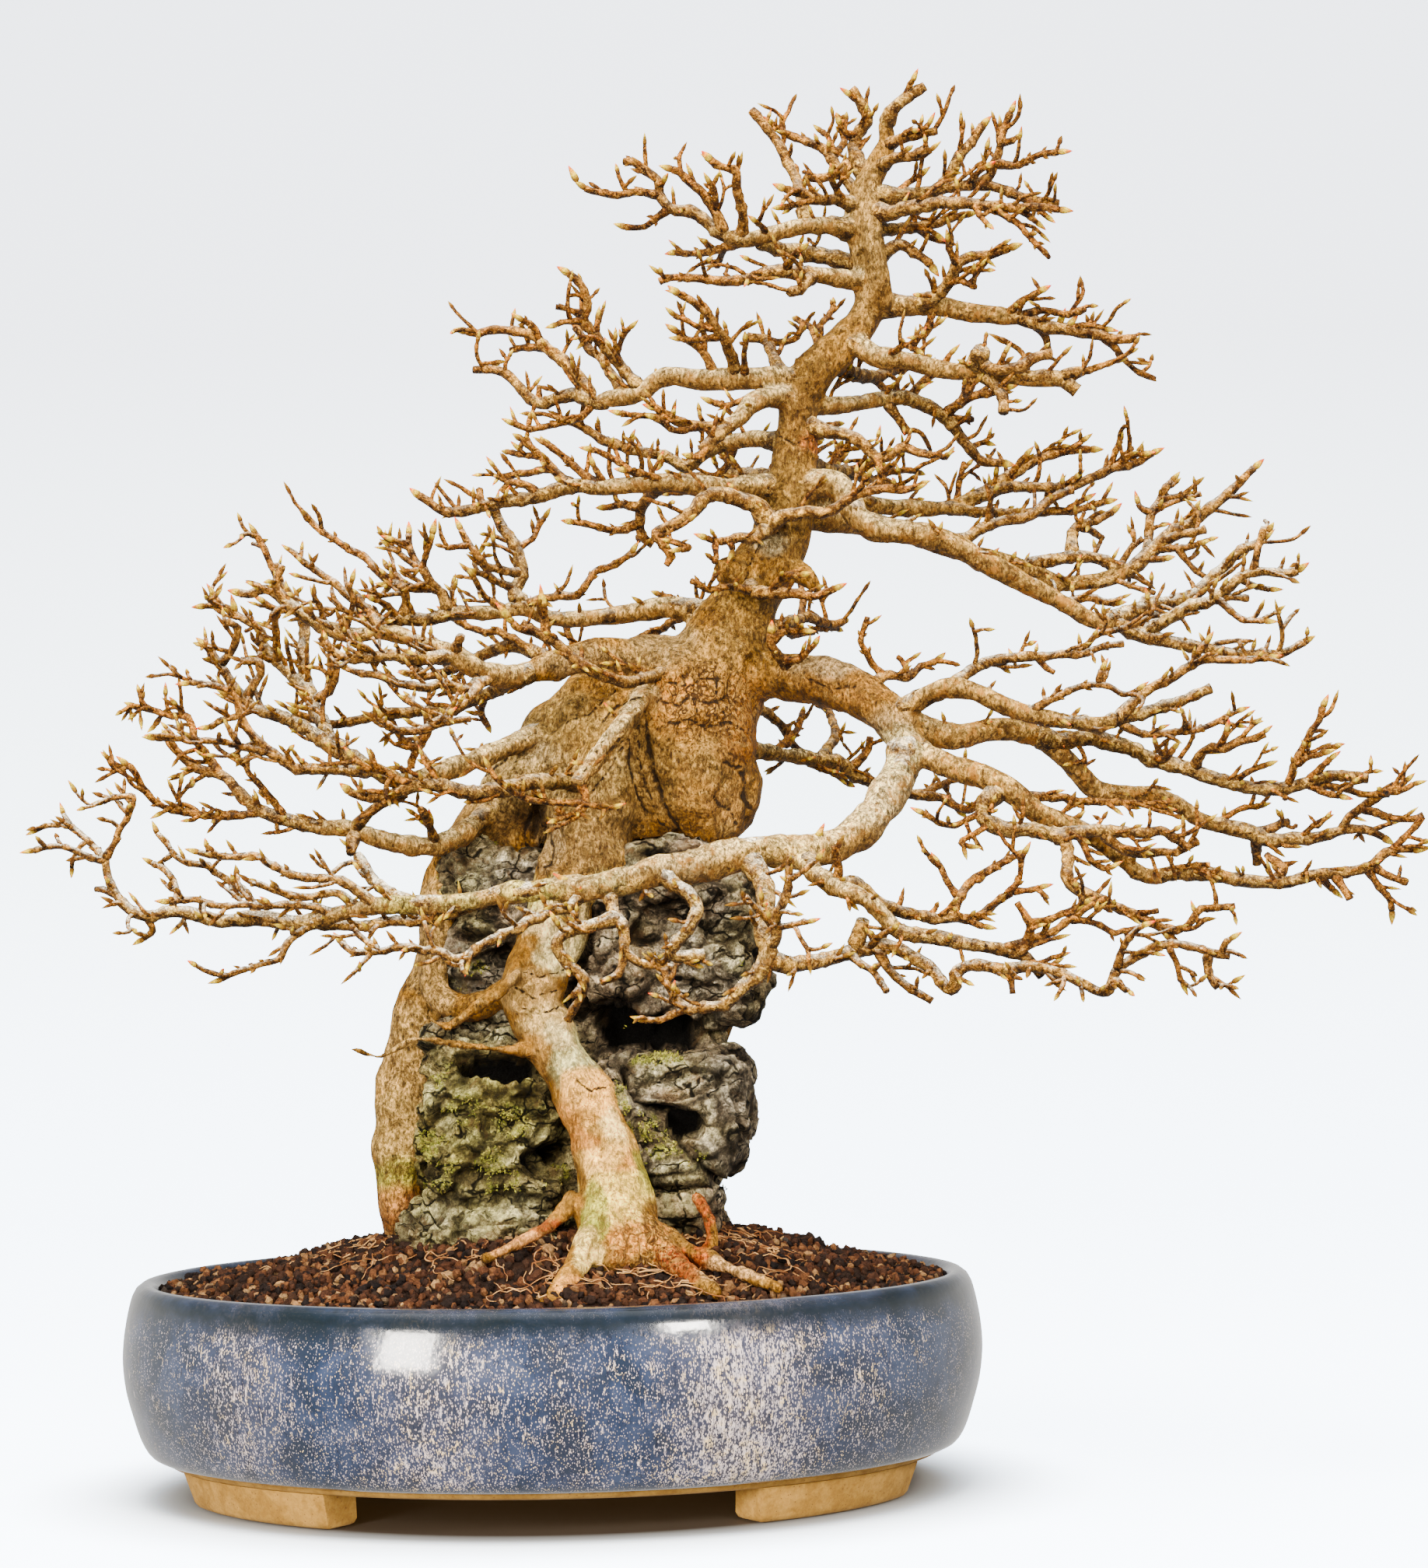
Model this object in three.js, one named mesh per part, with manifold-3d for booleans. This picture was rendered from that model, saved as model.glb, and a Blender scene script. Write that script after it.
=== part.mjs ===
// Trident maple bonsai grown over a rock, in a shallow oval glazed pot.
// Units are millimetres, +Z is up, the front of the tree faces -Y.
import * as THREE from 'three';
import { mergeVertices } from 'three/addons/utils/BufferGeometryUtils.js';
import Module from 'manifold-3d';

const wasm = await Module();
wasm.setup();

// Pot: an oval bowl on four feet. The profile holds [radius along X, height] round the wall. The
// radius along Y is OVAL less from OVAL_START outwards, and falls to a circle towards the middle.
const OVAL = 43;
const OVAL_START = 170;
const POT_PROFILE = [
  [0, 16.5], [184, 16.5], [189, 18], [190.5, 20], [197, 22], [201.5, 29], [205, 41], [208.5, 62],
  [210, 84], [209.5, 92], [206, 99], [202, 103], [198, 104], [195, 103], [192.5, 99], [190, 84],
  [188, 62], [184, 42], [177, 31], [168, 28], [0, 28],
];
const POT_FACETS = 36;
const FOOT = { outer: 185, inner: 164, height: 17, from: 21, to: 57, facets: 5, taper: 0.975 };
const DRAIN = { x: 82, radius: 15, facets: 14, depth: 40, middle: 20 };

// Plastic drainage screens that lie over the drain holes, under the soil.
const SCREEN = { size: 42, thickness: 1.6, bars: 3, bar: 4 };

// Soil: a mound inside the pot, highest round the foot of the rock.
const SOIL_EDGE = 191;
const SOIL_FLOOR = 28.4;
const SOIL_HEIGHTS = [[0, 127], [0.45, 125], [0.6, 118.5], [0.8, 108], [0.95, 101.5], [1, 100]];
const SOIL_LEFT_FALL = 0.075;
const SOIL_ROUGH = 1.6;
const SOIL_RINGS = [0.3, 0.52, 0.66, 0.82, 0.94, 1];

// Clearance left where one solid is cut by its neighbour.
const GAP = 0.38;
// The soil is cut by lumps of rock grown by more than the gap, because their corners are blunt.
const ROCK_GROWTH = 1.7;

// The tree and rock are laid out as they appear from the front, on the upright plane through the
// middle of the pot. A point with a depth behind (+) or before (-) that plane moves along the line
// of sight from EYE, so that the front view keeps its shape.
const EYE = { x: 83, y: -1750, z: 281 };
const VIEW_RAISE = 2.75;

// Rock: lumps of [x, z, depth, half width, half depth, half height, roughness, seed].
const ROCK = [
  [15, 200, 12, 50, 31, 104, 0.06, 11],
  [44, 212, 17, 42, 31, 62, 0.07, 19],
  [60, 266, 4, 46, 42, 45, 0.09, 12],
  [-22, 262, 12, 31, 28, 51, 0.08, 13],
  [-27, 170, 2, 33, 45, 54, 0.09, 14],
  [59, 177, -2, 39, 46, 31, 0.08, 15],
  [50, 116, 2, 34, 40, 34, 0.08, 16],
  [-34, 118, -8, 38, 42, 17, 0.08, 17],
];
const ROCK_BOXINESS = 4.5;
const ROCK_DETAIL = 2;

// Trunk, its two lowest limbs and its roots: tubes of [x, z, depth, radius] from end to end.
const TRUNK = {
  column: [
    [76, 315, 2, 18], [78, 329, 0, 25], [76, 346, 0, 28], [76, 370, 2, 28], [84, 396, 4, 26],
    [93, 416, 4, 20], [101, 432, 3, 16.5], [109, 446, 2, 15.5], [117, 460, 1, 15],
    [121, 474, 0, 13.5], [124, 488, 0, 13], [126, 502, 0, 11.5], [126.5, 518, 0, 9.5],
    [129, 532, 0, 10], [137, 545, 0, 11], [149, 556, 1, 9.5], [160, 568, 2, 9], [166, 580, 2, 8],
  ],
  leader: [
    [165, 574, 2, 8], [164, 594, 3, 8], [161, 608, 3, 8], [160, 622, 2, 8], [164, 636, 0, 7.5],
    [170, 648, 0, 6], [174, 658, 0, 4.6], [173, 668, 0, 3.6],
  ],
  twin_leader: [
    [171, 574, -2, 5.5], [169, 590, -7, 5.6], [167, 605, -8, 5.6], [166, 621, -7, 5.2],
    [165, 634, -3, 4.5],
  ],
  front_muscle: [
    [20, 303, -16, 21], [21, 318, -14, 22], [26, 335, -12, 21], [38, 355, -9, 22],
    [56, 376, -5, 24], [76, 398, 0, 20],
  ],
  shoulder: [
    [78, 398, 8, 17], [50, 394, 8, 20], [24, 379, 8, 20], [4, 358, 8, 20], [-10, 340, 8, 19.5],
    [-27, 325, 8, 15.5], [-42, 310, 7, 12], [-51, 294, 6, 10],
  ],
  middle_muscle: [[54, 374, -10, 15], [50, 352, -10, 16], [49, 332, -9, 14], [50, 314, -6, 9]],
  back_muscle: [
    [58, 318, 24, 19], [62, 345, 28, 24], [66, 375, 26, 24], [80, 402, 18, 18], [95, 425, 9, 12],
  ],
  left_knuckle: [[106, 446, 0, 9], [95, 446, -9, 7.5], [87, 445, -14, 6]],
  right_knuckle: [[112, 448, 0, 9], [125, 445, -7, 6.4], [132, 440, -11, 4.6], [137, 434, -13, 2.4]],
  fork: [
    [92, 398, 2, 15], [112, 394, -4, 12], [130, 391, -14, 11.5], [150, 386, -26, 11.5],
    [166, 376, -36, 11], [177, 363, -44, 9.5],
  ],
  stub: [
    [62, 398, -4, 13], [40, 404, -12, 9.5], [20, 404, -20, 8.2], [4, 400, -27, 7.6], [-6, 397, -31, 6.4],
  ],
  front_root: [
    [20, 316, -16, 22], [17, 300, -22, 21.5], [10, 289, -27, 19], [6, 280, -30, 17],
    [4, 269, -32, 16.5], [-1, 257, -33, 15.5], [-5, 248, -34, 16], [-8, 240, -35, 16.5],
    [-8, 231, -36, 15.5], [-3, 221, -38, 14], [4, 210, -41, 13], [10, 200, -43, 13.5],
    [16, 189, -46, 14.5], [21, 176, -48, 15.5], [26, 160, -51, 16.5], [30, 143, -56, 18],
    [32, 127, -64, 19.5], [35, 112, -74, 19], [37, 98, -84, 15],
  ],
  front_toe: [
    [22, 122, -76, 9], [16, 111, -88, 7.5], [9, 101, -102, 6.5], [2, 92, -116, 5.5], [-3, 85, -126, 4.5],
  ],
  front_rootlet: [
    [12, 138, -62, 5], [4, 130, -70, 3.8], [-5, 122, -76, 3.5], [-17, 116, -82, 3.2], [-34, 108, -90, 2.6],
  ],
  red_root: [
    [42, 126, -70, 9], [53, 113, -82, 6.5], [62, 103, -96, 5.5], [72, 96, -108, 4.5], [82, 89, -120, 3.2],
  ],
  tan_root: [
    [46, 122, -66, 7], [66, 111, -78, 4.6], [85, 103, -92, 4.2], [98, 97, -102, 3.8], [112, 91, -112, 3],
  ],
  side_rootlet: [
    [38, 116, -74, 6], [54, 106, -68, 4], [68, 106, -62, 3.8], [78, 114, -60, 3.6], [76, 127, -57, 3.4],
    [70, 139, -50, 3],
  ],
  front_shoot: [
    [-4, 246, -40, 5], [-14, 248, -50, 2.8], [-24, 240, -56, 2.6], [-36, 232, -60, 2.4], [-50, 223, -62, 2.2],
    [-60, 228, -62, 1.8],
  ],
  front_twig: [
    [-3, 210, -40, 5], [-22, 211, -56, 2.6], [-46, 214, -66, 2.3], [-66, 217, -70, 2], [-83, 209, -71, 1.8],
    [-98, 213, -72, 1.4],
  ],
  left_root: [
    [-51, 298, 6, 9.5], [-55, 280, 6, 8.8], [-56, 262, 8, 8.3], [-61, 242, 8, 10.5],
    [-65, 224, 8, 12.5], [-68, 208, 8, 13.5], [-71.5, 190, 8, 14.5], [-73, 170, 8, 14],
    [-75, 150, 9, 12], [-74, 134, 10, 10.5], [-72, 118, 12, 9.5], [-71, 102, 12, 8],
  ],
  left_inner_root: [
    [-51, 292, -2, 8], [-55, 268, -6, 7], [-57, 250, -8, 7], [-54, 238, -14, 7],
    [-44, 232, -20, 7], [-32, 234, -27, 7], [-20, 241, -33, 7],
  ],
  back_right_root: [
    [66, 334, 32, 15], [74, 300, 46, 12], [84, 262, 52, 10.5], [80, 222, 55, 10],
    [64, 182, 52, 11], [58, 142, 56, 12], [66, 104, 68, 9],
  ],
  back_left_root: [
    [38, 356, 24, 19], [12, 330, 36, 13], [0, 302, 44, 11.5], [-8, 262, 47, 9.5], [4, 222, 47, 9.5],
    [-6, 182, 48, 10], [-26, 142, 54, 11], [-44, 104, 62, 9],
  ],
};
const TRUNK_SIDES = 8;
const ROOTLET_SIDES = 5;

// Branch sprays: [node, trunk tube or spray it grows from, limbs].
// A limb is [depths, radii, end, path x z ...].
// Depths and radii are spread evenly along the limb. The first limb grows from that, and
// every later one from the nearest limb before it, at that limb's own depth.
const BUD = 1;
const CUT = 0;
const SPRAYS = [
  ['branch_front_sweep', 'fork', [
    [[-62, -78, -86, -86, -80, -72, -64, -60], [9.5, 9, 8.5, 8.3, 6.4, 5.4, 4.6, 3.8, 3, 1.8], CUT, [
      177, 363, 177, 350, 169, 333, 157, 318, 141, 309, 122, 306, 104, 307, 88, 303, 70, 299, 55, 298,
      40, 293, 22, 290, 4, 290, -18, 288, -40, 284, -60, 283, -80, 283, -100, 280, -120, 275, -140, 277,
      -160, 277, -180, 281, -200, 280, -210, 286, -216, 297, -218, 308]],
    [[-96, -100, -98], [3.8, 3.4, 3.2, 3, 3.6], CUT, [62, 299, 58, 297, 62, 291, 70, 286, 74, 278,
      68, 268, 63, 262, 62, 256, 70, 255, 77, 255]],
    [[-94, -92], [3, 2.4, 1.8], CUT, [30, 289, 33, 278, 37, 268, 38, 258, 44, 253, 54, 252, 62, 249]],
    [[-92], [2, 1.6], CUT, [38, 258, 34, 249, 26, 245]],
    [[-98, -96, -86], [3.2, 3, 2.8, 2.2, 1.8], CUT, [34, 275, 20, 271, 8, 267, 5, 261, 10, 252, 18, 246,
      17, 238, 12, 230, 9, 225]],
    [[-104, -104, -92], [2.6, 2.4, 2, 1.5], BUD, [19, 289, 10, 281, -2, 277, -15, 271, -30, 264,
      -45, 256, -58, 261, -75, 262, -90, 261, -100, 263, -105, 269]],
    [[-96], [1.6, 1.3], CUT, [-84, 262, -91, 267, -97, 273]],
    [[-70, -64], [2.8, 2.4], CUT, [-28, 286, -50, 277, -80, 275, -105, 274, -122, 276]],
    [[-76], [2.2, 1.5], BUD, [-92, 282, -105, 289, -118, 288, -132, 291, -150, 297]],
    [[-84, -80], [2.6, 1.9, 1.4], BUD, [-84, 283, -100, 294, -120, 297, -135, 303, -143, 309, -160, 309,
      -177, 312]],
    [[-54], [2, 1.6, 1.3], BUD, [-142, 277, -150, 292, -165, 302, -180, 308, -188, 316, -194, 325]],
    [[-52], [1.7, 1.3], BUD, [-186, 281, -184, 294, -190, 304, -199, 308]],
    [[-90], [2, 1.4], BUD, [-104, 279, -125, 284, -145, 284, -162, 284, -177, 287, -193, 287]],
    [[-80], [2, 1.3], BUD, [-112, 277, -126, 267, -133, 258, -144, 254, -156, 250, -168, 246]],
    [[-58], [1.6, 1.3], BUD, [-198, 280, -196, 272, -204, 266]],
    [[-58], [1.7, 1.3], CUT, [-212, 291, -223, 294]],
    [[-68], [1.8, 1.3], BUD, [-218, 308, -212, 319, -206, 329, -204, 339, -212, 338, -225, 335]],
    [[-48, -44], [1.7, 1.2], BUD, [-218, 307, -226, 317, -236, 325, -245, 325, -256, 321]],
    [[-44], [1.4, 1.1], BUD, [-235, 324, -240, 336]],
    [[-64], [1.7, 1.2], BUD, [-218, 307, -232, 312, -245, 315, -259, 312]],
    [[-60], [3.3, 3, 2.6], CUT, [-66, 283, -74, 287, -82, 292, -89, 299, -94, 307]],
  ]],
  ['branch_low_right', 'branch_front_sweep', [
    [[-100, -100, -94], [5, 4.6, 4.2, 3.8, 3, 2.4, 1.8], CUT, [98, 305, 106, 292, 108, 280, 106, 268,
      108, 256, 104, 247, 96, 240, 88, 233, 78, 230, 66, 232, 60, 240, 57, 250]],
    [[-92], [1.8, 1.4], BUD, [70, 231, 60, 226, 52, 224, 41, 226]],
    [[-88, -100, -112], [4.2, 3.8, 3.4, 3, 3, 2.6], CUT, [107, 254, 118, 251, 130, 252, 142, 254,
      152, 257, 164, 259, 174, 256, 183, 251, 190, 245, 197, 237, 202, 246, 210, 249, 222, 247,
      230, 246]],
    [[-92], [3.4, 3.2], CUT, [151, 257, 153, 264, 155, 272]],
    [[-108], [1.9, 1.5], CUT, [148, 256, 156, 249, 161, 244, 166, 237]],
    [[-96], [2.3, 1.7], CUT, [162, 259, 167, 249, 176, 240, 188, 232]],
    [[-108], [1.8, 1.3], BUD, [158, 258, 165, 265, 173, 270]],
    [[-112], [1.7, 1.4], CUT, [226, 247, 228, 241, 229, 235]],
    [[-118, -124], [2.8, 2.4, 2.4, 2, 2], CUT, [224, 247, 240, 247, 255, 243, 265, 239, 274, 235,
      280, 245, 288, 251, 300, 256, 312, 257, 324, 253, 336, 251]],
    [[-130], [1.8, 1.4], BUD, [280, 245, 284, 257, 290, 265, 299, 269]],
    [[-124], [2, 1.7], CUT, [325, 253, 325, 243, 330, 235]],
    [[-130], [1.7, 1.3], BUD, [332, 251, 334, 257, 342, 263]],
    [[-118], [1.4, 1.1], BUD, [306, 256, 310, 243, 314, 234]],
    [[-122], [1.7, 1.4], CUT, [276, 240, 280, 240, 285, 235]],
    [[-106, -106], [2.8, 2.4, 1.6], CUT, [108, 258, 112, 265, 112, 273, 117, 283, 119, 293, 121, 304]],
    [[-112], [1.5, 1.2], BUD, [113, 269, 123, 270, 134, 273]],
    [[-112], [1.5, 1.2], CUT, [112, 268, 105, 276, 98, 284]],
    [[-112], [1.5, 1.2], BUD, [120, 292, 127, 297, 136, 306]],
  ]],
  ['branch_fork_low', 'branch_front_sweep', [
    [[-98, -100, -98, -94], [5.6, 5.2, 4.6, 4, 3.4, 3, 2.4], CUT, [126, 306, 131, 297, 140, 290,
      149, 286, 158, 281, 166, 273, 173, 266, 184, 264, 197, 262, 210, 259, 222, 257, 234, 253,
      243, 243]],
    [[-84, -78], [3.8, 3.2, 2.4, 1.8], CUT, [144, 288, 152, 289, 163, 281, 173, 276, 185, 274, 197, 272,
      207, 273, 216, 276, 223, 281, 229, 285]],
    [[-72], [2.6, 2, 1.6], BUD, [198, 272, 202, 281, 208, 290, 217, 295, 227, 300, 236, 305]],
    [[-76], [1.6, 1.3], BUD, [203, 282, 196, 292, 190, 304]],
    [[-86], [1.6, 1.3], BUD, [204, 272, 213, 268, 220, 267]],
    [[-80], [1.6, 1.3], BUD, [226, 283, 232, 290, 234, 299, 238, 308]],
    [[-76], [1.6, 1.3], BUD, [229, 284, 239, 286, 249, 288]],
    [[-104], [2.7, 2, 1.5], CUT, [232, 254, 237, 263, 237, 270, 231, 279]],
    [[-110], [1.7, 1.3], BUD, [237, 269, 250, 272, 261, 276, 269, 281]],
    [[-92], [2.2, 1.8, 1.5], CUT, [224, 257, 240, 262, 252, 267, 263, 275, 276, 281]],
    [[-86], [1.7, 1.3], BUD, [257, 271, 270, 268, 283, 264, 296, 268]],
    [[-90], [1.5, 1.2], CUT, [238, 250, 246, 246, 253, 238]],
    [[-88], [1.3, 1.1], BUD, [240, 249, 248, 251, 256, 254]],
    [[-92], [2, 1.6], CUT, [142, 289, 144, 299, 141, 309]],
  ]],
  ['branch_left_low', 'shoulder', [
    [[-22, -32, -36, -32, -24], [6, 5.4, 5, 4.2, 3, 2.4, 1.6], BUD, [-20, 335, -32, 325, -45, 316,
      -58, 312, -72, 313, -86, 317, -98, 321, -113, 322, -128, 326, -142, 331, -152, 340, -161, 349,
      -173, 353, -182, 361, -188, 371]],
    [[-46], [2, 1.4], BUD, [-140, 331, -160, 328, -178, 331, -192, 335, -198, 342, -202, 350,
      -211, 358]],
    [[-14], [2, 1.4], BUD, [-161, 349, -171, 364, -176, 377, -190, 380, -207, 385]],
    [[-44], [1.8, 1.3], BUD, [-128, 327, -139, 341, -147, 351, -145, 361]],
    [[-50], [2.6, 2.2], CUT, [-95, 321, -88, 329, -77, 335, -70, 338]],
    [[-44], [2.2, 1.8], CUT, [-55, 313, -57, 322, -62, 331]],
    [[-42], [3, 2.4], CUT, [-94, 320, -96, 314, -97, 309]],
  ]],
  ['branch_left_long', 'shoulder', [
    [[-14, -30, -34, -30, -24, -20], [5.5, 5.2, 5, 4.6, 4, 3.2, 2.4, 1.6], BUD, [8, 370, -8, 365,
      -20, 360, -32, 355, -44, 351, -56, 347, -67, 344, -79, 347, -92, 354, -105, 361, -117, 370,
      -130, 377, -144, 382, -152, 390, -158, 400, -164, 409, -171, 416]],
    [[-46, -54], [3, 2.4, 1.8, 1.3], BUD, [-84, 350, -104, 350, -120, 352, -131, 357, -142, 365,
      -150, 378, -154, 388, -166, 394, -181, 394]],
    [[-60], [1.8, 1.3], BUD, [-130, 357, -152, 363, -178, 367, -198, 368]],
    [[-32], [1.8, 1.3], BUD, [-143, 382, -157, 376, -171, 372]],
    [[-34], [2, 1.8], CUT, [-160, 403, -154, 412, -152, 421, -156, 425]],
    [[-4, 4, 6], [3.6, 3.4, 3.2, 3, 2.4, 2], CUT, [-100, 358, -108, 370, -114, 381, -118, 394,
      -119, 408, -118, 420, -123, 433, -130, 444, -131, 453]],
    [[4], [1.8, 1.3], BUD, [-130, 443, -137, 457, -141, 466, -145, 473]],
    [[-6], [1.7, 1.3], BUD, [-121, 430, -132, 430, -143, 437]],
    [[8, 12], [3, 2.6, 2.2, 1.8, 1.4], BUD, [-116, 388, -124, 396, -132, 404, -138, 412, -140, 421,
      -150, 427, -160, 432, -173, 432]],
    [[8], [1.4, 1.1], BUD, [-159, 431, -166, 443]],
    [[-6], [2, 1.6], CUT, [-131, 404, -132, 416, -133, 428]],
    [[-20], [2.2, 1.6], CUT, [-115, 384, -106, 391, -103, 400, -108, 412]],
    [[-26], [2.2, 1.6], CUT, [-148, 386, -142, 395, -140, 404, -150, 406]],
  ]],
  ['branch_left_stub', 'stub', [
    [[-44, -46, -42, -38, -34], [6, 5.4, 5, 4.6, 4.2, 3.8, 3.2, 2.4, 1.6], BUD, [-4, 398, -16, 395,
      -28, 397, -38, 402, -48, 408, -60, 412, -70, 416, -82, 418, -95, 417, -108, 421, -118, 427,
      -128, 434, -137, 440, -146, 438, -156, 440]],
    [[-30, -26], [2.4, 1.8, 1.4], CUT, [-78, 417, -88, 430, -97, 438, -106, 445, -115, 451, -126, 460]],
    [[-40], [1.5, 1.2], BUD, [-84, 425, -90, 433, -96, 440]],
    [[-52], [1.5, 1.3], BUD, [-98, 418, -96, 429, -95, 438, -93, 449]],
    [[-46], [1.4, 1.2], BUD, [-108, 421, -111, 431, -115, 441]],
    [[-60, -62], [3.4, 3, 2.6, 2], CUT, [-44, 406, -58, 405, -72, 406, -86, 406, -98, 406, -106, 410,
      -110, 416]],
    [[-56, -54], [2.8, 2.4, 2, 1.5], BUD, [-28, 397, -38, 389, -50, 391, -64, 391, -78, 395, -92, 399,
      -103, 404]],
    [[-66, -74], [2.6, 2.4, 2, 1.6], BUD, [-26, 397, -37, 386, -46, 378, -56, 372, -68, 369, -78, 371,
      -84, 381]],
    [[-72], [1.8, 1.6], CUT, [-58, 371, -48, 373, -37, 374]],
    [[-52], [2.4, 2], CUT, [-44, 406, -43, 411, -41, 416]],
    [[-52], [1.8, 1.4], CUT, [-60, 412, -63, 403, -60, 396]],
    [[-40], [2, 1.5], CUT, [-128, 434, -132, 443, -129, 452]],
  ]],
  ['branch_left_back', 'stub', [
    [[14, 24, 22, 20], [3.6, 3.2, 2.8, 2.4, 1.6], BUD, [4, 400, -12, 393, -24, 388, -36, 383, -48, 379,
      -62, 378, -76, 378, -90, 375, -104, 373, -115, 376, -127, 382]],
    [[26], [2.2, 1.9], CUT, [-57, 378, -58, 368, -64, 357, -66, 350]],
    [[28], [1.8, 1.5], CUT, [-63, 359, -71, 366, -75, 373]],
    [[28], [1.6, 1.3], BUD, [-30, 385, -30, 377, -27, 368]],
  ]],
  ['branch_left_shelf', 'column', [
    [[6, 10, 6, 2, 2, 4], [7, 6, 5, 4.6, 4.2, 4, 3.4, 2.8, 2], CUT, [92, 416, 78, 425, 62, 428, 46, 426,
      30, 424, 14, 423, 2, 424, -10, 429, -22, 427, -36, 427, -48, 427, -58, 424, -70, 425, -84, 424,
      -93, 428, -102, 424]],
    [[8, 14], [3.6, 3.2, 2.8, 2.4], CUT, [-9, 428, -14, 437, -11, 447, -12, 458, -19, 468, -25, 480]],
    [[14], [1.6, 1.3], BUD, [-12, 458, -3, 467, 4, 478]],
    [[-10, -10], [2.2, 1.8, 1.4], BUD, [-11, 446, -25, 449, -33, 455, -38, 464, -43, 474]],
    [[-8], [1.4, 1.2], CUT, [-37, 460, -48, 459]],
    [[-6], [1.8, 1.3], BUD, [-13, 438, -22, 442, -30, 446, -38, 449]],
    [[-8, -12], [2.2, 1.8, 1.5], BUD, [-10, 430, 2, 434, 12, 434, 20, 438, 26, 446, 36, 450, 47, 460]],
    [[-14], [1.7, 1.3], BUD, [-18, 428, -28, 434, -33, 441, -37, 449]],
    [[-4, 0], [2.8, 2.2, 1.8, 1.4], BUD, [-46, 427, -52, 437, -59, 446, -64, 455, -66, 463, -66, 472]],
    [[-4], [1.5, 1.2], BUD, [-65, 461, -72, 463, -80, 466]],
    [[-12], [1.6, 1.3], BUD, [-60, 448, -57, 457, -54, 468]],
    [[2], [1.6, 1.2], BUD, [-61, 450, -71, 457, -80, 464]],
    [[14, 18], [2.2, 1.8, 1.4], BUD, [-54, 440, -68, 441, -80, 447, -88, 455, -100, 463, -110, 470,
      -120, 480]],
    [[18], [1.5, 1.2], BUD, [-68, 441, -74, 447, -79, 454]],
    [[-4], [2.2, 1.8], CUT, [-70, 425, -67, 434, -70, 441]],
    [[-12], [1.7, 1.3], BUD, [-72, 425, -79, 433, -87, 436]],
  ]],
  ['branch_front_diagonal', 'front_muscle', [
    [[-44, -54], [5.6, 5.1, 4.8, 4.3], CUT, [62, 386, 50, 384, 42, 374, 34, 364, 24, 352, 14, 341]],
    [[-58], [1.8, 1.4], CUT, [16, 343, 20, 334, 17, 327, 10, 325, 4, 330]],
    [[-66, -66], [1.6, 1.4, 1.1], BUD, [18, 332, 2, 332, -14, 337, -23, 344, -31, 356]],
    [[-66], [1.3, 1], BUD, [17, 331, 27, 329, 38, 331]],
  ]],
  ['branch_front_shoot', 'front_muscle', [
    [[-40, -46, -48], [3, 2.8, 2.5, 2.3], CUT, [58, 395, 42, 391, 30, 394, 19, 400, 10, 408, 2, 414,
      -5, 418, -11, 422]],
    [[-52], [2, 1.6], BUD, [1, 414, 0, 424, 0, 435]],
    [[-54], [1.8, 1.5], BUD, [-4, 417, -12, 419, -19, 426]],
  ]],
  ['branch_left_loop', 'front_muscle', [
    [[-44, -52, -56, -54], [4.2, 4, 3.8, 3.4, 2.6, 1.8], BUD, [24, 340, 8, 343, -6, 343, -20, 339,
      -34, 338, -50, 341, -64, 341, -77, 338, -90, 337, -101, 343]],
    [[-60], [1.7, 1.3], BUD, [-64, 341, -78, 348, -90, 352, -99, 361]],
  ]],
  ['branch_left_mid', 'column', [
    [[-12, -20, -18, -10, -4, 0], [7, 6, 5, 4.4, 4, 3.6, 3, 2.4, 1.6], BUD, [122, 487, 105, 487,
      92, 487, 78, 488, 62, 490, 46, 489, 30, 488, 15, 489, 0, 484, -14, 482, -28, 479, -40, 477,
      -50, 478, -57, 483, -65, 489]],
    [[4], [2.4, 1.9, 1.5], BUD, [17, 489, 7, 496, 0, 504, -6, 510, -13, 515]],
    [[8], [1.8, 1.6], CUT, [5, 498, -8, 496, -19, 494]],
    [[12], [1.5, 1.3], BUD, [0, 504, -10, 505, -19, 507]],
    [[-14], [2, 1.5], BUD, [30, 488, 18, 497, 10, 505, 0, 513]],
    [[-20], [1.5, 1.2], BUD, [32, 488, 27, 497, 24, 505]],
    [[-14], [1.9, 1.7], CUT, [-1, 484, -7, 490, -14, 491, -20, 487]],
    [[6], [1.9, 1.7], CUT, [-27, 479, -30, 482, -31, 487]],
    [[-24], [1.8, 1.3], BUD, [62, 490, 48, 494, 40, 500, 30, 505, 20, 508]],
    [[-32], [1.7, 1.4], BUD, [70, 489, 58, 492, 46, 496, 38, 497]],
    [[10, 14], [3, 2.6, 2.2], CUT, [62, 489, 51, 480, 48, 470, 50, 463, 55, 459]],
    [[8, 2], [2, 1.4], BUD, [48, 470, 36, 467, 24, 469, 10, 472]],
    [[18], [2, 1.4], BUD, [50, 478, 38, 479, 27, 478]],
  ]],
  ['branch_eye', 'column', [
    [[-20], [5.4, 5], CUT, [116, 470, 112, 467]],
    [[-28, -34], [4.2, 3.8, 3.6, 3.2, 2.4, 1.6], CUT, [112, 468, 106, 478, 97, 482, 86, 484, 79, 481,
      74, 474, 64, 469, 57, 465, 60, 459, 63, 453, 61, 449]],
    [[-34, -38], [3.2, 2.6, 1.8, 1.3], BUD, [112, 467, 104, 462, 96, 463, 86, 460, 76, 464]],
    [[-40], [1.4, 1.2], CUT, [86, 461, 85, 452, 84, 450]],
    [[-34], [1.5, 1.2], BUD, [92, 462, 94, 456, 92, 451]],
    [[-30, -40, -46], [3.2, 2.8, 2.4, 2, 1.5], BUD, [112, 467, 120, 473, 131, 474, 141, 474, 149, 478,
      157, 483, 168, 485, 178, 484, 190, 487]],
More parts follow.
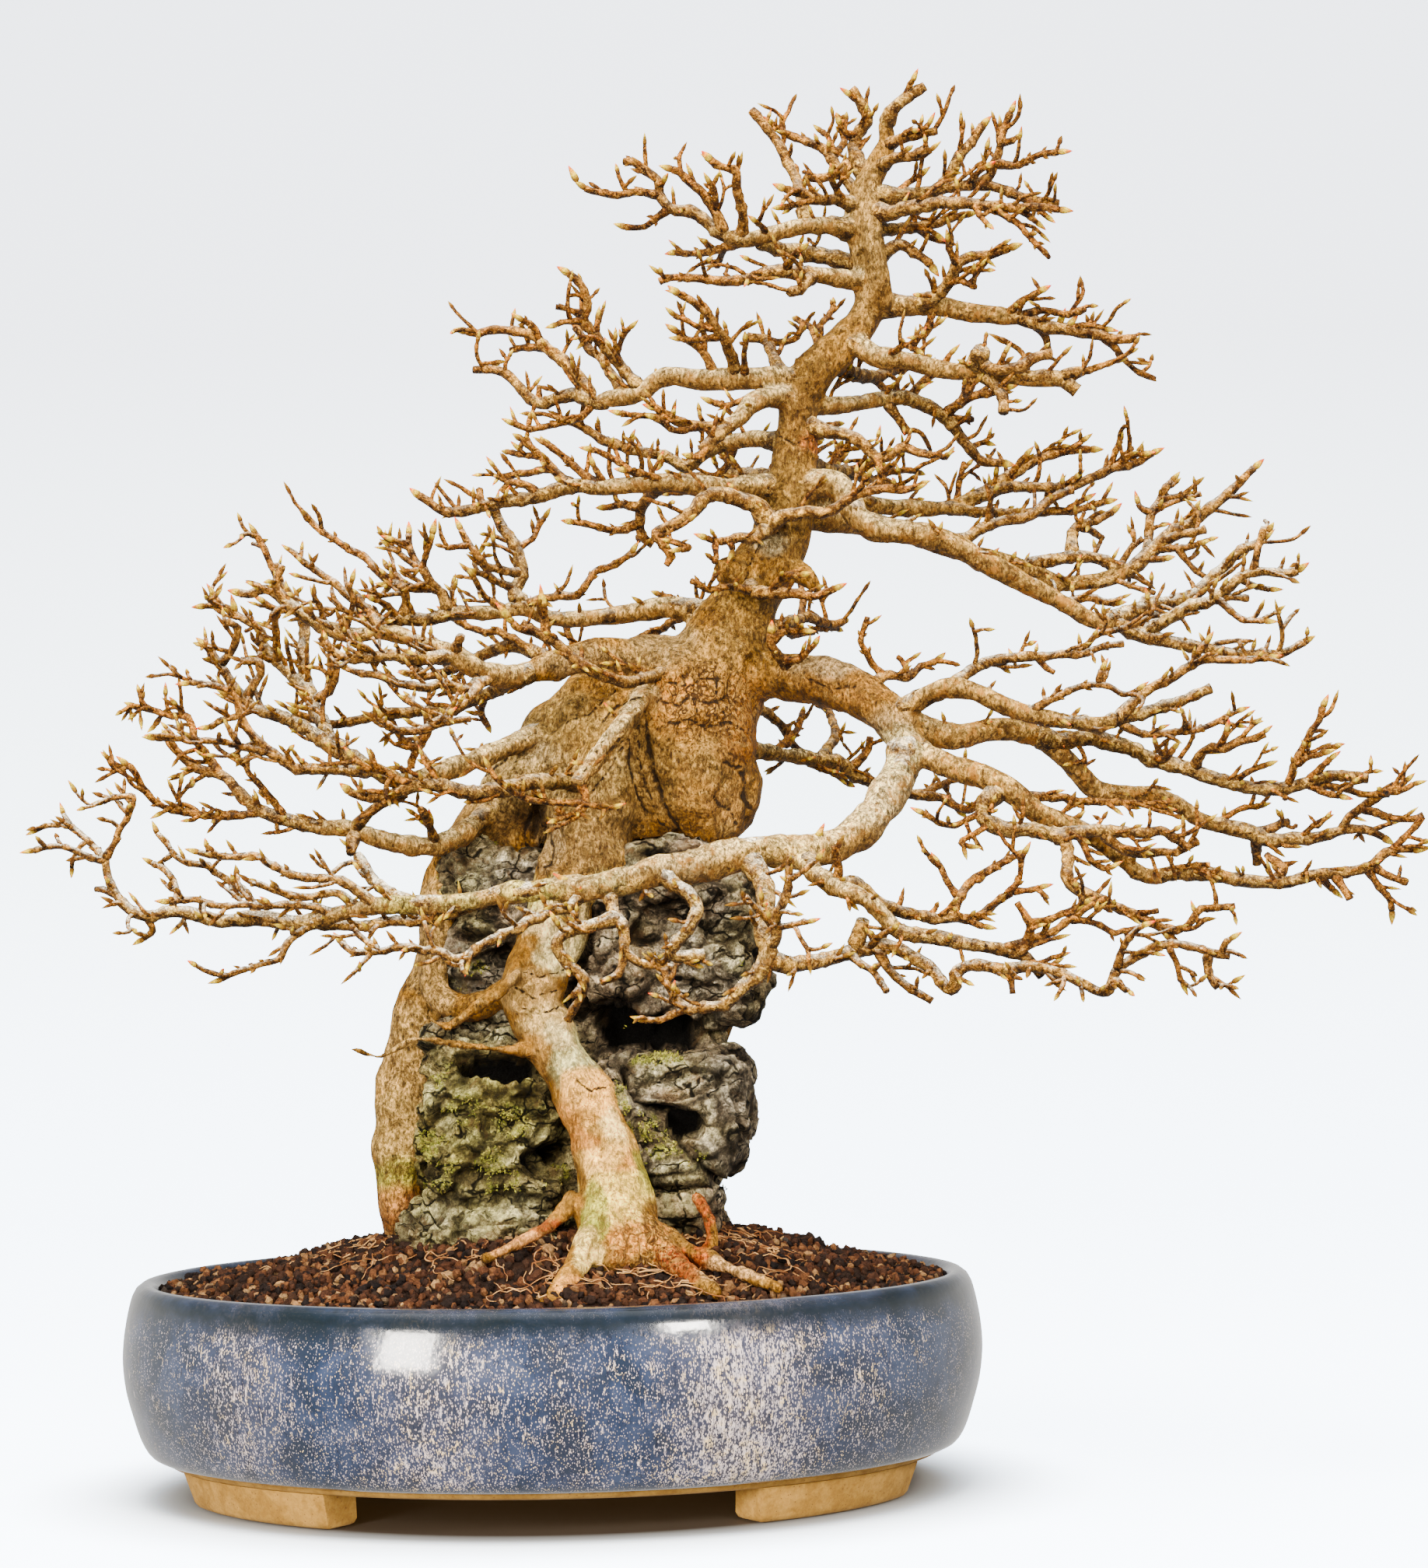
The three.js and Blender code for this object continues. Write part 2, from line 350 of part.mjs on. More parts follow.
    [[-48], [1.6, 1.3], BUD, [154, 481, 159, 488, 164, 495]],
    [[-42], [1.5, 1.3], BUD, [58, 463, 72, 457, 62, 456]],
  ]],
  ['branch_left_drop', 'column', [
    [[-14, -26, -32], [6, 5.5, 5, 4.2, 3.4, 2.8], CUT, [126, 530, 112, 531.5, 104, 528, 99, 522,
      92, 517, 86, 512, 81, 506]],
    [[-30, -34], [3, 2.4, 1.6], BUD, [95, 519, 85, 517, 76, 519, 67, 521, 59, 526, 51, 529]],
    [[-40], [1.6, 1.3], BUD, [72, 520, 60, 523, 47, 524, 35, 526]],
    [[-42], [1.8, 1.4], BUD, [80, 518, 68, 516, 60, 520, 52, 524]],
    [[-40], [1.7, 1.4], BUD, [84, 510, 78, 503, 70, 504]],
    [[-20], [1.8, 1.4], BUD, [106, 532, 96, 529, 88, 528, 80, 532]],
  ]],
  ['branch_left_deep', 'column', [
    [[20, 30, 30, 26], [6, 4.6, 3.6, 3, 2.8, 2.5, 2.2, 1.8], CUT, [124, 508, 109, 511, 97, 510, 88, 508,
      79, 503, 71, 497, 62, 502, 52, 505, 42, 508, 32, 511, 24, 516, 15, 521, 8, 523]],
    [[34], [2, 1.4], BUD, [96, 510, 92, 498, 84, 492, 74, 490]],
    [[22], [1.6, 1.3], BUD, [60, 503, 58, 498, 56, 496]],
  ]],
  ['branch_left_high', 'column', [
    [[-6, -2, 4, 10, 16, 20], [7, 6, 5.4, 5, 4.6, 4.2, 3.4, 2.8, 2.3, 1.8], CUT, [130, 539, 114, 541,
      102, 541, 90, 541, 78, 541, 66, 543, 58, 541, 52, 536, 44, 533, 34, 532, 27, 530, 18, 534,
      10, 533, 2, 530, -5, 533, -11, 540, -20, 547, -33, 548]],
    [[20, 24], [3.2, 2.8, 2.2, 1.6], BUD, [26, 531, 20, 543, 11, 552, 3, 558, -3, 564, -12, 566,
      -24, 567, -32, 566, -42, 568]],
    [[14], [1.6, 1.3], BUD, [0, 561, -2, 567, -7, 571, -13, 575]],
    [[26], [1.8, 1.5], CUT, [3, 558, -6, 559, -15, 557]],
    [[28], [2.8, 2.4, 1.8], CUT, [42, 533, 34, 547, 26, 555, 22, 561, 18, 568]],
    [[2, -4], [3, 2.7, 2.2, 1.6], BUD, [51, 535, 42, 546, 34, 556, 27, 565, 22, 572, 24, 582, 20, 591,
      10, 598]],
    [[0], [1.4, 1.2], BUD, [28, 564, 29, 570, 30, 578]],
    [[-6], [1.6, 1.3], BUD, [23, 572, 13, 571, 3, 568]],
    [[2], [1.5, 1.3], CUT, [23, 574, 15, 576, 8, 578]],
    [[-8], [1.5, 1.2], BUD, [37, 551, 40, 560, 49, 571]],
    [[-4], [1.7, 1.3], BUD, [26, 530, 22, 525, 14, 521, 4, 519, -8, 518, -19, 523]],
    [[-22, -26], [2.8, 2.3, 1.6], BUD, [97, 541, 95, 552, 90, 563, 84, 573, 76, 580, 64, 588]],
    [[-30], [1.5, 1.2], BUD, [88, 566, 76, 568, 63, 577]],
    [[-12], [1.6, 1.3], BUD, [90, 562, 78, 561, 65, 562]],
    [[-10], [2.2, 1.5], BUD, [88, 541, 80, 555, 73, 561, 64, 568]],
    [[0], [1.5, 1.2], BUD, [81, 553, 82, 562, 80, 571]],
    [[-30], [1.7, 1.3], BUD, [102, 541, 101, 553, 102, 564]],
    [[14], [3.2, 2.7, 2.2], CUT, [120, 540, 116, 551, 112, 560, 104, 562]],
    [[18], [1.8, 1.5], CUT, [113, 559, 122, 560, 128, 563, 132, 569]],
    [[18], [1.5, 1.2], CUT, [-1, 531, 0, 539]],
  ]],
  ['branch_apex_left', 'leader', [
    [[-6, -10, -8, -4, 0, 4], [6, 5, 4.6, 4.1, 3.6, 3.1, 2.6, 2.2, 1.8], CUT, [160, 612, 148, 616,
      136, 617, 124, 615, 112, 612, 102, 610, 93, 612, 84, 619, 76, 624, 66, 627, 61, 633, 60, 640,
      54, 646, 48, 651, 43, 651]],
    [[-8], [1.9, 1.4], BUD, [61, 633, 50, 635, 38, 634, 27, 636, 19, 641]],
    [[6], [1.8, 1.4], BUD, [66, 626, 56, 620, 49, 618, 39, 619]],
    [[-8], [1.5, 1.2], BUD, [60, 637, 65, 644]],
    [[-16, -18], [2.6, 2.1, 1.5], BUD, [93, 612, 89, 623, 83, 633, 76, 639, 70, 645, 61, 648]],
    [[-24], [1.5, 1.2], BUD, [88, 625, 89, 633, 83, 644]],
    [[-30], [2.6, 2.3, 1.8], BUD, [101, 610, 102, 622, 100, 635, 99, 644, 92, 648, 83, 654]],
    [[12], [2.3, 1.8, 1.4], BUD, [104, 610, 90, 606, 78, 605, 64, 604]],
    [[16], [1.8, 1.6], CUT, [92, 607, 89, 597]],
    [[8, 12], [3.2, 2.7, 2.3, 2.1], CUT, [134, 617, 130, 632, 127, 645, 120, 658, 113, 668, 107, 675]],
    [[-24], [1.5, 1.2], BUD, [114, 613, 111, 617, 105, 622]],
    [[6, 4], [3.4, 4, 4.6], CUT, [108, 611, 120, 605, 135, 603, 148, 600, 159, 596]],
  ]],
  ['branch_apex_left_low', 'leader', [
    [[-14, -22, -26], [5.5, 4.6, 3.8, 3, 2.4, 2, 1.7], CUT, [164, 588, 152, 590, 140, 592, 128, 594,
      116, 594, 104, 591, 92, 590, 78, 592, 68, 592, 60, 590]],
    [[-28], [2.8, 2.6], CUT, [137, 592, 131, 587, 125, 584]],
    [[-30], [1.8, 1.4], BUD, [122, 594, 126, 602, 134, 608]],
  ]],
  ['branch_apex_back_left', 'leader', [
    [[8, 14], [3.4, 3, 2.4, 1.8, 1.4], BUD, [164, 627, 156, 638, 148, 648, 142, 655, 134, 659, 125, 663,
      114, 671]],
    [[18], [1.5, 1.2], BUD, [149, 653, 145, 660, 138, 667]],
    [[32], [1.8, 1.4], BUD, [150, 652, 153, 659, 152, 664, 149, 673]],
    [[0], [2.4, 2.2], CUT, [156, 648, 150, 641, 141, 640, 133, 641]],
  ]],
  ['branch_apex_front_left', 'leader', [
    [[-14, -20], [3.4, 2.8, 2.2, 1.5], BUD, [160, 624, 150, 630, 142, 629, 134, 632, 126, 634,
      117, 638]],
    [[-26], [1.6, 1.3], BUD, [141, 629, 130, 628, 117, 626]],
    [[-24], [1.7, 1.3], BUD, [152, 629, 148, 637, 146, 647]],
  ]],
  ['branch_top_left', 'leader', [
    [[4, 6, 4], [3.6, 3.2, 2.8, 2.3], CUT, [164, 640, 159, 650, 160, 661, 165, 670, 162, 677,
      157, 684]],
    [[0], [1.5, 1.2], BUD, [160, 679, 152, 685]],
    [[-4], [1.6, 1.3], BUD, [160, 661, 152, 664, 149, 672]],
  ]],
  ['branch_top', 'leader', [
    [[-4, -4], [3.4, 2.9, 2.4], CUT, [173, 664, 177, 673, 184, 680, 194, 686]],
    [[-8], [1.5, 1.2], BUD, [183, 679, 190, 694]],
  ]],
  ['branch_top_right', 'leader', [
    [[-12, -12], [2.6, 2.2, 1.8], CUT, [173, 656, 180, 659, 188, 661, 199, 663]],
    [[-16], [1.5, 1.2], BUD, [188, 661, 193, 665, 198, 672]],
    [[-20], [1.5, 1.2], BUD, [179, 659, 184, 662, 190, 664]],
  ]],
  ['branch_top_right_low', 'leader', [
    [[-14, -20], [2.8, 2.4, 2], CUT, [169, 645, 178, 649, 186, 651, 194, 655]],
    [[-16], [1.6, 1.2], BUD, [184, 650, 192, 651, 201, 658]],
    [[-24], [1.5, 1.2], BUD, [177, 649, 182, 653, 187, 656]],
  ]],
  ['branch_apex_right', 'leader', [
    [[-4, -6, -4], [4.2, 3.8, 3.2, 2.6, 1.7], BUD, [164, 633, 178, 631, 190, 632, 200, 634, 206, 643,
      211, 652, 218, 661, 226, 670]],
    [[-18, -20], [2.8, 2.5, 2, 1.4], BUD, [195, 632, 208, 635, 218, 637, 225, 641, 228, 648, 230, 656,
      233, 665, 238, 677]],
    [[-28], [1.8, 1.3], BUD, [228, 646, 238, 646, 250, 650, 265, 652]],
    [[-14], [1.5, 1.2], BUD, [231, 656, 236, 658, 241, 661]],
    [[-22], [2.6, 2.3, 2], CUT, [218, 637, 230, 634, 243, 628, 259, 626]],
    [[-28], [1.5, 1.2], BUD, [243, 628, 250, 622, 256, 617]],
    [[4], [1.8, 1.4], BUD, [177, 631, 186, 638, 195, 645]],
    [[-26], [1.7, 1.3], BUD, [214, 637, 220, 642, 227, 647]],
  ]],
  ['branch_apex_right_low', 'twin_leader', [
    [[-18, -34, -40, -38], [4, 3.5, 3, 2.5, 2, 1.5], BUD, [166, 624, 176, 622, 188, 625, 200, 627,
      212, 627, 224, 625, 236, 624, 248, 624, 266, 622]],
    [[-46], [1.8, 1.2], CUT, [220, 626, 230, 621, 240, 614, 247, 606, 253, 599]],
    [[-48], [1.5, 1.2], BUD, [217, 626, 221, 619, 226, 614]],
    [[-32], [1.5, 1.2], BUD, [239, 624, 246, 618, 252, 613]],
  ]],
  ['branch_apex_right_back', 'leader', [
    [[12, 18], [3.3, 2.8, 2.2, 1.5], BUD, [163, 614, 178, 615, 190, 615, 202, 618, 218, 622]],
    [[22], [1.5, 1.2], BUD, [188, 615, 197, 609, 208, 606]],
    [[10], [1.5, 1.2], BUD, [184, 615, 194, 614, 201, 609]],
  ]],
  ['branch_right_hook', 'leader', [
    [[-6, -8, -8], [3.4, 2.9, 2.2, 1.5], BUD, [166, 598, 172, 603, 180, 607, 187, 604, 194, 597,
      199, 590]],
  ]],
  ['branch_right_high', 'column', [
    [[0, -4, -8, -10, -10], [7, 6, 5.2, 4.8, 4.2, 3.4, 2.8, 2.4, 2], CUT, [164, 577, 184, 576, 196, 576,
      210, 573, 224, 571, 238, 569, 250, 566, 262, 563, 275, 560, 286, 558, 296, 558]],
    [[-20, -24], [3.8, 3, 2.4, 1.6], BUD, [186, 577, 198, 581, 204, 588, 208, 596, 216, 600, 228, 602,
      240, 606]],
    [[-26], [1.6, 1.3], BUD, [208, 596, 204, 604, 203, 613]],
    [[-26], [1.7, 1.5], CUT, [204, 587, 210, 588, 217, 586]],
    [[-4], [1.6, 1.2], CUT, [279, 559, 288, 550, 296, 542, 305, 538]],
    [[-20], [2, 1.4], BUD, [231, 570, 240, 577, 246, 580, 254, 585]],
    [[-22], [2, 1.6], CUT, [238, 569, 250, 573, 262, 571, 271, 573]],
    [[4], [2, 1.7], CUT, [245, 567, 250, 560, 252, 552]],
    [[-16], [1.5, 1.2], BUD, [262, 563, 272, 565, 286, 562]],
    [[-4], [1.6, 1.3], CUT, [197, 576, 193, 567, 190, 559]],
  ]],
  ['branch_right_shelf', 'column', [
    [[-12, -22, -28, -28], [6.5, 5.6, 5.2, 5, 4.8, 4.2, 3.7, 3.2], CUT, [148, 556, 158, 557, 167, 551,
      180, 549, 195, 545, 208, 543, 220, 543, 232, 540, 246, 538, 258, 538, 266, 533]],
    [[-32], [4.2, 3.8], CUT, [216, 544, 219, 554]],
    [[-36, -34], [3, 2.8, 2.6], CUT, [219, 546, 228, 543, 238, 545, 246, 549, 254, 550]],
    [[-30], [2.8, 2.4], CUT, [256, 538, 263, 541, 268, 540]],
    [[-24], [1.8, 1.3], BUD, [260, 538, 275, 543, 291, 548]],
    [[-34], [3, 2.6], CUT, [217, 543, 224, 536, 229, 529, 229, 522]],
    [[-22], [2.6, 2], CUT, [213, 543, 213, 535, 208, 527]],
    [[-38], [1.5, 1.2], BUD, [227, 543, 230, 549, 234, 557]],
    [[-22], [1.5, 1.2], BUD, [199, 545, 203, 550, 208, 556]],
    [[-34], [1.6, 1.3], BUD, [172, 550, 180, 556, 190, 552]],
  ]],
  ['branch_right_under', 'column', [
    [[14, 24, 28, 28], [5.5, 4.4, 4, 3.7, 3.3, 2.8, 2.2, 1.7], BUD, [129, 528, 145, 527, 158, 528,
      170, 530, 181, 530, 191, 526, 199, 521, 205, 515, 210, 507, 216, 500, 224, 497, 234, 496]],
    [[22], [2.4, 1.9], CUT, [171, 530, 176, 521, 182, 512]],
    [[18], [2.4, 1.9, 1.4], BUD, [199, 521, 208, 527, 216, 530, 226, 533, 237, 536]],
    [[32], [1.8, 1.5], CUT, [201, 520, 214, 519]],
    [[36], [1.4, 1.2], BUD, [212, 504, 218, 507, 225, 506]],
    [[32], [2.2, 1.8], CUT, [183, 530, 189, 537, 197, 543]],
  ]],
  ['branch_right_slip', 'column', [
    [[-16, -24], [4.2, 3.2, 2.6, 2.2, 1.6], CUT, [127, 520, 141, 514, 152, 512, 159, 508, 166, 501,
      172, 502, 180, 506, 187, 503, 198, 502]],
    [[-26], [1.5, 1.3], CUT, [166, 501, 168, 494, 167, 487]],
  ]],
  ['branch_right_grey', 'column', [
    [[-18, -22, -18, -14, -12, -10, -8], [7, 6.8, 6.4, 6, 5.6, 5, 4.3, 3.6, 3, 2.4, 1.6], BUD, [
      122, 484, 136, 488, 147, 487, 152, 480, 156, 471, 165, 465, 176, 464, 188, 462, 198, 459,
      207, 455, 216, 449, 228, 443, 240, 436, 252, 430, 262, 424, 272, 418, 284, 416, 298, 410,
      312, 407, 326, 404, 340, 401, 354, 400, 367, 402, 380, 408]],
    [[0, 4], [4, 3.6, 3.2, 2.4, 1.6], BUD, [277, 417, 288, 421, 300, 426, 314, 427, 323, 431, 330, 438,
      337, 444, 346, 452, 355, 456, 362, 465]],
    [[-20, -24], [3, 2.8, 2.4, 1.8], BUD, [296, 411, 308, 418, 318, 423, 331, 427, 338, 433, 345, 439,
      354, 441, 366, 440, 379, 445]],
    [[-26], [1.8, 1.6], CUT, [351, 441, 354, 451, 357, 463]],
    [[-28], [1.6, 1.3], BUD, [333, 429, 341, 421, 349, 417, 363, 416]],
    [[-18], [1.5, 1.2], BUD, [344, 438, 353, 434, 365, 432]],
    [[-18], [1.8, 1.5], CUT, [331, 427, 340, 428, 349, 428]],
    [[-4], [2, 1.5], BUD, [258, 427, 269, 430, 278, 427, 288, 427]],
    [[-2], [1.5, 1.3], CUT, [289, 414, 297, 418, 304, 422]],
  ]],
  ['branch_right_mid', 'column', [
    [[22, 24, 22, 18, 16, 14], [7, 6.4, 5.8, 5, 4.4, 3.9, 3.3, 2.6, 1.6], BUD, [122, 474, 142, 470,
      160, 468, 178, 464, 196, 458, 212, 452, 230, 447, 244, 443, 254, 437, 266, 437, 280, 439,
      292, 444, 302, 452, 310, 460, 322, 467, 333, 474, 343, 483, 350, 490, 357, 496]],
    [[26], [3.6, 3.2, 3], CUT, [238, 445, 252, 449, 268, 450, 278, 447, 285, 441]],
    [[30], [3, 2.4, 1.5], BUD, [262, 450, 263, 463, 272, 467, 280, 470, 287, 476]],
    [[36], [1.8, 1.6], CUT, [266, 465, 272, 463, 277, 459]],
    [[24, 26], [2.4, 2, 1.5], BUD, [299, 450, 301, 460, 302, 470, 306, 478, 316, 491]],
    [[22], [1.5, 1.2], BUD, [302, 471, 296, 474, 294, 481]],
    [[30], [1.4, 1.2], CUT, [303, 473, 313, 476, 326, 480]],
    [[32], [1.5, 1.2], BUD, [306, 478, 315, 479, 325, 481]],
    [[6], [2.2, 2], CUT, [305, 455, 316, 460, 328, 462]],
    [[2], [1.8, 1.3], BUD, [303, 453, 316, 454, 331, 457]],
    [[20], [1.6, 1.3], BUD, [312, 461, 319, 468, 326, 477]],
    [[10], [1.6, 1.2], CUT, [314, 454, 320, 446, 327, 438]],
    [[8], [1.4, 1.2], CUT, [281, 440, 290, 435, 302, 431]],
    [[24], [1.7, 1.4], CUT, [284, 442, 290, 452, 298, 459]],
    [[10], [1.7, 1.3], BUD, [298, 448, 304, 448, 312, 449]],
    [[32, 36], [3, 2.6, 1.8], CUT, [200, 457, 214, 463, 228, 468, 240, 470, 250, 478, 264, 483]],
  ]],
  ['branch_right_upper', 'column', [
    [[34, 44, 48, 48], [6.5, 5.2, 4.6, 4.2, 3.6, 3, 2.2, 1.5], BUD, [124, 486, 142, 480, 158, 478,
      174, 476, 190, 475, 204, 476, 218, 482, 230, 489, 242, 496, 254, 501, 265, 503, 278, 503]],
    [[44], [1.6, 1.3], BUD, [256, 502, 265, 505, 272, 510]],
    [[42], [1.7, 1.3], BUD, [232, 490, 238, 498, 244, 505]],
    [[40, 36], [3, 2.6, 2.2, 1.5], BUD, [212, 479, 228, 484, 242, 485, 258, 484, 270, 488, 281, 493,
      293, 496, 308, 503]],
    [[38], [1.6, 1.3], BUD, [281, 493, 285, 502, 288, 513]],
    [[34], [1.6, 1.3], BUD, [285, 494, 292, 499, 303, 501]],
    [[46], [1.5, 1.3], CUT, [284, 494, 288, 499, 293, 503]],
    [[34], [1.6, 1.3], BUD, [257, 484, 263, 488, 269, 493]],
    [[44, 46], [2.8, 2.3, 1.5], BUD, [198, 475, 215, 473, 232, 472, 248, 472, 262, 473, 272, 475,
      285, 478]],
    [[42], [1.6, 1.3], BUD, [260, 473, 267, 478, 274, 481]],
    [[52], [1.5, 1.2], CUT, [205, 477, 207, 486, 209, 497]],
  ]],
  ['branch_right_cut', 'fork', [
    [[-44, -44, -40, -36], [6.2, 5.7, 5.1, 4.6, 4, 3.4, 2.9, 2.4], CUT, [170, 371, 182, 378, 192, 384,
      202, 386, 214, 383, 226, 377, 240, 372, 254, 369, 268, 367, 282, 368, 296, 372, 310, 376,
      320, 380, 329, 384]],
    [[-46, -48], [2.8, 2.4, 2, 1.5], BUD, [282, 368, 290, 376, 300, 384, 311, 389, 322, 397, 336, 397,
      350, 398, 363, 399]],
    [[-52], [1.6, 1.3], BUD, [321, 396, 325, 403, 330, 410]],
    [[-30, -30], [2, 1.7, 1.3], BUD, [283, 368, 289, 364, 298, 361, 312, 362, 324, 364, 336, 369,
      348, 374]],
    [[-50, -52], [2, 1.7, 1.3], BUD, [238, 373, 252, 380, 262, 385, 272, 387, 280, 385, 288, 381,
      298, 387]],
    [[-54], [1.5, 1.2], BUD, [274, 387, 275, 393, 278, 398]],
    [[-34, -30, -26], [3, 2.7, 2.3, 1.9, 1.6], CUT, [200, 386, 212, 395, 223, 400, 238, 401, 252, 401,
      264, 402, 276, 405, 287, 407]],
    [[-22], [1.6, 1.3], CUT, [262, 402, 272, 410, 286, 414, 304, 421]],
    [[-30], [1.5, 1.3], CUT, [243, 401, 247, 397, 252, 393]],
    [[-26], [1.5, 1.3], BUD, [220, 399, 225, 396, 230, 393]],
  ]],
  ['branch_fork_twigs', 'fork', [
    [[-16, -8], [2.6, 2, 1.4], BUD, [158, 384, 168, 392, 180, 392, 188, 397, 198, 403]],
    [[-8], [1.5, 1.2], CUT, [179, 392, 178, 397, 174, 401]],
    [[-22], [1.6, 1.3], CUT, [168, 392, 160, 402, 157, 411, 160, 421]],
  ]],
  ['branch_right_long', 'fork', [
    [[-28, -16, -6, 0, 0, -2], [7.5, 6.6, 6, 5.5, 5, 4.5, 4, 3.4, 2.6, 1.6], BUD, [168, 371, 182, 368,
      194, 363, 206, 362, 220, 365, 234, 364, 246, 359, 256, 351, 264, 342, 272, 334, 284, 332,
      298, 331, 312, 326, 322, 319, 334, 315, 346, 312, 356, 308, 368, 308, 382, 309, 395, 312,
      405, 311, 418, 305]],
    [[-14, -20, -22], [4.6, 4.2, 3.8, 3.6, 3.3, 2.9, 2.4], CUT, [240, 362, 256, 359, 270, 360, 284, 356,
      298, 350, 312, 346, 326, 340, 340, 336, 354, 334, 366, 334, 378, 338, 392, 340, 406, 338]],
    [[-26], [1.8, 1.5], BUD, [366, 334, 371, 347, 377, 358, 382, 367, 387, 379]],
    [[-28], [1.6, 1.3], BUD, [370, 345, 380, 349, 389, 352]],
    [[-28, -30], [2.4, 2, 1.9], CUT, [320, 343, 324, 352, 335, 354, 345, 357, 355, 361]],
    [[-34], [1.6, 1.3], BUD, [333, 354, 335, 361, 338, 368]],
    [[-30], [1.8, 1.3], BUD, [338, 337, 350, 343, 361, 347]],
    [[-12, -8], [1.9, 1.6, 1.3], BUD, [376, 337, 392, 333, 406, 330, 418, 332, 429, 340]],
    [[-16], [1.5, 1.2], BUD, [410, 331, 422, 332, 434, 336]],
    [[-28], [1.7, 1.3], BUD, [376, 337, 384, 345, 392, 351]],
    [[-30], [1.6, 1.3], BUD, [300, 350, 306, 350, 313, 357]],
    [[-36], [1.5, 1.2], BUD, [306, 350, 303, 354, 301, 360]],
    [[-10], [2.2, 1.8], CUT, [392, 312, 397, 319, 405, 326, 414, 331]],
    [[-14], [1.8, 1.6], CUT, [402, 323, 412, 320, 421, 317, 433, 319]],
    [[8], [2.2, 2], CUT, [348, 311, 357, 314, 366, 316]],
    [[8], [2.4, 2], CUT, [350, 310, 350, 303, 351, 296]],
    [[-8], [1.4, 1.2], BUD, [371, 308, 380, 315, 388, 320]],
    [[-24], [1.7, 1.3], BUD, [374, 336, 386, 330, 397, 328]],
    [[8], [1.6, 1.3], BUD, [330, 316, 343, 324, 356, 326]],
  ]],
  ['branch_right_low', 'branch_front_sweep', [
    [[-52, -48, -44, -42, -42], [6.6, 6.4, 6.2, 5.6, 5, 4.4, 3.8, 3.2, 2.8, 2.4, 1.6], BUD, [177, 362,
      187, 353, 200, 347, 213, 343, 224, 338, 234, 331, 243, 323, 254, 318, 264, 314, 274, 308,
      284, 300, 292, 293, 300, 291, 312, 293, 326, 292, 340, 289, 354, 287, 366, 287, 380, 291,
      394, 292, 406, 294, 416, 301, 433, 302]],
    [[-62, -60, -56], [4.2, 4, 3.7, 3.4, 3, 2.4, 1.8], CUT, [226, 337, 219, 330, 216, 322, 224, 317,
      236, 316, 249, 313, 262, 314, 276, 314, 290, 313, 302, 313, 311, 309, 317, 304]],
    [[-70, -72, -70], [3.2, 3, 2.8, 2.5, 2], CUT, [249, 313, 256, 309, 257, 300, 256, 292, 262, 285,
      274, 279, 288, 273, 302, 266, 309, 259]],
    [[-74], [2, 1.6], CUT, [303, 265, 314, 267, 322, 274, 339, 276]],
    [[-74], [1.5, 1.3], CUT, [289, 273, 302, 274]],
    [[-50], [2.6, 2.1, 1.8], CUT, [274, 314, 281, 307, 290, 303, 302, 303, 312, 304, 321, 309]],
    [[-64], [1.6, 1.3], BUD, [262, 313, 268, 300, 276, 295, 284, 299]],
    [[-44], [1.8, 1.6], CUT, [416, 301, 424, 309, 432, 318]],
    [[-46], [1.8, 1.6], CUT, [407, 295, 415, 289, 424, 286]],
    [[-38], [1.7, 1.4], BUD, [404, 294, 411, 284, 416, 276, 416, 266]],
    [[-46], [2, 1.9], CUT, [388, 292, 392, 284, 396, 278]],
    [[-38], [1.7, 1.3], BUD, [381, 291, 386, 284, 392, 279]],
    [[-48], [1.8, 1.5], CUT, [301, 291, 311, 295, 327, 297]],
    [[-40, -36], [2.2, 1.8, 1.3], BUD, [233, 332, 248, 331, 264, 329, 280, 328, 296, 327, 310, 324]],
    [[-34], [2.2, 1.8], CUT, [358, 287, 362, 294, 355, 302]],
    [[-60], [1.6, 1.3], BUD, [217, 325, 206, 320, 196, 319, 180, 327]],
    [[-62], [1.6, 1.3], BUD, [220, 319, 212, 314, 204, 309, 212, 307]],
  ]],
  ['branch_back_low', 'back_muscle', [
    [[44, 74, 96, 108], [5.5, 4.6, 4, 3.4, 2.6, 1.6], BUD, [76, 366, 92, 362, 106, 356, 124, 353,
      142, 350, 156, 342, 168, 336, 182, 333, 197, 331, 207, 322]],
    [[70, 88], [3.2, 2.6, 2, 1.5], BUD, [88, 363, 102, 376, 114, 372, 122, 360, 133, 352]],
    [[112], [2.8, 2.2, 1.6], BUD, [136, 351, 143, 364, 140, 376, 132, 381]],
    [[84], [2.2, 1.6], CUT, [150, 346, 158, 355, 160, 362]],
    [[118], [2, 1.4], BUD, [182, 333, 196, 338, 208, 346]],
    [[96], [1.8, 1.3], BUD, [196, 331, 208, 325, 216, 334]],
    [[84], [1.8, 1.4], BUD, [112, 355, 124, 366, 128, 378]],
    [[90], [1.8, 1.4], BUD, [124, 353, 138, 346, 152, 338]],
  ]],
  ['branch_back_mid', 'back_muscle', [
    [[48, 84, 112], [5, 4, 3.2, 2.4, 1.5], BUD, [82, 402, 96, 410, 112, 416, 128, 421, 142, 419,
      151, 421]],
    [[104], [1.8, 1.4], CUT, [127, 421, 129, 431, 127, 440]],
    [[118], [1.8, 1.3], BUD, [114, 417, 126, 413, 137, 416, 148, 415]],
    [[100, 124], [2.6, 2, 1.4], BUD, [100, 411, 88, 418, 74, 424, 58, 418, 44, 412]],
    [[112], [1.7, 1.3], BUD, [78, 422, 66, 432, 54, 436]],
  ]],
  ['branch_back_left', 'back_muscle', [
    [[60, 92, 112, 120], [5, 4.2, 3.4, 2.6, 1.5], BUD, [62, 384, 42, 390, 22, 400, 2, 404, -18, 410,
      -36, 404, -54, 396, -72, 398]],
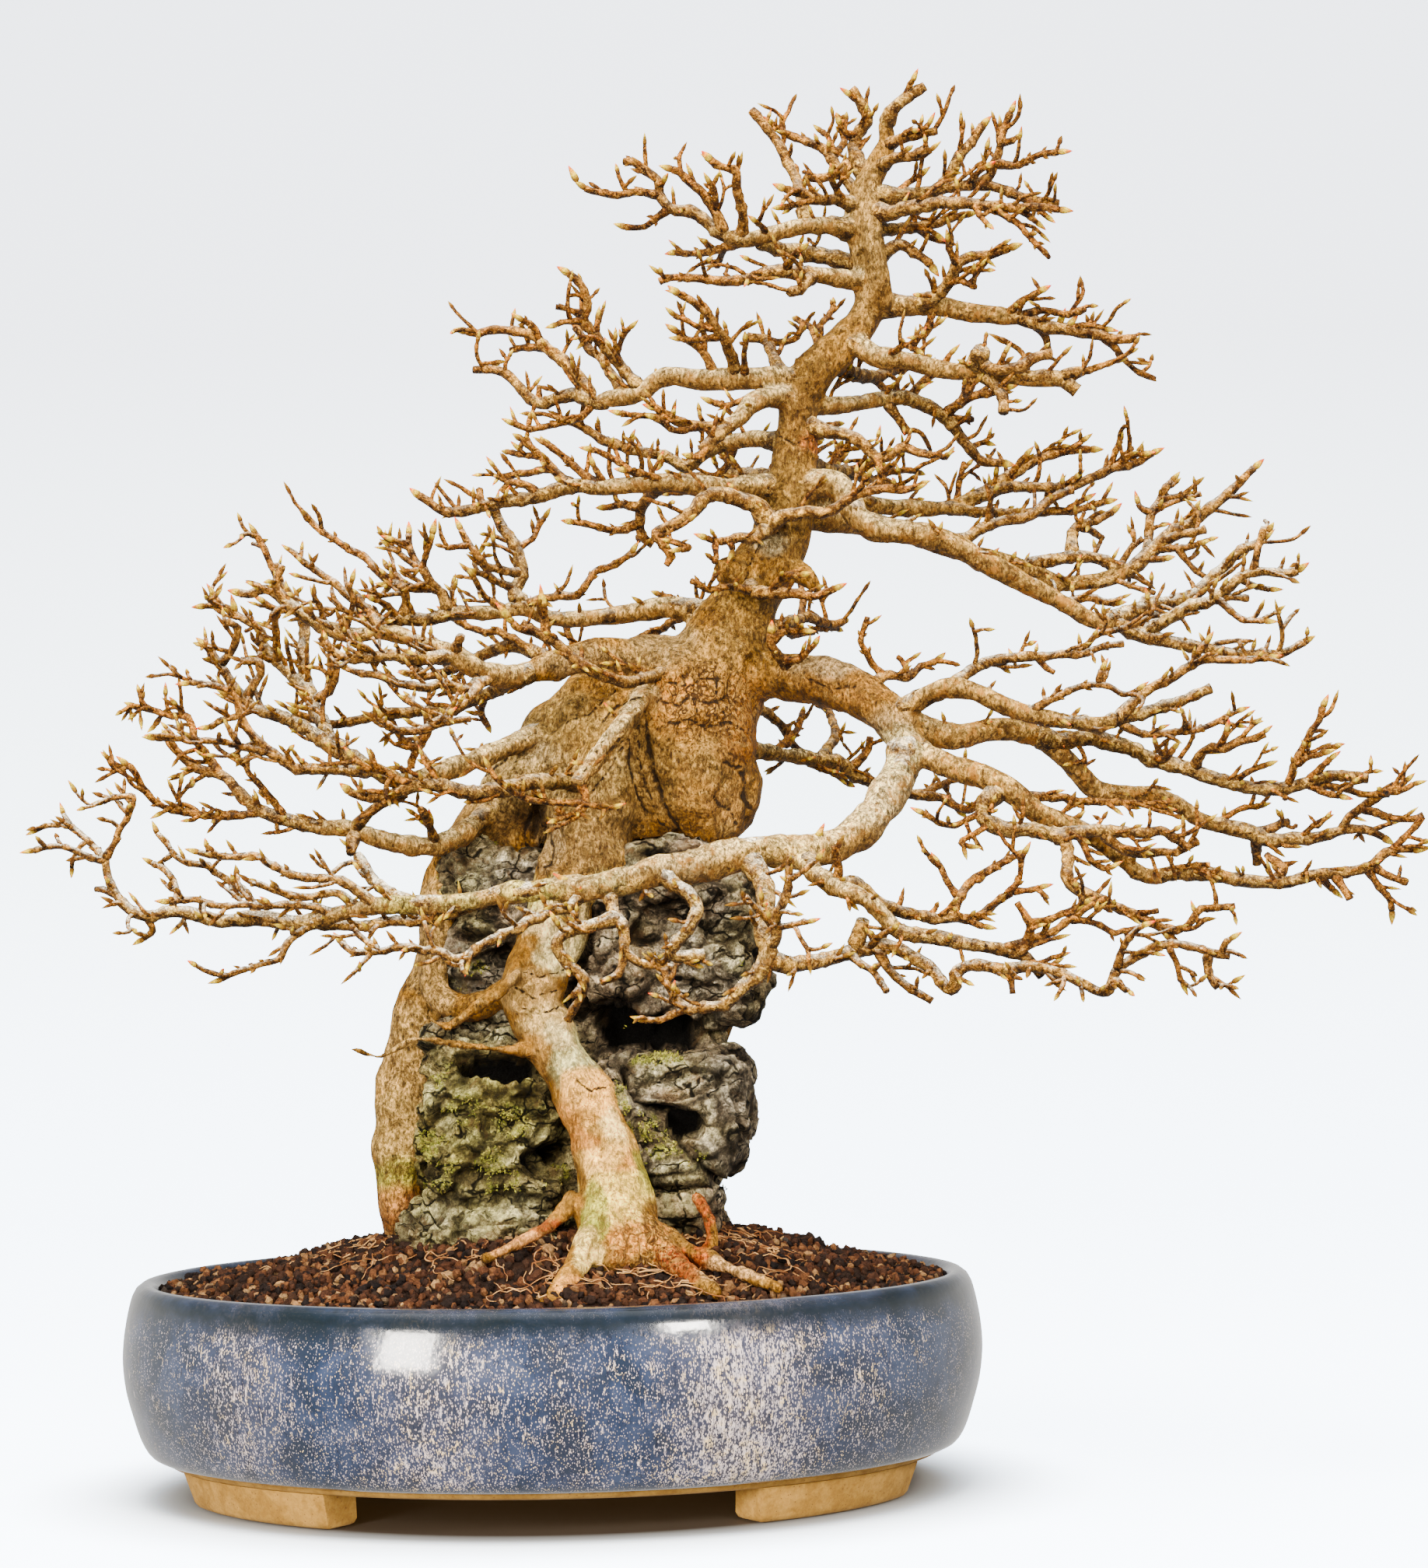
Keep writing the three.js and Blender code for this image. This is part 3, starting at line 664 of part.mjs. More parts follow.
    [[108], [2, 1.4], BUD, [-4, 405, -20, 416, -38, 420, -52, 430]],
    [[126], [1.8, 1.3], BUD, [-26, 408, -40, 398, -52, 386]],
    [[96], [2, 1.4], BUD, [26, 398, 14, 412, 10, 426]],
  ]],
  ['branch_back_upper', 'column', [
    [[34, 62, 86], [4.8, 3.8, 2.8, 1.5], BUD, [124, 490, 112, 492, 98, 494, 84, 492, 68, 494]],
    [[70], [1.8, 1.3], BUD, [98, 494, 90, 504, 78, 508]],
    [[88], [1.7, 1.3], BUD, [86, 492, 74, 486, 60, 484]],
    [[50, 78], [2.8, 2, 1.4], BUD, [114, 492, 124, 502, 138, 512, 150, 518]],
  ]],
  ['branch_back_right', 'column', [
    [[36, 66, 88], [4.2, 3.2, 2.4, 1.5], BUD, [126, 500, 136, 497, 150, 494, 165, 489, 181, 485]],
    [[72], [1.7, 1.3], BUD, [150, 494, 160, 497, 171, 497]],
    [[92], [1.7, 1.3], BUD, [164, 489, 178, 494, 190, 492]],
    [[84], [1.6, 1.3], CUT, [140, 496, 148, 500, 152, 506]],
  ]],
  ['branch_back_high', 'column', [
    [[30, 56, 74], [4.4, 3.4, 2.4, 1.5], BUD, [142, 549, 154, 543, 166, 541, 180, 545, 194, 551]],
    [[60], [1.8, 1.3], BUD, [164, 541, 174, 533, 188, 530]],
    [[40, 66], [2.6, 2, 1.4], BUD, [152, 544, 140, 556, 134, 566, 126, 571]],
    [[72], [1.6, 1.3], BUD, [136, 563, 144, 572, 146, 580]],
  ]],
  ['branch_front_twig', 'column', [
    [[-20], [3.6, 3.4], CUT, [103, 439, 104, 435]],
    [[-28, -36], [3, 2.4, 2, 1.4], BUD, [104, 435, 112, 434, 124, 434, 136, 433, 149, 438]],
    [[-40], [1.8, 1.4], BUD, [112, 434, 120, 442, 132, 444]],
    [[-36], [2, 1.5], CUT, [104, 435, 94, 438, 82, 436, 74, 441]],
  ]],
  ['branch_front_bud_shoot', 'fork', [
    [[-22, -26], [2.6, 2.2, 1.6], BUD, [124, 393, 116, 404, 112, 411, 113, 421]],
    [[-30], [1.8, 1.4], BUD, [113, 410, 120, 415, 134, 415]],
    [[-32], [1.6, 1.3], BUD, [119, 401, 128, 402, 136, 412]],
  ]],
];

// Limbs at least as thick as the first number at their foot get the first count of sides, and so on.
const LIMB_SIDES = [[5, 5], [0, 3]];
// Bends smaller than this are straightened.
const LIMB_SMOOTHING = 2.2;
// A limb starts this much thinner inside its host.
const LIMB_ROOT_TAPER = 0.35;
// A limb whose first point is farther than this from its host starts on the host and runs to it.
const LIMB_SNAP = 1.5;
// The depths in the table are spread by this much.
const DEPTH_SPREAD = 1.3;
// Twigs shorter than this are left out, unless a longer one grows on them.
const TWIG_SHORTEST = 35;
// A limb that ends in a bud is pointed, and thickest at BUD_BULGE of the way along the bud.
const BUD_LENGTH = 10;
const BUD_SHORTEST_STEM = 3;
const BUD_BULGE = 0.3;
const BUD_RADIUS = 2;

// Value at fraction t of a list whose entries are spread evenly from 0 to 1.
function spread(list, t) {
  if (list.length === 1) return list[0];
  const s = t * (list.length - 1);
  const i = Math.min(Math.floor(s), list.length - 2);
  return THREE.MathUtils.lerp(list[i], list[i + 1], s - i);
}

// How much larger a thing at this depth is than its outline on the upright middle plane.
const reach = (depth) => (depth - EYE.y) / -EYE.y;

function place(x, z, depth) {
  const k = reach(depth);
  return new THREE.Vector3(EYE.x + (x - EYE.x) * k, depth, EYE.z + (z + VIEW_RAISE - EYE.z) * k);
}

// Closed solid from any three.js geometry, without triangles that have no area.
function solidFrom(geometry) {
  const bare = geometry.clone();
  bare.deleteAttribute('normal');
  bare.deleteAttribute('uv');
  const merged = mergeVertices(bare, 1e-4);
  const index = merged.index.array;
  const triangles = [];
  for (let i = 0; i < index.length; i += 3) {
    const [a, b, c] = [index[i], index[i + 1], index[i + 2]];
    if (a !== b && b !== c && c !== a) triangles.push(a, b, c);
  }
  return new wasm.Manifold(new wasm.Mesh({
    numProp: 3,
    vertProperties: new Float32Array(merged.attributes.position.array),
    triVerts: new Uint32Array(triangles),
  }));
}

function geometryFrom(solid) {
  const mesh = solid.getMesh();
  const geometry = new THREE.BufferGeometry();
  geometry.setAttribute('position', new THREE.BufferAttribute(new Float32Array(mesh.vertProperties), 3));
  geometry.setIndex(new THREE.BufferAttribute(new Uint32Array(mesh.triVerts), 1));
  geometry.computeVertexNormals();
  return geometry;
}

const joined = (solids) => solids.reduce((whole, next) => whole.add(next));

// Cutting can free small scraps: only the largest body is kept.
function mainBody(solid) {
  return solid.decompose().reduce((best, next) => (next.volume() > best.volume() ? next : best));
}

// Closed tube through points, with a radius at each. A pointed tube ends in a tip at its last point.
function tube(points, radii, sides, pointed = false) {
  const fullness = Math.sqrt((2 * Math.PI) / (sides * Math.sin((2 * Math.PI) / sides)));
  const last = points.length - 1;
  const rings = pointed ? last : last + 1;
  const normal = new THREE.Vector3(0.3, -1, 0.2);
  const side = new THREE.Vector3();
  const position = [...points[0]];
  for (let i = 0; i < rings; i += 1) {
    const tangent = points[Math.min(i + 1, last)].clone().sub(points[Math.max(i - 1, 0)]).normalize();
    normal.addScaledVector(tangent, -normal.dot(tangent)).normalize();
    side.crossVectors(tangent, normal);
    for (let k = 0; k < sides; k += 1) {
      const angle = (2 * Math.PI * k) / sides;
      const p = points[i].clone()
        .addScaledVector(normal, radii[i] * fullness * Math.cos(angle))
        .addScaledVector(side, radii[i] * fullness * Math.sin(angle));
      position.push(p.x, p.y, p.z);
    }
  }
  position.push(...points[last]);
  const end = rings * sides + 1;
  const at = (ring, k) => 1 + ring * sides + (k % sides);
  const index = [];
  for (let k = 0; k < sides; k += 1) {
    index.push(0, at(0, k + 1), at(0, k), end, at(rings - 1, k), at(rings - 1, k + 1));
    for (let i = 0; i + 1 < rings; i += 1) {
      index.push(at(i, k), at(i, k + 1), at(i + 1, k + 1), at(i, k), at(i + 1, k + 1), at(i + 1, k));
    }
  }
  const geometry = new THREE.BufferGeometry();
  geometry.setAttribute('position', new THREE.Float32BufferAttribute(position, 3));
  geometry.setIndex(index);
  return solidFrom(geometry);
}

// Trunk and roots, made larger all round by grow where a clearance is wanted.
function trunkSolid(grow) {
  return joined(Object.values(TRUNK).map((rows) => {
    const thick = Math.max(...rows.map((row) => row[3])) > 7;
    const points = rows.map(([x, z, depth]) => place(x, z, depth));
    const radii = rows.map(([, , depth, radius]) => radius * reach(depth) + grow);
    return tube(points, radii, thick ? TRUNK_SIDES : ROOTLET_SIDES);
  }));
}

// A limb as samples of { x, z, depth, radius } on the front view.
function samplesOf(start, depths, radii, path) {
  const flat = [];
  for (let i = 0; i < path.length; i += 2) flat.push({ x: path[i], z: path[i + 1] });
  const foot = { x: start.x, z: start.z };
  if (Math.hypot(flat[0].x - foot.x, flat[0].z - foot.z) > LIMB_SNAP) flat.unshift(foot);
  else flat[0] = foot;
  const run = [0];
  for (let i = 1; i < flat.length; i += 1) {
    run.push(run[i - 1] + Math.hypot(flat[i].x - flat[i - 1].x, flat[i].z - flat[i - 1].z));
  }
  const total = run[run.length - 1];
  return flat.map((p, i) => ({
    ...p,
    run: run[i],
    depth: spread([start.depth, ...depths.map((depth) => depth * DEPTH_SPREAD)], run[i] / total),
    radius: spread(radii, run[i] / total),
  }));
}

// Nearest point on the front view of any of these limbs.
function nearestOn(limbs, x, z) {
  let best = { distance: Infinity };
  for (const limb of limbs) {
    for (let i = 0; i + 1 < limb.length; i += 1) {
      const [a, b] = [limb[i], limb[i + 1]];
      const [dx, dz] = [b.x - a.x, b.z - a.z];
      const t = THREE.MathUtils.clamp(((x - a.x) * dx + (z - a.z) * dz) / (dx * dx + dz * dz), 0, 1);
      const depth = THREE.MathUtils.lerp(a.depth, b.depth, t);
      const p = { limb, x: a.x + t * dx, z: a.z + t * dz, depth };
      p.distance = Math.hypot(p.x - x, p.z - z);
      if (p.distance < best.distance) best = p;
    }
  }
  return best;
}

// Leaves out samples that lie within the smoothing distance of a straight run.
function thinned(samples, tolerance) {
  const [first, last] = [samples[0], samples[samples.length - 1]];
  const chord = new THREE.Line3(first.point, last.point);
  let worst = { distance: 0 };
  samples.slice(1, -1).forEach((sample, i) => {
    const foot = chord.closestPointToPoint(sample.point, true, new THREE.Vector3());
    const distance = foot.distanceTo(sample.point);
    if (distance > worst.distance) worst = { distance, at: i + 1 };
  });
  if (worst.distance <= tolerance) return [first, last];
  return [
    ...thinned(samples.slice(0, worst.at + 1), tolerance),
    ...thinned(samples.slice(worst.at), tolerance).slice(1),
  ];
}

function limbSolid(samples, end, grow) {
  const spaced = samples.map((s) => ({
    point: place(s.x, s.z, s.depth), radius: s.radius * reach(s.depth) + grow,
  }));
  spaced[0].radius *= LIMB_ROOT_TAPER;
  const kept = thinned(spaced, LIMB_SMOOTHING);
  if (end === BUD) {
    const tip = kept.pop();
    const before = kept[kept.length - 1];
    const length = before.point.distanceTo(tip.point);
    if (length > BUD_LENGTH + BUD_SHORTEST_STEM) {
      kept.push({ point: tip.point.clone().lerp(before.point, BUD_LENGTH / length), radius: tip.radius });
    }
    const from = kept[kept.length - 1];
    const bulge = from.point.clone().lerp(tip.point, BUD_BULGE);
    kept.push({ point: bulge, radius: Math.max(BUD_RADIUS, from.radius) + grow }, tip);
  }
  const sides = LIMB_SIDES.find(([radius]) => samples[0].radius >= radius)[1];
  return tube(kept.map((s) => s.point), kept.map((s) => s.radius), sides, end === BUD);
}

// The thick limbs of the trunk as hosts, and every spray's limbs on their hosts.
const trunkTubes = Object.fromEntries(Object.entries(TRUNK).map(([name, rows]) => [
  name, rows.map(([x, z, depth, radius]) => ({ x, z, depth, radius })),
]));

const sprays = {};
for (const [name, anchor, limbs] of SPRAYS) {
  const grown = anchor in trunkTubes ? [trunkTubes[anchor]] : [sprays[anchor][0].samples];
  const made = [];
  for (const [depths, radii, end, path] of limbs) {
    const hosts = made.length ? made.map((limb) => limb.samples) : grown;
    const start = nearestOn(hosts, path[0], path[1]);
    const samples = samplesOf(start, depths, radii, path);
    const drawn = made.length === 0 || samples[samples.length - 1].run >= TWIG_SHORTEST;
    made.push({ samples, end, drawn, host: start.limb });
  }
  for (const limb of [...made].reverse()) {
    const host = made.find(({ samples }) => samples === limb.host);
    if (limb.drawn && host) host.drawn = true;
  }
  sprays[name] = made;
}

const spraySolid = (name, grow) => joined(sprays[name].filter(({ drawn }) => drawn)
  .map(({ samples, end }) => limbSolid(samples, end, grow)));

// Uneven lump of rock: a rounded box with its surface pushed in and out.
function lump([x, z, depth, halfX, halfY, halfZ, roughness, seed], grow) {
  const geometry = new THREE.IcosahedronGeometry(1, ROCK_DETAIL);
  const position = geometry.attributes.position;
  const centre = place(x, z, depth);
  const n = new THREE.Vector3();
  const power = (value, half) => Math.abs(value / half) ** ROCK_BOXINESS;
  for (let i = 0; i < position.count; i += 1) {
    n.fromBufferAttribute(position, i).normalize();
    const box = (power(n.x, halfX) + power(n.y, halfY) + power(n.z, halfZ)) ** (-1 / ROCK_BOXINESS);
    const wave = Math.sin(5.1 * n.x + 3.3 * n.z + seed) + Math.sin(6.7 * n.y - 4.1 * n.x + 2 * seed)
      + Math.sin(9.3 * n.z + 7.7 * n.y + 3 * seed);
    n.multiplyScalar(box * (1 + (roughness * wave) / 2) + grow * ROCK_GROWTH).add(centre);
    position.setXYZ(i, n.x, n.y, n.z);
  }
  return solidFrom(geometry);
}

const rockSolid = (grow) => joined(ROCK.map((row) => lump(row, grow)));

// Oval turned solid: the radius along Y is OVAL less than the radius along X.
const ovalDepth = (radius) => radius - OVAL * Math.min(1, radius / OVAL_START);

function ovalTurned(profile, shift = () => 0) {
  const geometry = new THREE.LatheGeometry(profile.map(([r, z]) => new THREE.Vector2(r, z)), POT_FACETS);
  const position = geometry.attributes.position;
  for (let i = 0; i < position.count; i += 1) {
    const [x, z, y] = [position.getX(i), position.getY(i), -position.getZ(i)];
    const radius = Math.hypot(x, y);
    const squashed = radius > 0 ? (y * ovalDepth(radius)) / radius : 0;
    position.setXYZ(i, x, squashed, z + shift(x, squashed, z, radius));
  }
  return solidFrom(geometry);
}

function footSolid(mirrorX, mirrorY) {
  const edge = (radius, degrees) => {
    const angle = THREE.MathUtils.degToRad(degrees);
    const [x, y] = [radius * Math.cos(angle), ovalDepth(radius) * Math.sin(angle)];
    return new THREE.Vector2(mirrorX * x, mirrorY * y);
  };
  const points = [];
  for (let k = 0; k <= FOOT.facets; k += 1) {
    points.push(edge(FOOT.outer, THREE.MathUtils.lerp(FOOT.from, FOOT.to, k / FOOT.facets)));
  }
  for (let k = FOOT.facets; k >= 0; k -= 1) {
    points.push(edge(FOOT.inner, THREE.MathUtils.lerp(FOOT.from, FOOT.to, k / FOOT.facets)));
  }
  const outline = new THREE.Shape(points);
  const geometry = new THREE.ExtrudeGeometry(outline, { depth: FOOT.height, bevelEnabled: false });
  const position = geometry.attributes.position;
  for (let i = 0; i < position.count; i += 1) {
    if (position.getZ(i) < FOOT.height / 2) {
      position.setXYZ(i, position.getX(i) * FOOT.taper, position.getY(i) * FOOT.taper, 0);
    }
  }
  return solidFrom(geometry);
}

function potSolid() {
  let pot = ovalTurned(POT_PROFILE);
  for (const mirrorX of [-1, 1]) {
    for (const mirrorY of [-1, 1]) pot = pot.add(footSolid(mirrorX, mirrorY));
    const hole = new THREE.CylinderGeometry(DRAIN.radius, DRAIN.radius, DRAIN.depth, DRAIN.facets);
    hole.rotateX(Math.PI / 2).translate(mirrorX * DRAIN.x, 0, DRAIN.middle);
    pot = pot.subtract(solidFrom(hole));
  }
  return pot;
}

const screenLevel = POT_PROFILE[POT_PROFILE.length - 1][1] + 0.3;

function screenSolid(x) {
  const { size, thickness, bars, bar } = SCREEN;
  const pitch = (size - bar) / (bars - 1);
  const strips = [];
  for (let i = 0; i < bars; i += 1) {
    const across = (bar - size) / 2 + pitch * i;
    strips.push(new THREE.BoxGeometry(size, bar, thickness).translate(0, across, 0));
    strips.push(new THREE.BoxGeometry(bar, size, thickness).translate(across, 0, 0));
  }
  return joined(strips.map((strip) => solidFrom(strip.translate(x, 0, screenLevel + thickness / 2))));
}

// The soil fills the pot up to its lip, round the roots, the rock and the two screens.
function soilSolid(trunkRoom, rockRoom) {
  const level = (fraction) => {
    const i = SOIL_HEIGHTS.findIndex(([at]) => at >= fraction);
    const [[a, low], [b, high]] = [SOIL_HEIGHTS[Math.max(i - 1, 0)], SOIL_HEIGHTS[Math.max(i, 1)]];
    return THREE.MathUtils.mapLinear(fraction, a, b, low, high);
  };
  const wall = POT_PROFILE.slice(-6).map(([r, z]) => [r - GAP, z + GAP]).reverse();
  const top = SOIL_RINGS.map((fraction) => [SOIL_EDGE * fraction, level(fraction)]).reverse();
  const profile = [[0, SOIL_FLOOR], [wall[1][0], SOIL_FLOOR], ...wall.slice(2), ...top, [0, level(0)]];
  const shift = (x, y, z, radius) => {
    if (z < SOIL_HEIGHTS[SOIL_HEIGHTS.length - 1][1] || radius > SOIL_EDGE - 0.5) return 0;
    const fall = x < 0 ? SOIL_LEFT_FALL * x * (1 - radius / SOIL_EDGE) : 0;
    return fall + (SOIL_ROUGH / 2) * (Math.sin(0.11 * x + 0.05 * y) + Math.sin(0.13 * y - 0.04 * x));
  };
  let soil = ovalTurned(profile, shift).subtract(rockRoom).subtract(trunkRoom);
  for (const x of [-DRAIN.x, DRAIN.x]) {
    const size = SCREEN.size + 2 * GAP;
    const pocket = new THREE.BoxGeometry(size, size, 2 * (SCREEN.thickness + GAP));
    pocket.translate(x, 0, screenLevel);
    soil = soil.subtract(solidFrom(pocket));
  }
  return mainBody(soil);
}

const look = (color, roughness) => new THREE.MeshStandardMaterial({ color, roughness, metalness: 0 });
const LOOKS = {
  bark: look(0x9a7b4c, 0.85),
  twig: look(0xb58a63, 0.8),
  stone: look(0x4d4a42, 0.95),
  earth: look(0x3a231a, 1),
  glaze: look(0x6f7f8e, 0.15),
  plastic: look(0x22262a, 0.6),
};

const pieces = new THREE.Group();
function addPiece(name, solid, material) {
  const mesh = new THREE.Mesh(geometryFrom(solid), material);
  mesh.name = name;
  pieces.add(mesh);
}

const trunkRoom = trunkSolid(GAP);
const rockRoom = rockSolid(GAP);
addPiece('pot', potSolid(), LOOKS.glaze);
addPiece('screen_left', screenSolid(-DRAIN.x), LOOKS.plastic);
addPiece('screen_right', screenSolid(DRAIN.x), LOOKS.plastic);
addPiece('soil', soilSolid(trunkRoom, rockRoom), LOOKS.earth);
addPiece('rock', mainBody(rockSolid(0).subtract(trunkRoom)), LOOKS.stone);
addPiece('trunk', mainBody(trunkSolid(0)), LOOKS.bark);
for (const [name, anchor] of SPRAYS) {
  let spray = spraySolid(name, 0).subtract(trunkRoom);
  if (anchor in sprays) spray = spray.subtract(spraySolid(anchor, GAP));
  addPiece(name, mainBody(spray), LOOKS.twig);
}

// The origin is the middle of the footprint of the whole, on the surface that the pot stands on.
const box = new THREE.Box3().setFromObject(pieces);
pieces.position.set(-(box.min.x + box.max.x) / 2, -(box.min.y + box.max.y) / 2, -box.min.z);

export default pieces;
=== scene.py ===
# Looks of a trident maple bonsai grown over a rock, in an oval glazed pot. Lengths in the tables are
# millimetres on the upright plane through the middle of the pot; everything built is in metres.
import math

import bmesh
import bpy
import numpy as np
from mathutils import Euler, Matrix, Vector, kdtree, noise


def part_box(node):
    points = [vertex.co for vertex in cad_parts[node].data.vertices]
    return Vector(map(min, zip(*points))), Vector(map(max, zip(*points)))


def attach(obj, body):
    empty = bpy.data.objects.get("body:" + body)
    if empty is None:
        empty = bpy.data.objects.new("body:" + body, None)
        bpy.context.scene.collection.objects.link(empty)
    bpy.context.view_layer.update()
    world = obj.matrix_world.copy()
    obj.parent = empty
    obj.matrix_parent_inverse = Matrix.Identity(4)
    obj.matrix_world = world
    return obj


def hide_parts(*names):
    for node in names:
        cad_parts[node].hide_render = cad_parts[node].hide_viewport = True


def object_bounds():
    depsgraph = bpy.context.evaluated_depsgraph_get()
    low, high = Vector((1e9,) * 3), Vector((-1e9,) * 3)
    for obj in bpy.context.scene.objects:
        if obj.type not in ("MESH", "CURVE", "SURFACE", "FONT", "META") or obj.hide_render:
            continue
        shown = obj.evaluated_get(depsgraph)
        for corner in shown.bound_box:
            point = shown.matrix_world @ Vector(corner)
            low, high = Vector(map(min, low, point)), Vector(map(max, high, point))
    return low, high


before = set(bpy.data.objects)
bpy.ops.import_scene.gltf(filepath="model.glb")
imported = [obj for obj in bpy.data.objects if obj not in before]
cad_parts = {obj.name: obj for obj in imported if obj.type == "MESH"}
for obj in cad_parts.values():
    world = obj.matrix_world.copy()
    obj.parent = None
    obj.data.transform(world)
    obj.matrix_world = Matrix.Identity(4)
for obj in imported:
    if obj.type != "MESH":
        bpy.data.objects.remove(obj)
cad_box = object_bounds()
scene = bpy.context.scene

MM = 0.001
# The camera stands at EYE. What the tables draw is raised a little, and its depths are stretched.
EYE = (83.0, -1750.0, 281.0)
VIEW_RAISE = 2.75
DEPTH_SPREAD = 1.3
# A path that starts this near to its host's middle line starts on it.
SAME_POINT = 1.5
# The pot's middle on the ground, in metres.
pot_low, pot_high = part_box("pot")
CENTRE = np.array([(pot_low.x + pot_high.x) / 2, (pot_low.y + pot_high.y) / 2, 0.0])

# The limbs of the solids and the finer twigs between them, in millimetres: trunk tubes of
# [x, z, depth, radius], and sprays of [node, what it grows from, limbs], where a limb is
# [depths, radii, end, path x z ...] and its depths and radii are spread evenly along the path.
TRUNK = {
  'column': [
    [76, 315, 2, 18], [78, 329, 0, 25], [76, 346, 0, 28], [76, 370, 2, 28], [84, 396, 4, 26],
    [93, 416, 4, 20], [101, 432, 3, 16.5], [109, 446, 2, 15.5], [117, 460, 1, 15],
    [121, 474, 0, 13.5], [124, 488, 0, 13], [126, 502, 0, 11.5], [126.5, 518, 0, 9.5],
    [129, 532, 0, 10], [137, 545, 0, 11], [149, 556, 1, 9.5], [160, 568, 2, 9], [166, 580, 2, 8],
  ],
  'leader': [
    [165, 574, 2, 8], [164, 594, 3, 8], [161, 608, 3, 8], [160, 622, 2, 8], [164, 636, 0, 7.5],
    [170, 648, 0, 6], [174, 658, 0, 4.6], [173, 668, 0, 3.6],
  ],
  'twin_leader': [
    [171, 574, -2, 5.5], [169, 590, -7, 5.6], [167, 605, -8, 5.6], [166, 621, -7, 5.2],
    [165, 634, -3, 4.5],
  ],
  'front_muscle': [
    [20, 303, -16, 21], [21, 318, -14, 22], [26, 335, -12, 21], [38, 355, -9, 22],
    [56, 376, -5, 24], [76, 398, 0, 20],
  ],
  'shoulder': [
    [78, 398, 8, 17], [50, 394, 8, 20], [24, 379, 8, 20], [4, 358, 8, 20], [-10, 340, 8, 19.5],
    [-27, 325, 8, 15.5], [-42, 310, 7, 12], [-51, 294, 6, 10],
  ],
  'middle_muscle': [[54, 374, -10, 15], [50, 352, -10, 16], [49, 332, -9, 14], [50, 314, -6, 9]],
  'back_muscle': [
    [58, 318, 24, 19], [62, 345, 28, 24], [66, 375, 26, 24], [80, 402, 18, 18], [95, 425, 9, 12],
  ],
  'left_knuckle': [[106, 446, 0, 9], [95, 446, -9, 7.5], [87, 445, -14, 6]],
  'right_knuckle': [[112, 448, 0, 9], [125, 445, -7, 6.4], [132, 440, -11, 4.6], [137, 434, -13, 2.4]],
  'fork': [
    [92, 398, 2, 15], [112, 394, -4, 12], [130, 391, -14, 11.5], [150, 386, -26, 11.5],
    [166, 376, -36, 11], [177, 363, -44, 9.5],
  ],
  'stub': [
    [62, 398, -4, 13], [40, 404, -12, 9.5], [20, 404, -20, 8.2], [4, 400, -27, 7.6], [-6, 397, -31, 6.4],
  ],
  'front_root': [
    [20, 316, -16, 22], [17, 300, -22, 21.5], [10, 289, -27, 19], [6, 280, -30, 17],
    [4, 269, -32, 16.5], [-1, 257, -33, 15.5], [-5, 248, -34, 16], [-8, 240, -35, 16.5],
    [-8, 231, -36, 15.5], [-3, 221, -38, 14], [4, 210, -41, 13], [10, 200, -43, 13.5],
    [16, 189, -46, 14.5], [21, 176, -48, 15.5], [26, 160, -51, 16.5], [30, 143, -56, 18],
    [32, 127, -64, 19.5], [35, 112, -74, 19], [37, 98, -84, 15],
  ],
  'front_toe': [
    [22, 122, -76, 9], [16, 111, -88, 7.5], [9, 101, -102, 6.5], [2, 92, -116, 5.5], [-3, 85, -126, 4.5],
  ],
  'front_rootlet': [
    [12, 138, -62, 5], [4, 130, -70, 3.8], [-5, 122, -76, 3.5], [-17, 116, -82, 3.2], [-34, 108, -90, 2.6],
  ],
  'red_root': [
    [42, 126, -70, 9], [53, 113, -82, 6.5], [62, 103, -96, 5.5], [72, 96, -108, 4.5], [82, 89, -120, 3.2],
  ],
  'tan_root': [
    [46, 122, -66, 7], [66, 111, -78, 4.6], [85, 103, -92, 4.2], [98, 97, -102, 3.8], [112, 91, -112, 3],
  ],
  'side_rootlet': [
    [38, 116, -74, 6], [54, 106, -68, 4], [68, 106, -62, 3.8], [78, 114, -60, 3.6], [76, 127, -57, 3.4],
    [70, 139, -50, 3],
  ],
  'front_shoot': [
    [-4, 246, -40, 5], [-14, 248, -50, 2.8], [-24, 240, -56, 2.6], [-36, 232, -60, 2.4], [-50, 223, -62, 2.2],
    [-60, 228, -62, 1.8],
  ],
  'front_twig': [
    [-3, 210, -40, 5], [-22, 211, -56, 2.6], [-46, 214, -66, 2.3], [-66, 217, -70, 2], [-83, 209, -71, 1.8],
    [-98, 213, -72, 1.4],
  ],
  'left_root': [
    [-51, 298, 6, 9.5], [-55, 280, 6, 8.8], [-56, 262, 8, 8.3], [-61, 242, 8, 10.5],
    [-65, 224, 8, 12.5], [-68, 208, 8, 13.5], [-71.5, 190, 8, 14.5], [-73, 170, 8, 14],
    [-75, 150, 9, 12], [-74, 134, 10, 10.5], [-72, 118, 12, 9.5], [-71, 102, 12, 8],
  ],
  'left_inner_root': [
    [-51, 292, -2, 8], [-55, 268, -6, 7], [-57, 250, -8, 7], [-54, 238, -14, 7],
    [-44, 232, -20, 7], [-32, 234, -27, 7], [-20, 241, -33, 7],
  ],
  'back_right_root': [
    [66, 334, 32, 15], [74, 300, 46, 12], [84, 262, 52, 10.5], [80, 222, 55, 10],
    [64, 182, 52, 11], [58, 142, 56, 12], [66, 104, 68, 9],
  ],
  'back_left_root': [
    [38, 356, 24, 19], [12, 330, 36, 13], [0, 302, 44, 11.5], [-8, 262, 47, 9.5], [4, 222, 47, 9.5],
    [-6, 182, 48, 10], [-26, 142, 54, 11], [-44, 104, 62, 9],
  ],
}

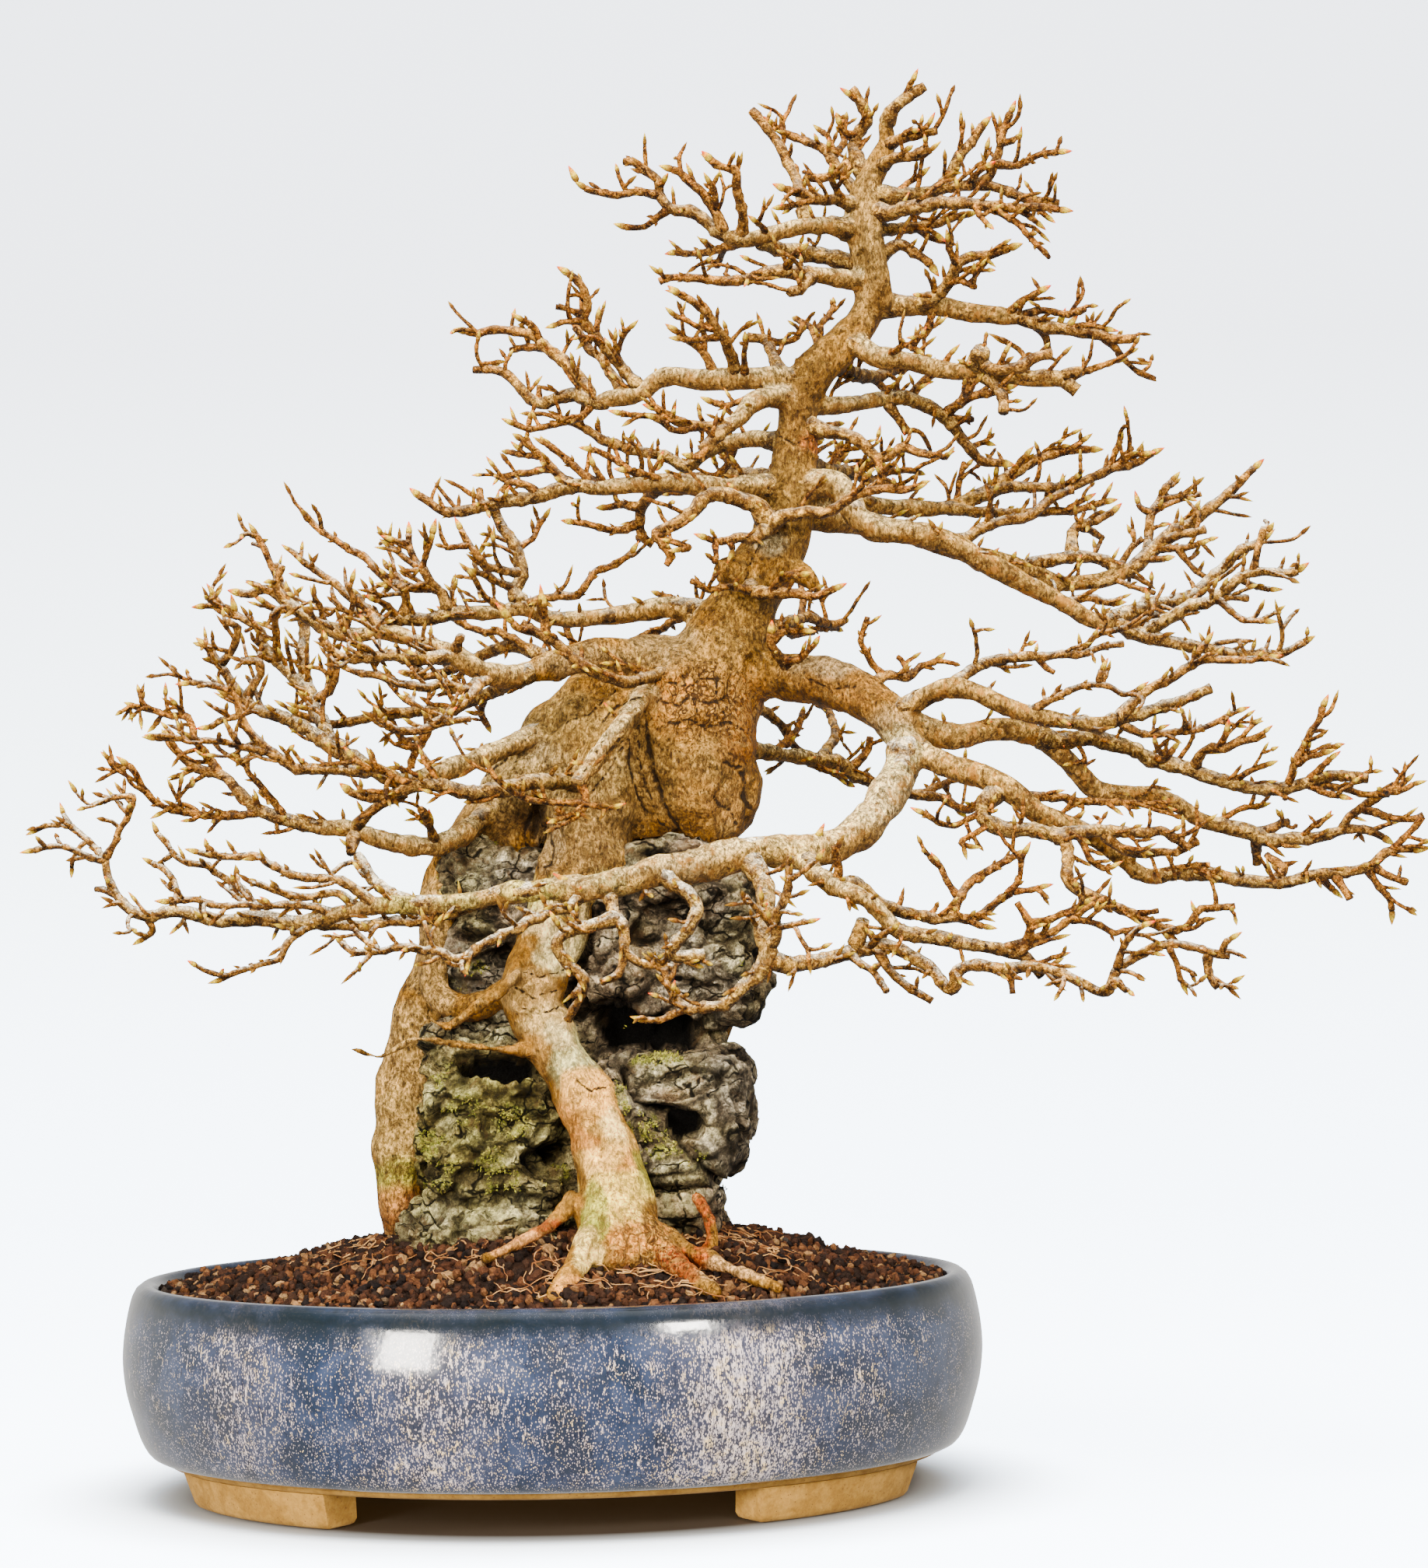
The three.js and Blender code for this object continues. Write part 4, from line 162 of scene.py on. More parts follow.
BUD, CUT = 1, 0
SPRAYS = [
  ['branch_front_sweep', 'fork', [
    [[-62, -78, -86, -86, -80, -72, -64, -60], [9.5, 9, 8.5, 8.3, 6.4, 5.4, 4.6, 3.8, 3, 1.8], CUT, [
      177, 363, 177, 350, 169, 333, 157, 318, 141, 309, 122, 306, 104, 307, 88, 303, 70, 299, 55, 298,
      40, 293, 22, 290, 4, 290, -18, 288, -40, 284, -60, 283, -80, 283, -100, 280, -120, 275, -140, 277,
      -160, 277, -180, 281, -200, 280, -210, 286, -216, 297, -218, 308]],
    [[-96, -100, -98], [3.8, 3.4, 3.2, 3, 3.6], CUT, [62, 299, 58, 297, 62, 291, 70, 286, 74, 278,
      68, 268, 63, 262, 62, 256, 70, 255, 77, 255]],
    [[-94, -92], [3, 2.4, 1.8], CUT, [30, 289, 33, 278, 37, 268, 38, 258, 44, 253, 54, 252, 62, 249]],
    [[-92], [2, 1.6], CUT, [38, 258, 34, 249, 26, 245]],
    [[-98, -96, -86], [3.2, 3, 2.8, 2.2, 1.8], CUT, [34, 275, 20, 271, 8, 267, 5, 261, 10, 252, 18, 246,
      17, 238, 12, 230, 9, 225]],
    [[-104, -104, -92], [2.6, 2.4, 2, 1.5], BUD, [19, 289, 10, 281, -2, 277, -15, 271, -30, 264,
      -45, 256, -58, 261, -75, 262, -90, 261, -100, 263, -105, 269]],
    [[-96], [1.6, 1.3], CUT, [-84, 262, -91, 267, -97, 273]],
    [[-70, -64], [2.8, 2.4], CUT, [-28, 286, -50, 277, -80, 275, -105, 274, -122, 276]],
    [[-76], [2.2, 1.5], BUD, [-92, 282, -105, 289, -118, 288, -132, 291, -150, 297]],
    [[-84, -80], [2.6, 1.9, 1.4], BUD, [-84, 283, -100, 294, -120, 297, -135, 303, -143, 309, -160, 309,
      -177, 312]],
    [[-54], [2, 1.6, 1.3], BUD, [-142, 277, -150, 292, -165, 302, -180, 308, -188, 316, -194, 325]],
    [[-52], [1.7, 1.3], BUD, [-186, 281, -184, 294, -190, 304, -199, 308]],
    [[-90], [2, 1.4], BUD, [-104, 279, -125, 284, -145, 284, -162, 284, -177, 287, -193, 287]],
    [[-80], [2, 1.3], BUD, [-112, 277, -126, 267, -133, 258, -144, 254, -156, 250, -168, 246]],
    [[-58], [1.6, 1.3], BUD, [-198, 280, -196, 272, -204, 266]],
    [[-58], [1.7, 1.3], CUT, [-212, 291, -223, 294]],
    [[-68], [1.8, 1.3], BUD, [-218, 308, -212, 319, -206, 329, -204, 339, -212, 338, -225, 335]],
    [[-48, -44], [1.7, 1.2], BUD, [-218, 307, -226, 317, -236, 325, -245, 325, -256, 321]],
    [[-44], [1.4, 1.1], BUD, [-235, 324, -240, 336]],
    [[-64], [1.7, 1.2], BUD, [-218, 307, -232, 312, -245, 315, -259, 312]],
    [[-60], [3.3, 3, 2.6], CUT, [-66, 283, -74, 287, -82, 292, -89, 299, -94, 307]],
  ]],
  ['branch_low_right', 'branch_front_sweep', [
    [[-100, -100, -94], [5, 4.6, 4.2, 3.8, 3, 2.4, 1.8], CUT, [98, 305, 106, 292, 108, 280, 106, 268,
      108, 256, 104, 247, 96, 240, 88, 233, 78, 230, 66, 232, 60, 240, 57, 250]],
    [[-92], [1.8, 1.4], BUD, [70, 231, 60, 226, 52, 224, 41, 226]],
    [[-88, -100, -112], [4.2, 3.8, 3.4, 3, 3, 2.6], CUT, [107, 254, 118, 251, 130, 252, 142, 254,
      152, 257, 164, 259, 174, 256, 183, 251, 190, 245, 197, 237, 202, 246, 210, 249, 222, 247,
      230, 246]],
    [[-92], [3.4, 3.2], CUT, [151, 257, 153, 264, 155, 272]],
    [[-108], [1.9, 1.5], CUT, [148, 256, 156, 249, 161, 244, 166, 237]],
    [[-96], [2.3, 1.7], CUT, [162, 259, 167, 249, 176, 240, 188, 232]],
    [[-108], [1.8, 1.3], BUD, [158, 258, 165, 265, 173, 270]],
    [[-112], [1.7, 1.4], CUT, [226, 247, 228, 241, 229, 235]],
    [[-118, -124], [2.8, 2.4, 2.4, 2, 2], CUT, [224, 247, 240, 247, 255, 243, 265, 239, 274, 235,
      280, 245, 288, 251, 300, 256, 312, 257, 324, 253, 336, 251]],
    [[-130], [1.8, 1.4], BUD, [280, 245, 284, 257, 290, 265, 299, 269]],
    [[-124], [2, 1.7], CUT, [325, 253, 325, 243, 330, 235]],
    [[-130], [1.7, 1.3], BUD, [332, 251, 334, 257, 342, 263]],
    [[-118], [1.4, 1.1], BUD, [306, 256, 310, 243, 314, 234]],
    [[-122], [1.7, 1.4], CUT, [276, 240, 280, 240, 285, 235]],
    [[-106, -106], [2.8, 2.4, 1.6], CUT, [108, 258, 112, 265, 112, 273, 117, 283, 119, 293, 121, 304]],
    [[-112], [1.5, 1.2], BUD, [113, 269, 123, 270, 134, 273]],
    [[-112], [1.5, 1.2], CUT, [112, 268, 105, 276, 98, 284]],
    [[-112], [1.5, 1.2], BUD, [120, 292, 127, 297, 136, 306]],
  ]],
  ['branch_fork_low', 'branch_front_sweep', [
    [[-98, -100, -98, -94], [5.6, 5.2, 4.6, 4, 3.4, 3, 2.4], CUT, [126, 306, 131, 297, 140, 290,
      149, 286, 158, 281, 166, 273, 173, 266, 184, 264, 197, 262, 210, 259, 222, 257, 234, 253,
      243, 243]],
    [[-84, -78], [3.8, 3.2, 2.4, 1.8], CUT, [144, 288, 152, 289, 163, 281, 173, 276, 185, 274, 197, 272,
      207, 273, 216, 276, 223, 281, 229, 285]],
    [[-72], [2.6, 2, 1.6], BUD, [198, 272, 202, 281, 208, 290, 217, 295, 227, 300, 236, 305]],
    [[-76], [1.6, 1.3], BUD, [203, 282, 196, 292, 190, 304]],
    [[-86], [1.6, 1.3], BUD, [204, 272, 213, 268, 220, 267]],
    [[-80], [1.6, 1.3], BUD, [226, 283, 232, 290, 234, 299, 238, 308]],
    [[-76], [1.6, 1.3], BUD, [229, 284, 239, 286, 249, 288]],
    [[-104], [2.7, 2, 1.5], CUT, [232, 254, 237, 263, 237, 270, 231, 279]],
    [[-110], [1.7, 1.3], BUD, [237, 269, 250, 272, 261, 276, 269, 281]],
    [[-92], [2.2, 1.8, 1.5], CUT, [224, 257, 240, 262, 252, 267, 263, 275, 276, 281]],
    [[-86], [1.7, 1.3], BUD, [257, 271, 270, 268, 283, 264, 296, 268]],
    [[-90], [1.5, 1.2], CUT, [238, 250, 246, 246, 253, 238]],
    [[-88], [1.3, 1.1], BUD, [240, 249, 248, 251, 256, 254]],
    [[-92], [2, 1.6], CUT, [142, 289, 144, 299, 141, 309]],
  ]],
  ['branch_left_low', 'shoulder', [
    [[-22, -32, -36, -32, -24], [6, 5.4, 5, 4.2, 3, 2.4, 1.6], BUD, [-20, 335, -32, 325, -45, 316,
      -58, 312, -72, 313, -86, 317, -98, 321, -113, 322, -128, 326, -142, 331, -152, 340, -161, 349,
      -173, 353, -182, 361, -188, 371]],
    [[-46], [2, 1.4], BUD, [-140, 331, -160, 328, -178, 331, -192, 335, -198, 342, -202, 350,
      -211, 358]],
    [[-14], [2, 1.4], BUD, [-161, 349, -171, 364, -176, 377, -190, 380, -207, 385]],
    [[-44], [1.8, 1.3], BUD, [-128, 327, -139, 341, -147, 351, -145, 361]],
    [[-50], [2.6, 2.2], CUT, [-95, 321, -88, 329, -77, 335, -70, 338]],
    [[-44], [2.2, 1.8], CUT, [-55, 313, -57, 322, -62, 331]],
    [[-42], [3, 2.4], CUT, [-94, 320, -96, 314, -97, 309]],
  ]],
  ['branch_left_long', 'shoulder', [
    [[-14, -30, -34, -30, -24, -20], [5.5, 5.2, 5, 4.6, 4, 3.2, 2.4, 1.6], BUD, [8, 370, -8, 365,
      -20, 360, -32, 355, -44, 351, -56, 347, -67, 344, -79, 347, -92, 354, -105, 361, -117, 370,
      -130, 377, -144, 382, -152, 390, -158, 400, -164, 409, -171, 416]],
    [[-46, -54], [3, 2.4, 1.8, 1.3], BUD, [-84, 350, -104, 350, -120, 352, -131, 357, -142, 365,
      -150, 378, -154, 388, -166, 394, -181, 394]],
    [[-60], [1.8, 1.3], BUD, [-130, 357, -152, 363, -178, 367, -198, 368]],
    [[-32], [1.8, 1.3], BUD, [-143, 382, -157, 376, -171, 372]],
    [[-34], [2, 1.8], CUT, [-160, 403, -154, 412, -152, 421, -156, 425]],
    [[-4, 4, 6], [3.6, 3.4, 3.2, 3, 2.4, 2], CUT, [-100, 358, -108, 370, -114, 381, -118, 394,
      -119, 408, -118, 420, -123, 433, -130, 444, -131, 453]],
    [[4], [1.8, 1.3], BUD, [-130, 443, -137, 457, -141, 466, -145, 473]],
    [[-6], [1.7, 1.3], BUD, [-121, 430, -132, 430, -143, 437]],
    [[8, 12], [3, 2.6, 2.2, 1.8, 1.4], BUD, [-116, 388, -124, 396, -132, 404, -138, 412, -140, 421,
      -150, 427, -160, 432, -173, 432]],
    [[8], [1.4, 1.1], BUD, [-159, 431, -166, 443]],
    [[-6], [2, 1.6], CUT, [-131, 404, -132, 416, -133, 428]],
    [[-20], [2.2, 1.6], CUT, [-115, 384, -106, 391, -103, 400, -108, 412]],
    [[-26], [2.2, 1.6], CUT, [-148, 386, -142, 395, -140, 404, -150, 406]],
  ]],
  ['branch_left_stub', 'stub', [
    [[-44, -46, -42, -38, -34], [6, 5.4, 5, 4.6, 4.2, 3.8, 3.2, 2.4, 1.6], BUD, [-4, 398, -16, 395,
      -28, 397, -38, 402, -48, 408, -60, 412, -70, 416, -82, 418, -95, 417, -108, 421, -118, 427,
      -128, 434, -137, 440, -146, 438, -156, 440]],
    [[-30, -26], [2.4, 1.8, 1.4], CUT, [-78, 417, -88, 430, -97, 438, -106, 445, -115, 451, -126, 460]],
    [[-40], [1.5, 1.2], BUD, [-84, 425, -90, 433, -96, 440]],
    [[-52], [1.5, 1.3], BUD, [-98, 418, -96, 429, -95, 438, -93, 449]],
    [[-46], [1.4, 1.2], BUD, [-108, 421, -111, 431, -115, 441]],
    [[-60, -62], [3.4, 3, 2.6, 2], CUT, [-44, 406, -58, 405, -72, 406, -86, 406, -98, 406, -106, 410,
      -110, 416]],
    [[-56, -54], [2.8, 2.4, 2, 1.5], BUD, [-28, 397, -38, 389, -50, 391, -64, 391, -78, 395, -92, 399,
      -103, 404]],
    [[-66, -74], [2.6, 2.4, 2, 1.6], BUD, [-26, 397, -37, 386, -46, 378, -56, 372, -68, 369, -78, 371,
      -84, 381]],
    [[-72], [1.8, 1.6], CUT, [-58, 371, -48, 373, -37, 374]],
    [[-52], [2.4, 2], CUT, [-44, 406, -43, 411, -41, 416]],
    [[-52], [1.8, 1.4], CUT, [-60, 412, -63, 403, -60, 396]],
    [[-40], [2, 1.5], CUT, [-128, 434, -132, 443, -129, 452]],
  ]],
  ['branch_left_back', 'stub', [
    [[14, 24, 22, 20], [3.6, 3.2, 2.8, 2.4, 1.6], BUD, [4, 400, -12, 393, -24, 388, -36, 383, -48, 379,
      -62, 378, -76, 378, -90, 375, -104, 373, -115, 376, -127, 382]],
    [[26], [2.2, 1.9], CUT, [-57, 378, -58, 368, -64, 357, -66, 350]],
    [[28], [1.8, 1.5], CUT, [-63, 359, -71, 366, -75, 373]],
    [[28], [1.6, 1.3], BUD, [-30, 385, -30, 377, -27, 368]],
  ]],
  ['branch_left_shelf', 'column', [
    [[6, 10, 6, 2, 2, 4], [7, 6, 5, 4.6, 4.2, 4, 3.4, 2.8, 2], CUT, [92, 416, 78, 425, 62, 428, 46, 426,
      30, 424, 14, 423, 2, 424, -10, 429, -22, 427, -36, 427, -48, 427, -58, 424, -70, 425, -84, 424,
      -93, 428, -102, 424]],
    [[8, 14], [3.6, 3.2, 2.8, 2.4], CUT, [-9, 428, -14, 437, -11, 447, -12, 458, -19, 468, -25, 480]],
    [[14], [1.6, 1.3], BUD, [-12, 458, -3, 467, 4, 478]],
    [[-10, -10], [2.2, 1.8, 1.4], BUD, [-11, 446, -25, 449, -33, 455, -38, 464, -43, 474]],
    [[-8], [1.4, 1.2], CUT, [-37, 460, -48, 459]],
    [[-6], [1.8, 1.3], BUD, [-13, 438, -22, 442, -30, 446, -38, 449]],
    [[-8, -12], [2.2, 1.8, 1.5], BUD, [-10, 430, 2, 434, 12, 434, 20, 438, 26, 446, 36, 450, 47, 460]],
    [[-14], [1.7, 1.3], BUD, [-18, 428, -28, 434, -33, 441, -37, 449]],
    [[-4, 0], [2.8, 2.2, 1.8, 1.4], BUD, [-46, 427, -52, 437, -59, 446, -64, 455, -66, 463, -66, 472]],
    [[-4], [1.5, 1.2], BUD, [-65, 461, -72, 463, -80, 466]],
    [[-12], [1.6, 1.3], BUD, [-60, 448, -57, 457, -54, 468]],
    [[2], [1.6, 1.2], BUD, [-61, 450, -71, 457, -80, 464]],
    [[14, 18], [2.2, 1.8, 1.4], BUD, [-54, 440, -68, 441, -80, 447, -88, 455, -100, 463, -110, 470,
      -120, 480]],
    [[18], [1.5, 1.2], BUD, [-68, 441, -74, 447, -79, 454]],
    [[-4], [2.2, 1.8], CUT, [-70, 425, -67, 434, -70, 441]],
    [[-12], [1.7, 1.3], BUD, [-72, 425, -79, 433, -87, 436]],
  ]],
  ['branch_front_diagonal', 'front_muscle', [
    [[-44, -54], [5.6, 5.1, 4.8, 4.3], CUT, [62, 386, 50, 384, 42, 374, 34, 364, 24, 352, 14, 341]],
    [[-58], [1.8, 1.4], CUT, [16, 343, 20, 334, 17, 327, 10, 325, 4, 330]],
    [[-66, -66], [1.6, 1.4, 1.1], BUD, [18, 332, 2, 332, -14, 337, -23, 344, -31, 356]],
    [[-66], [1.3, 1], BUD, [17, 331, 27, 329, 38, 331]],
  ]],
  ['branch_front_shoot', 'front_muscle', [
    [[-40, -46, -48], [3, 2.8, 2.5, 2.3], CUT, [58, 395, 42, 391, 30, 394, 19, 400, 10, 408, 2, 414,
      -5, 418, -11, 422]],
    [[-52], [2, 1.6], BUD, [1, 414, 0, 424, 0, 435]],
    [[-54], [1.8, 1.5], BUD, [-4, 417, -12, 419, -19, 426]],
  ]],
  ['branch_left_loop', 'front_muscle', [
    [[-44, -52, -56, -54], [4.2, 4, 3.8, 3.4, 2.6, 1.8], BUD, [24, 340, 8, 343, -6, 343, -20, 339,
      -34, 338, -50, 341, -64, 341, -77, 338, -90, 337, -101, 343]],
    [[-60], [1.7, 1.3], BUD, [-64, 341, -78, 348, -90, 352, -99, 361]],
  ]],
  ['branch_left_mid', 'column', [
    [[-12, -20, -18, -10, -4, 0], [7, 6, 5, 4.4, 4, 3.6, 3, 2.4, 1.6], BUD, [122, 487, 105, 487,
      92, 487, 78, 488, 62, 490, 46, 489, 30, 488, 15, 489, 0, 484, -14, 482, -28, 479, -40, 477,
      -50, 478, -57, 483, -65, 489]],
    [[4], [2.4, 1.9, 1.5], BUD, [17, 489, 7, 496, 0, 504, -6, 510, -13, 515]],
    [[8], [1.8, 1.6], CUT, [5, 498, -8, 496, -19, 494]],
    [[12], [1.5, 1.3], BUD, [0, 504, -10, 505, -19, 507]],
    [[-14], [2, 1.5], BUD, [30, 488, 18, 497, 10, 505, 0, 513]],
    [[-20], [1.5, 1.2], BUD, [32, 488, 27, 497, 24, 505]],
    [[-14], [1.9, 1.7], CUT, [-1, 484, -7, 490, -14, 491, -20, 487]],
    [[6], [1.9, 1.7], CUT, [-27, 479, -30, 482, -31, 487]],
    [[-24], [1.8, 1.3], BUD, [62, 490, 48, 494, 40, 500, 30, 505, 20, 508]],
    [[-32], [1.7, 1.4], BUD, [70, 489, 58, 492, 46, 496, 38, 497]],
    [[10, 14], [3, 2.6, 2.2], CUT, [62, 489, 51, 480, 48, 470, 50, 463, 55, 459]],
    [[8, 2], [2, 1.4], BUD, [48, 470, 36, 467, 24, 469, 10, 472]],
    [[18], [2, 1.4], BUD, [50, 478, 38, 479, 27, 478]],
  ]],
  ['branch_eye', 'column', [
    [[-20], [5.4, 5], CUT, [116, 470, 112, 467]],
    [[-28, -34], [4.2, 3.8, 3.6, 3.2, 2.4, 1.6], CUT, [112, 468, 106, 478, 97, 482, 86, 484, 79, 481,
      74, 474, 64, 469, 57, 465, 60, 459, 63, 453, 61, 449]],
    [[-34, -38], [3.2, 2.6, 1.8, 1.3], BUD, [112, 467, 104, 462, 96, 463, 86, 460, 76, 464]],
    [[-40], [1.4, 1.2], CUT, [86, 461, 85, 452, 84, 450]],
    [[-34], [1.5, 1.2], BUD, [92, 462, 94, 456, 92, 451]],
    [[-30, -40, -46], [3.2, 2.8, 2.4, 2, 1.5], BUD, [112, 467, 120, 473, 131, 474, 141, 474, 149, 478,
      157, 483, 168, 485, 178, 484, 190, 487]],
    [[-48], [1.6, 1.3], BUD, [154, 481, 159, 488, 164, 495]],
    [[-42], [1.5, 1.3], BUD, [58, 463, 72, 457, 62, 456]],
  ]],
  ['branch_left_drop', 'column', [
    [[-14, -26, -32], [6, 5.5, 5, 4.2, 3.4, 2.8], CUT, [126, 530, 112, 531.5, 104, 528, 99, 522,
      92, 517, 86, 512, 81, 506]],
    [[-30, -34], [3, 2.4, 1.6], BUD, [95, 519, 85, 517, 76, 519, 67, 521, 59, 526, 51, 529]],
    [[-40], [1.6, 1.3], BUD, [72, 520, 60, 523, 47, 524, 35, 526]],
    [[-42], [1.8, 1.4], BUD, [80, 518, 68, 516, 60, 520, 52, 524]],
    [[-40], [1.7, 1.4], BUD, [84, 510, 78, 503, 70, 504]],
    [[-20], [1.8, 1.4], BUD, [106, 532, 96, 529, 88, 528, 80, 532]],
  ]],
  ['branch_left_deep', 'column', [
    [[20, 30, 30, 26], [6, 4.6, 3.6, 3, 2.8, 2.5, 2.2, 1.8], CUT, [124, 508, 109, 511, 97, 510, 88, 508,
      79, 503, 71, 497, 62, 502, 52, 505, 42, 508, 32, 511, 24, 516, 15, 521, 8, 523]],
    [[34], [2, 1.4], BUD, [96, 510, 92, 498, 84, 492, 74, 490]],
    [[22], [1.6, 1.3], BUD, [60, 503, 58, 498, 56, 496]],
  ]],
  ['branch_left_high', 'column', [
    [[-6, -2, 4, 10, 16, 20], [7, 6, 5.4, 5, 4.6, 4.2, 3.4, 2.8, 2.3, 1.8], CUT, [130, 539, 114, 541,
      102, 541, 90, 541, 78, 541, 66, 543, 58, 541, 52, 536, 44, 533, 34, 532, 27, 530, 18, 534,
      10, 533, 2, 530, -5, 533, -11, 540, -20, 547, -33, 548]],
    [[20, 24], [3.2, 2.8, 2.2, 1.6], BUD, [26, 531, 20, 543, 11, 552, 3, 558, -3, 564, -12, 566,
      -24, 567, -32, 566, -42, 568]],
    [[14], [1.6, 1.3], BUD, [0, 561, -2, 567, -7, 571, -13, 575]],
    [[26], [1.8, 1.5], CUT, [3, 558, -6, 559, -15, 557]],
    [[28], [2.8, 2.4, 1.8], CUT, [42, 533, 34, 547, 26, 555, 22, 561, 18, 568]],
    [[2, -4], [3, 2.7, 2.2, 1.6], BUD, [51, 535, 42, 546, 34, 556, 27, 565, 22, 572, 24, 582, 20, 591,
      10, 598]],
    [[0], [1.4, 1.2], BUD, [28, 564, 29, 570, 30, 578]],
    [[-6], [1.6, 1.3], BUD, [23, 572, 13, 571, 3, 568]],
    [[2], [1.5, 1.3], CUT, [23, 574, 15, 576, 8, 578]],
    [[-8], [1.5, 1.2], BUD, [37, 551, 40, 560, 49, 571]],
    [[-4], [1.7, 1.3], BUD, [26, 530, 22, 525, 14, 521, 4, 519, -8, 518, -19, 523]],
    [[-22, -26], [2.8, 2.3, 1.6], BUD, [97, 541, 95, 552, 90, 563, 84, 573, 76, 580, 64, 588]],
    [[-30], [1.5, 1.2], BUD, [88, 566, 76, 568, 63, 577]],
    [[-12], [1.6, 1.3], BUD, [90, 562, 78, 561, 65, 562]],
    [[-10], [2.2, 1.5], BUD, [88, 541, 80, 555, 73, 561, 64, 568]],
    [[0], [1.5, 1.2], BUD, [81, 553, 82, 562, 80, 571]],
    [[-30], [1.7, 1.3], BUD, [102, 541, 101, 553, 102, 564]],
    [[14], [3.2, 2.7, 2.2], CUT, [120, 540, 116, 551, 112, 560, 104, 562]],
    [[18], [1.8, 1.5], CUT, [113, 559, 122, 560, 128, 563, 132, 569]],
    [[18], [1.5, 1.2], CUT, [-1, 531, 0, 539]],
  ]],
  ['branch_apex_left', 'leader', [
    [[-6, -10, -8, -4, 0, 4], [6, 5, 4.6, 4.1, 3.6, 3.1, 2.6, 2.2, 1.8], CUT, [160, 612, 148, 616,
      136, 617, 124, 615, 112, 612, 102, 610, 93, 612, 84, 619, 76, 624, 66, 627, 61, 633, 60, 640,
      54, 646, 48, 651, 43, 651]],
    [[-8], [1.9, 1.4], BUD, [61, 633, 50, 635, 38, 634, 27, 636, 19, 641]],
    [[6], [1.8, 1.4], BUD, [66, 626, 56, 620, 49, 618, 39, 619]],
    [[-8], [1.5, 1.2], BUD, [60, 637, 65, 644]],
    [[-16, -18], [2.6, 2.1, 1.5], BUD, [93, 612, 89, 623, 83, 633, 76, 639, 70, 645, 61, 648]],
    [[-24], [1.5, 1.2], BUD, [88, 625, 89, 633, 83, 644]],
    [[-30], [2.6, 2.3, 1.8], BUD, [101, 610, 102, 622, 100, 635, 99, 644, 92, 648, 83, 654]],
    [[12], [2.3, 1.8, 1.4], BUD, [104, 610, 90, 606, 78, 605, 64, 604]],
    [[16], [1.8, 1.6], CUT, [92, 607, 89, 597]],
    [[8, 12], [3.2, 2.7, 2.3, 2.1], CUT, [134, 617, 130, 632, 127, 645, 120, 658, 113, 668, 107, 675]],
    [[-24], [1.5, 1.2], BUD, [114, 613, 111, 617, 105, 622]],
    [[6, 4], [3.4, 4, 4.6], CUT, [108, 611, 120, 605, 135, 603, 148, 600, 159, 596]],
  ]],
  ['branch_apex_left_low', 'leader', [
    [[-14, -22, -26], [5.5, 4.6, 3.8, 3, 2.4, 2, 1.7], CUT, [164, 588, 152, 590, 140, 592, 128, 594,
      116, 594, 104, 591, 92, 590, 78, 592, 68, 592, 60, 590]],
    [[-28], [2.8, 2.6], CUT, [137, 592, 131, 587, 125, 584]],
    [[-30], [1.8, 1.4], BUD, [122, 594, 126, 602, 134, 608]],
  ]],
  ['branch_apex_back_left', 'leader', [
    [[8, 14], [3.4, 3, 2.4, 1.8, 1.4], BUD, [164, 627, 156, 638, 148, 648, 142, 655, 134, 659, 125, 663,
      114, 671]],
    [[18], [1.5, 1.2], BUD, [149, 653, 145, 660, 138, 667]],
    [[32], [1.8, 1.4], BUD, [150, 652, 153, 659, 152, 664, 149, 673]],
    [[0], [2.4, 2.2], CUT, [156, 648, 150, 641, 141, 640, 133, 641]],
  ]],
  ['branch_apex_front_left', 'leader', [
    [[-14, -20], [3.4, 2.8, 2.2, 1.5], BUD, [160, 624, 150, 630, 142, 629, 134, 632, 126, 634,
      117, 638]],
    [[-26], [1.6, 1.3], BUD, [141, 629, 130, 628, 117, 626]],
    [[-24], [1.7, 1.3], BUD, [152, 629, 148, 637, 146, 647]],
  ]],
  ['branch_top_left', 'leader', [
    [[4, 6, 4], [3.6, 3.2, 2.8, 2.3], CUT, [164, 640, 159, 650, 160, 661, 165, 670, 162, 677,
      157, 684]],
    [[0], [1.5, 1.2], BUD, [160, 679, 152, 685]],
    [[-4], [1.6, 1.3], BUD, [160, 661, 152, 664, 149, 672]],
  ]],
  ['branch_top', 'leader', [
    [[-4, -4], [3.4, 2.9, 2.4], CUT, [173, 664, 177, 673, 184, 680, 194, 686]],
    [[-8], [1.5, 1.2], BUD, [183, 679, 190, 694]],
  ]],
  ['branch_top_right', 'leader', [
    [[-12, -12], [2.6, 2.2, 1.8], CUT, [173, 656, 180, 659, 188, 661, 199, 663]],
    [[-16], [1.5, 1.2], BUD, [188, 661, 193, 665, 198, 672]],
    [[-20], [1.5, 1.2], BUD, [179, 659, 184, 662, 190, 664]],
  ]],
  ['branch_top_right_low', 'leader', [
    [[-14, -20], [2.8, 2.4, 2], CUT, [169, 645, 178, 649, 186, 651, 194, 655]],
    [[-16], [1.6, 1.2], BUD, [184, 650, 192, 651, 201, 658]],
    [[-24], [1.5, 1.2], BUD, [177, 649, 182, 653, 187, 656]],
  ]],
  ['branch_apex_right', 'leader', [
    [[-4, -6, -4], [4.2, 3.8, 3.2, 2.6, 1.7], BUD, [164, 633, 178, 631, 190, 632, 200, 634, 206, 643,
      211, 652, 218, 661, 226, 670]],
    [[-18, -20], [2.8, 2.5, 2, 1.4], BUD, [195, 632, 208, 635, 218, 637, 225, 641, 228, 648, 230, 656,
      233, 665, 238, 677]],
    [[-28], [1.8, 1.3], BUD, [228, 646, 238, 646, 250, 650, 265, 652]],
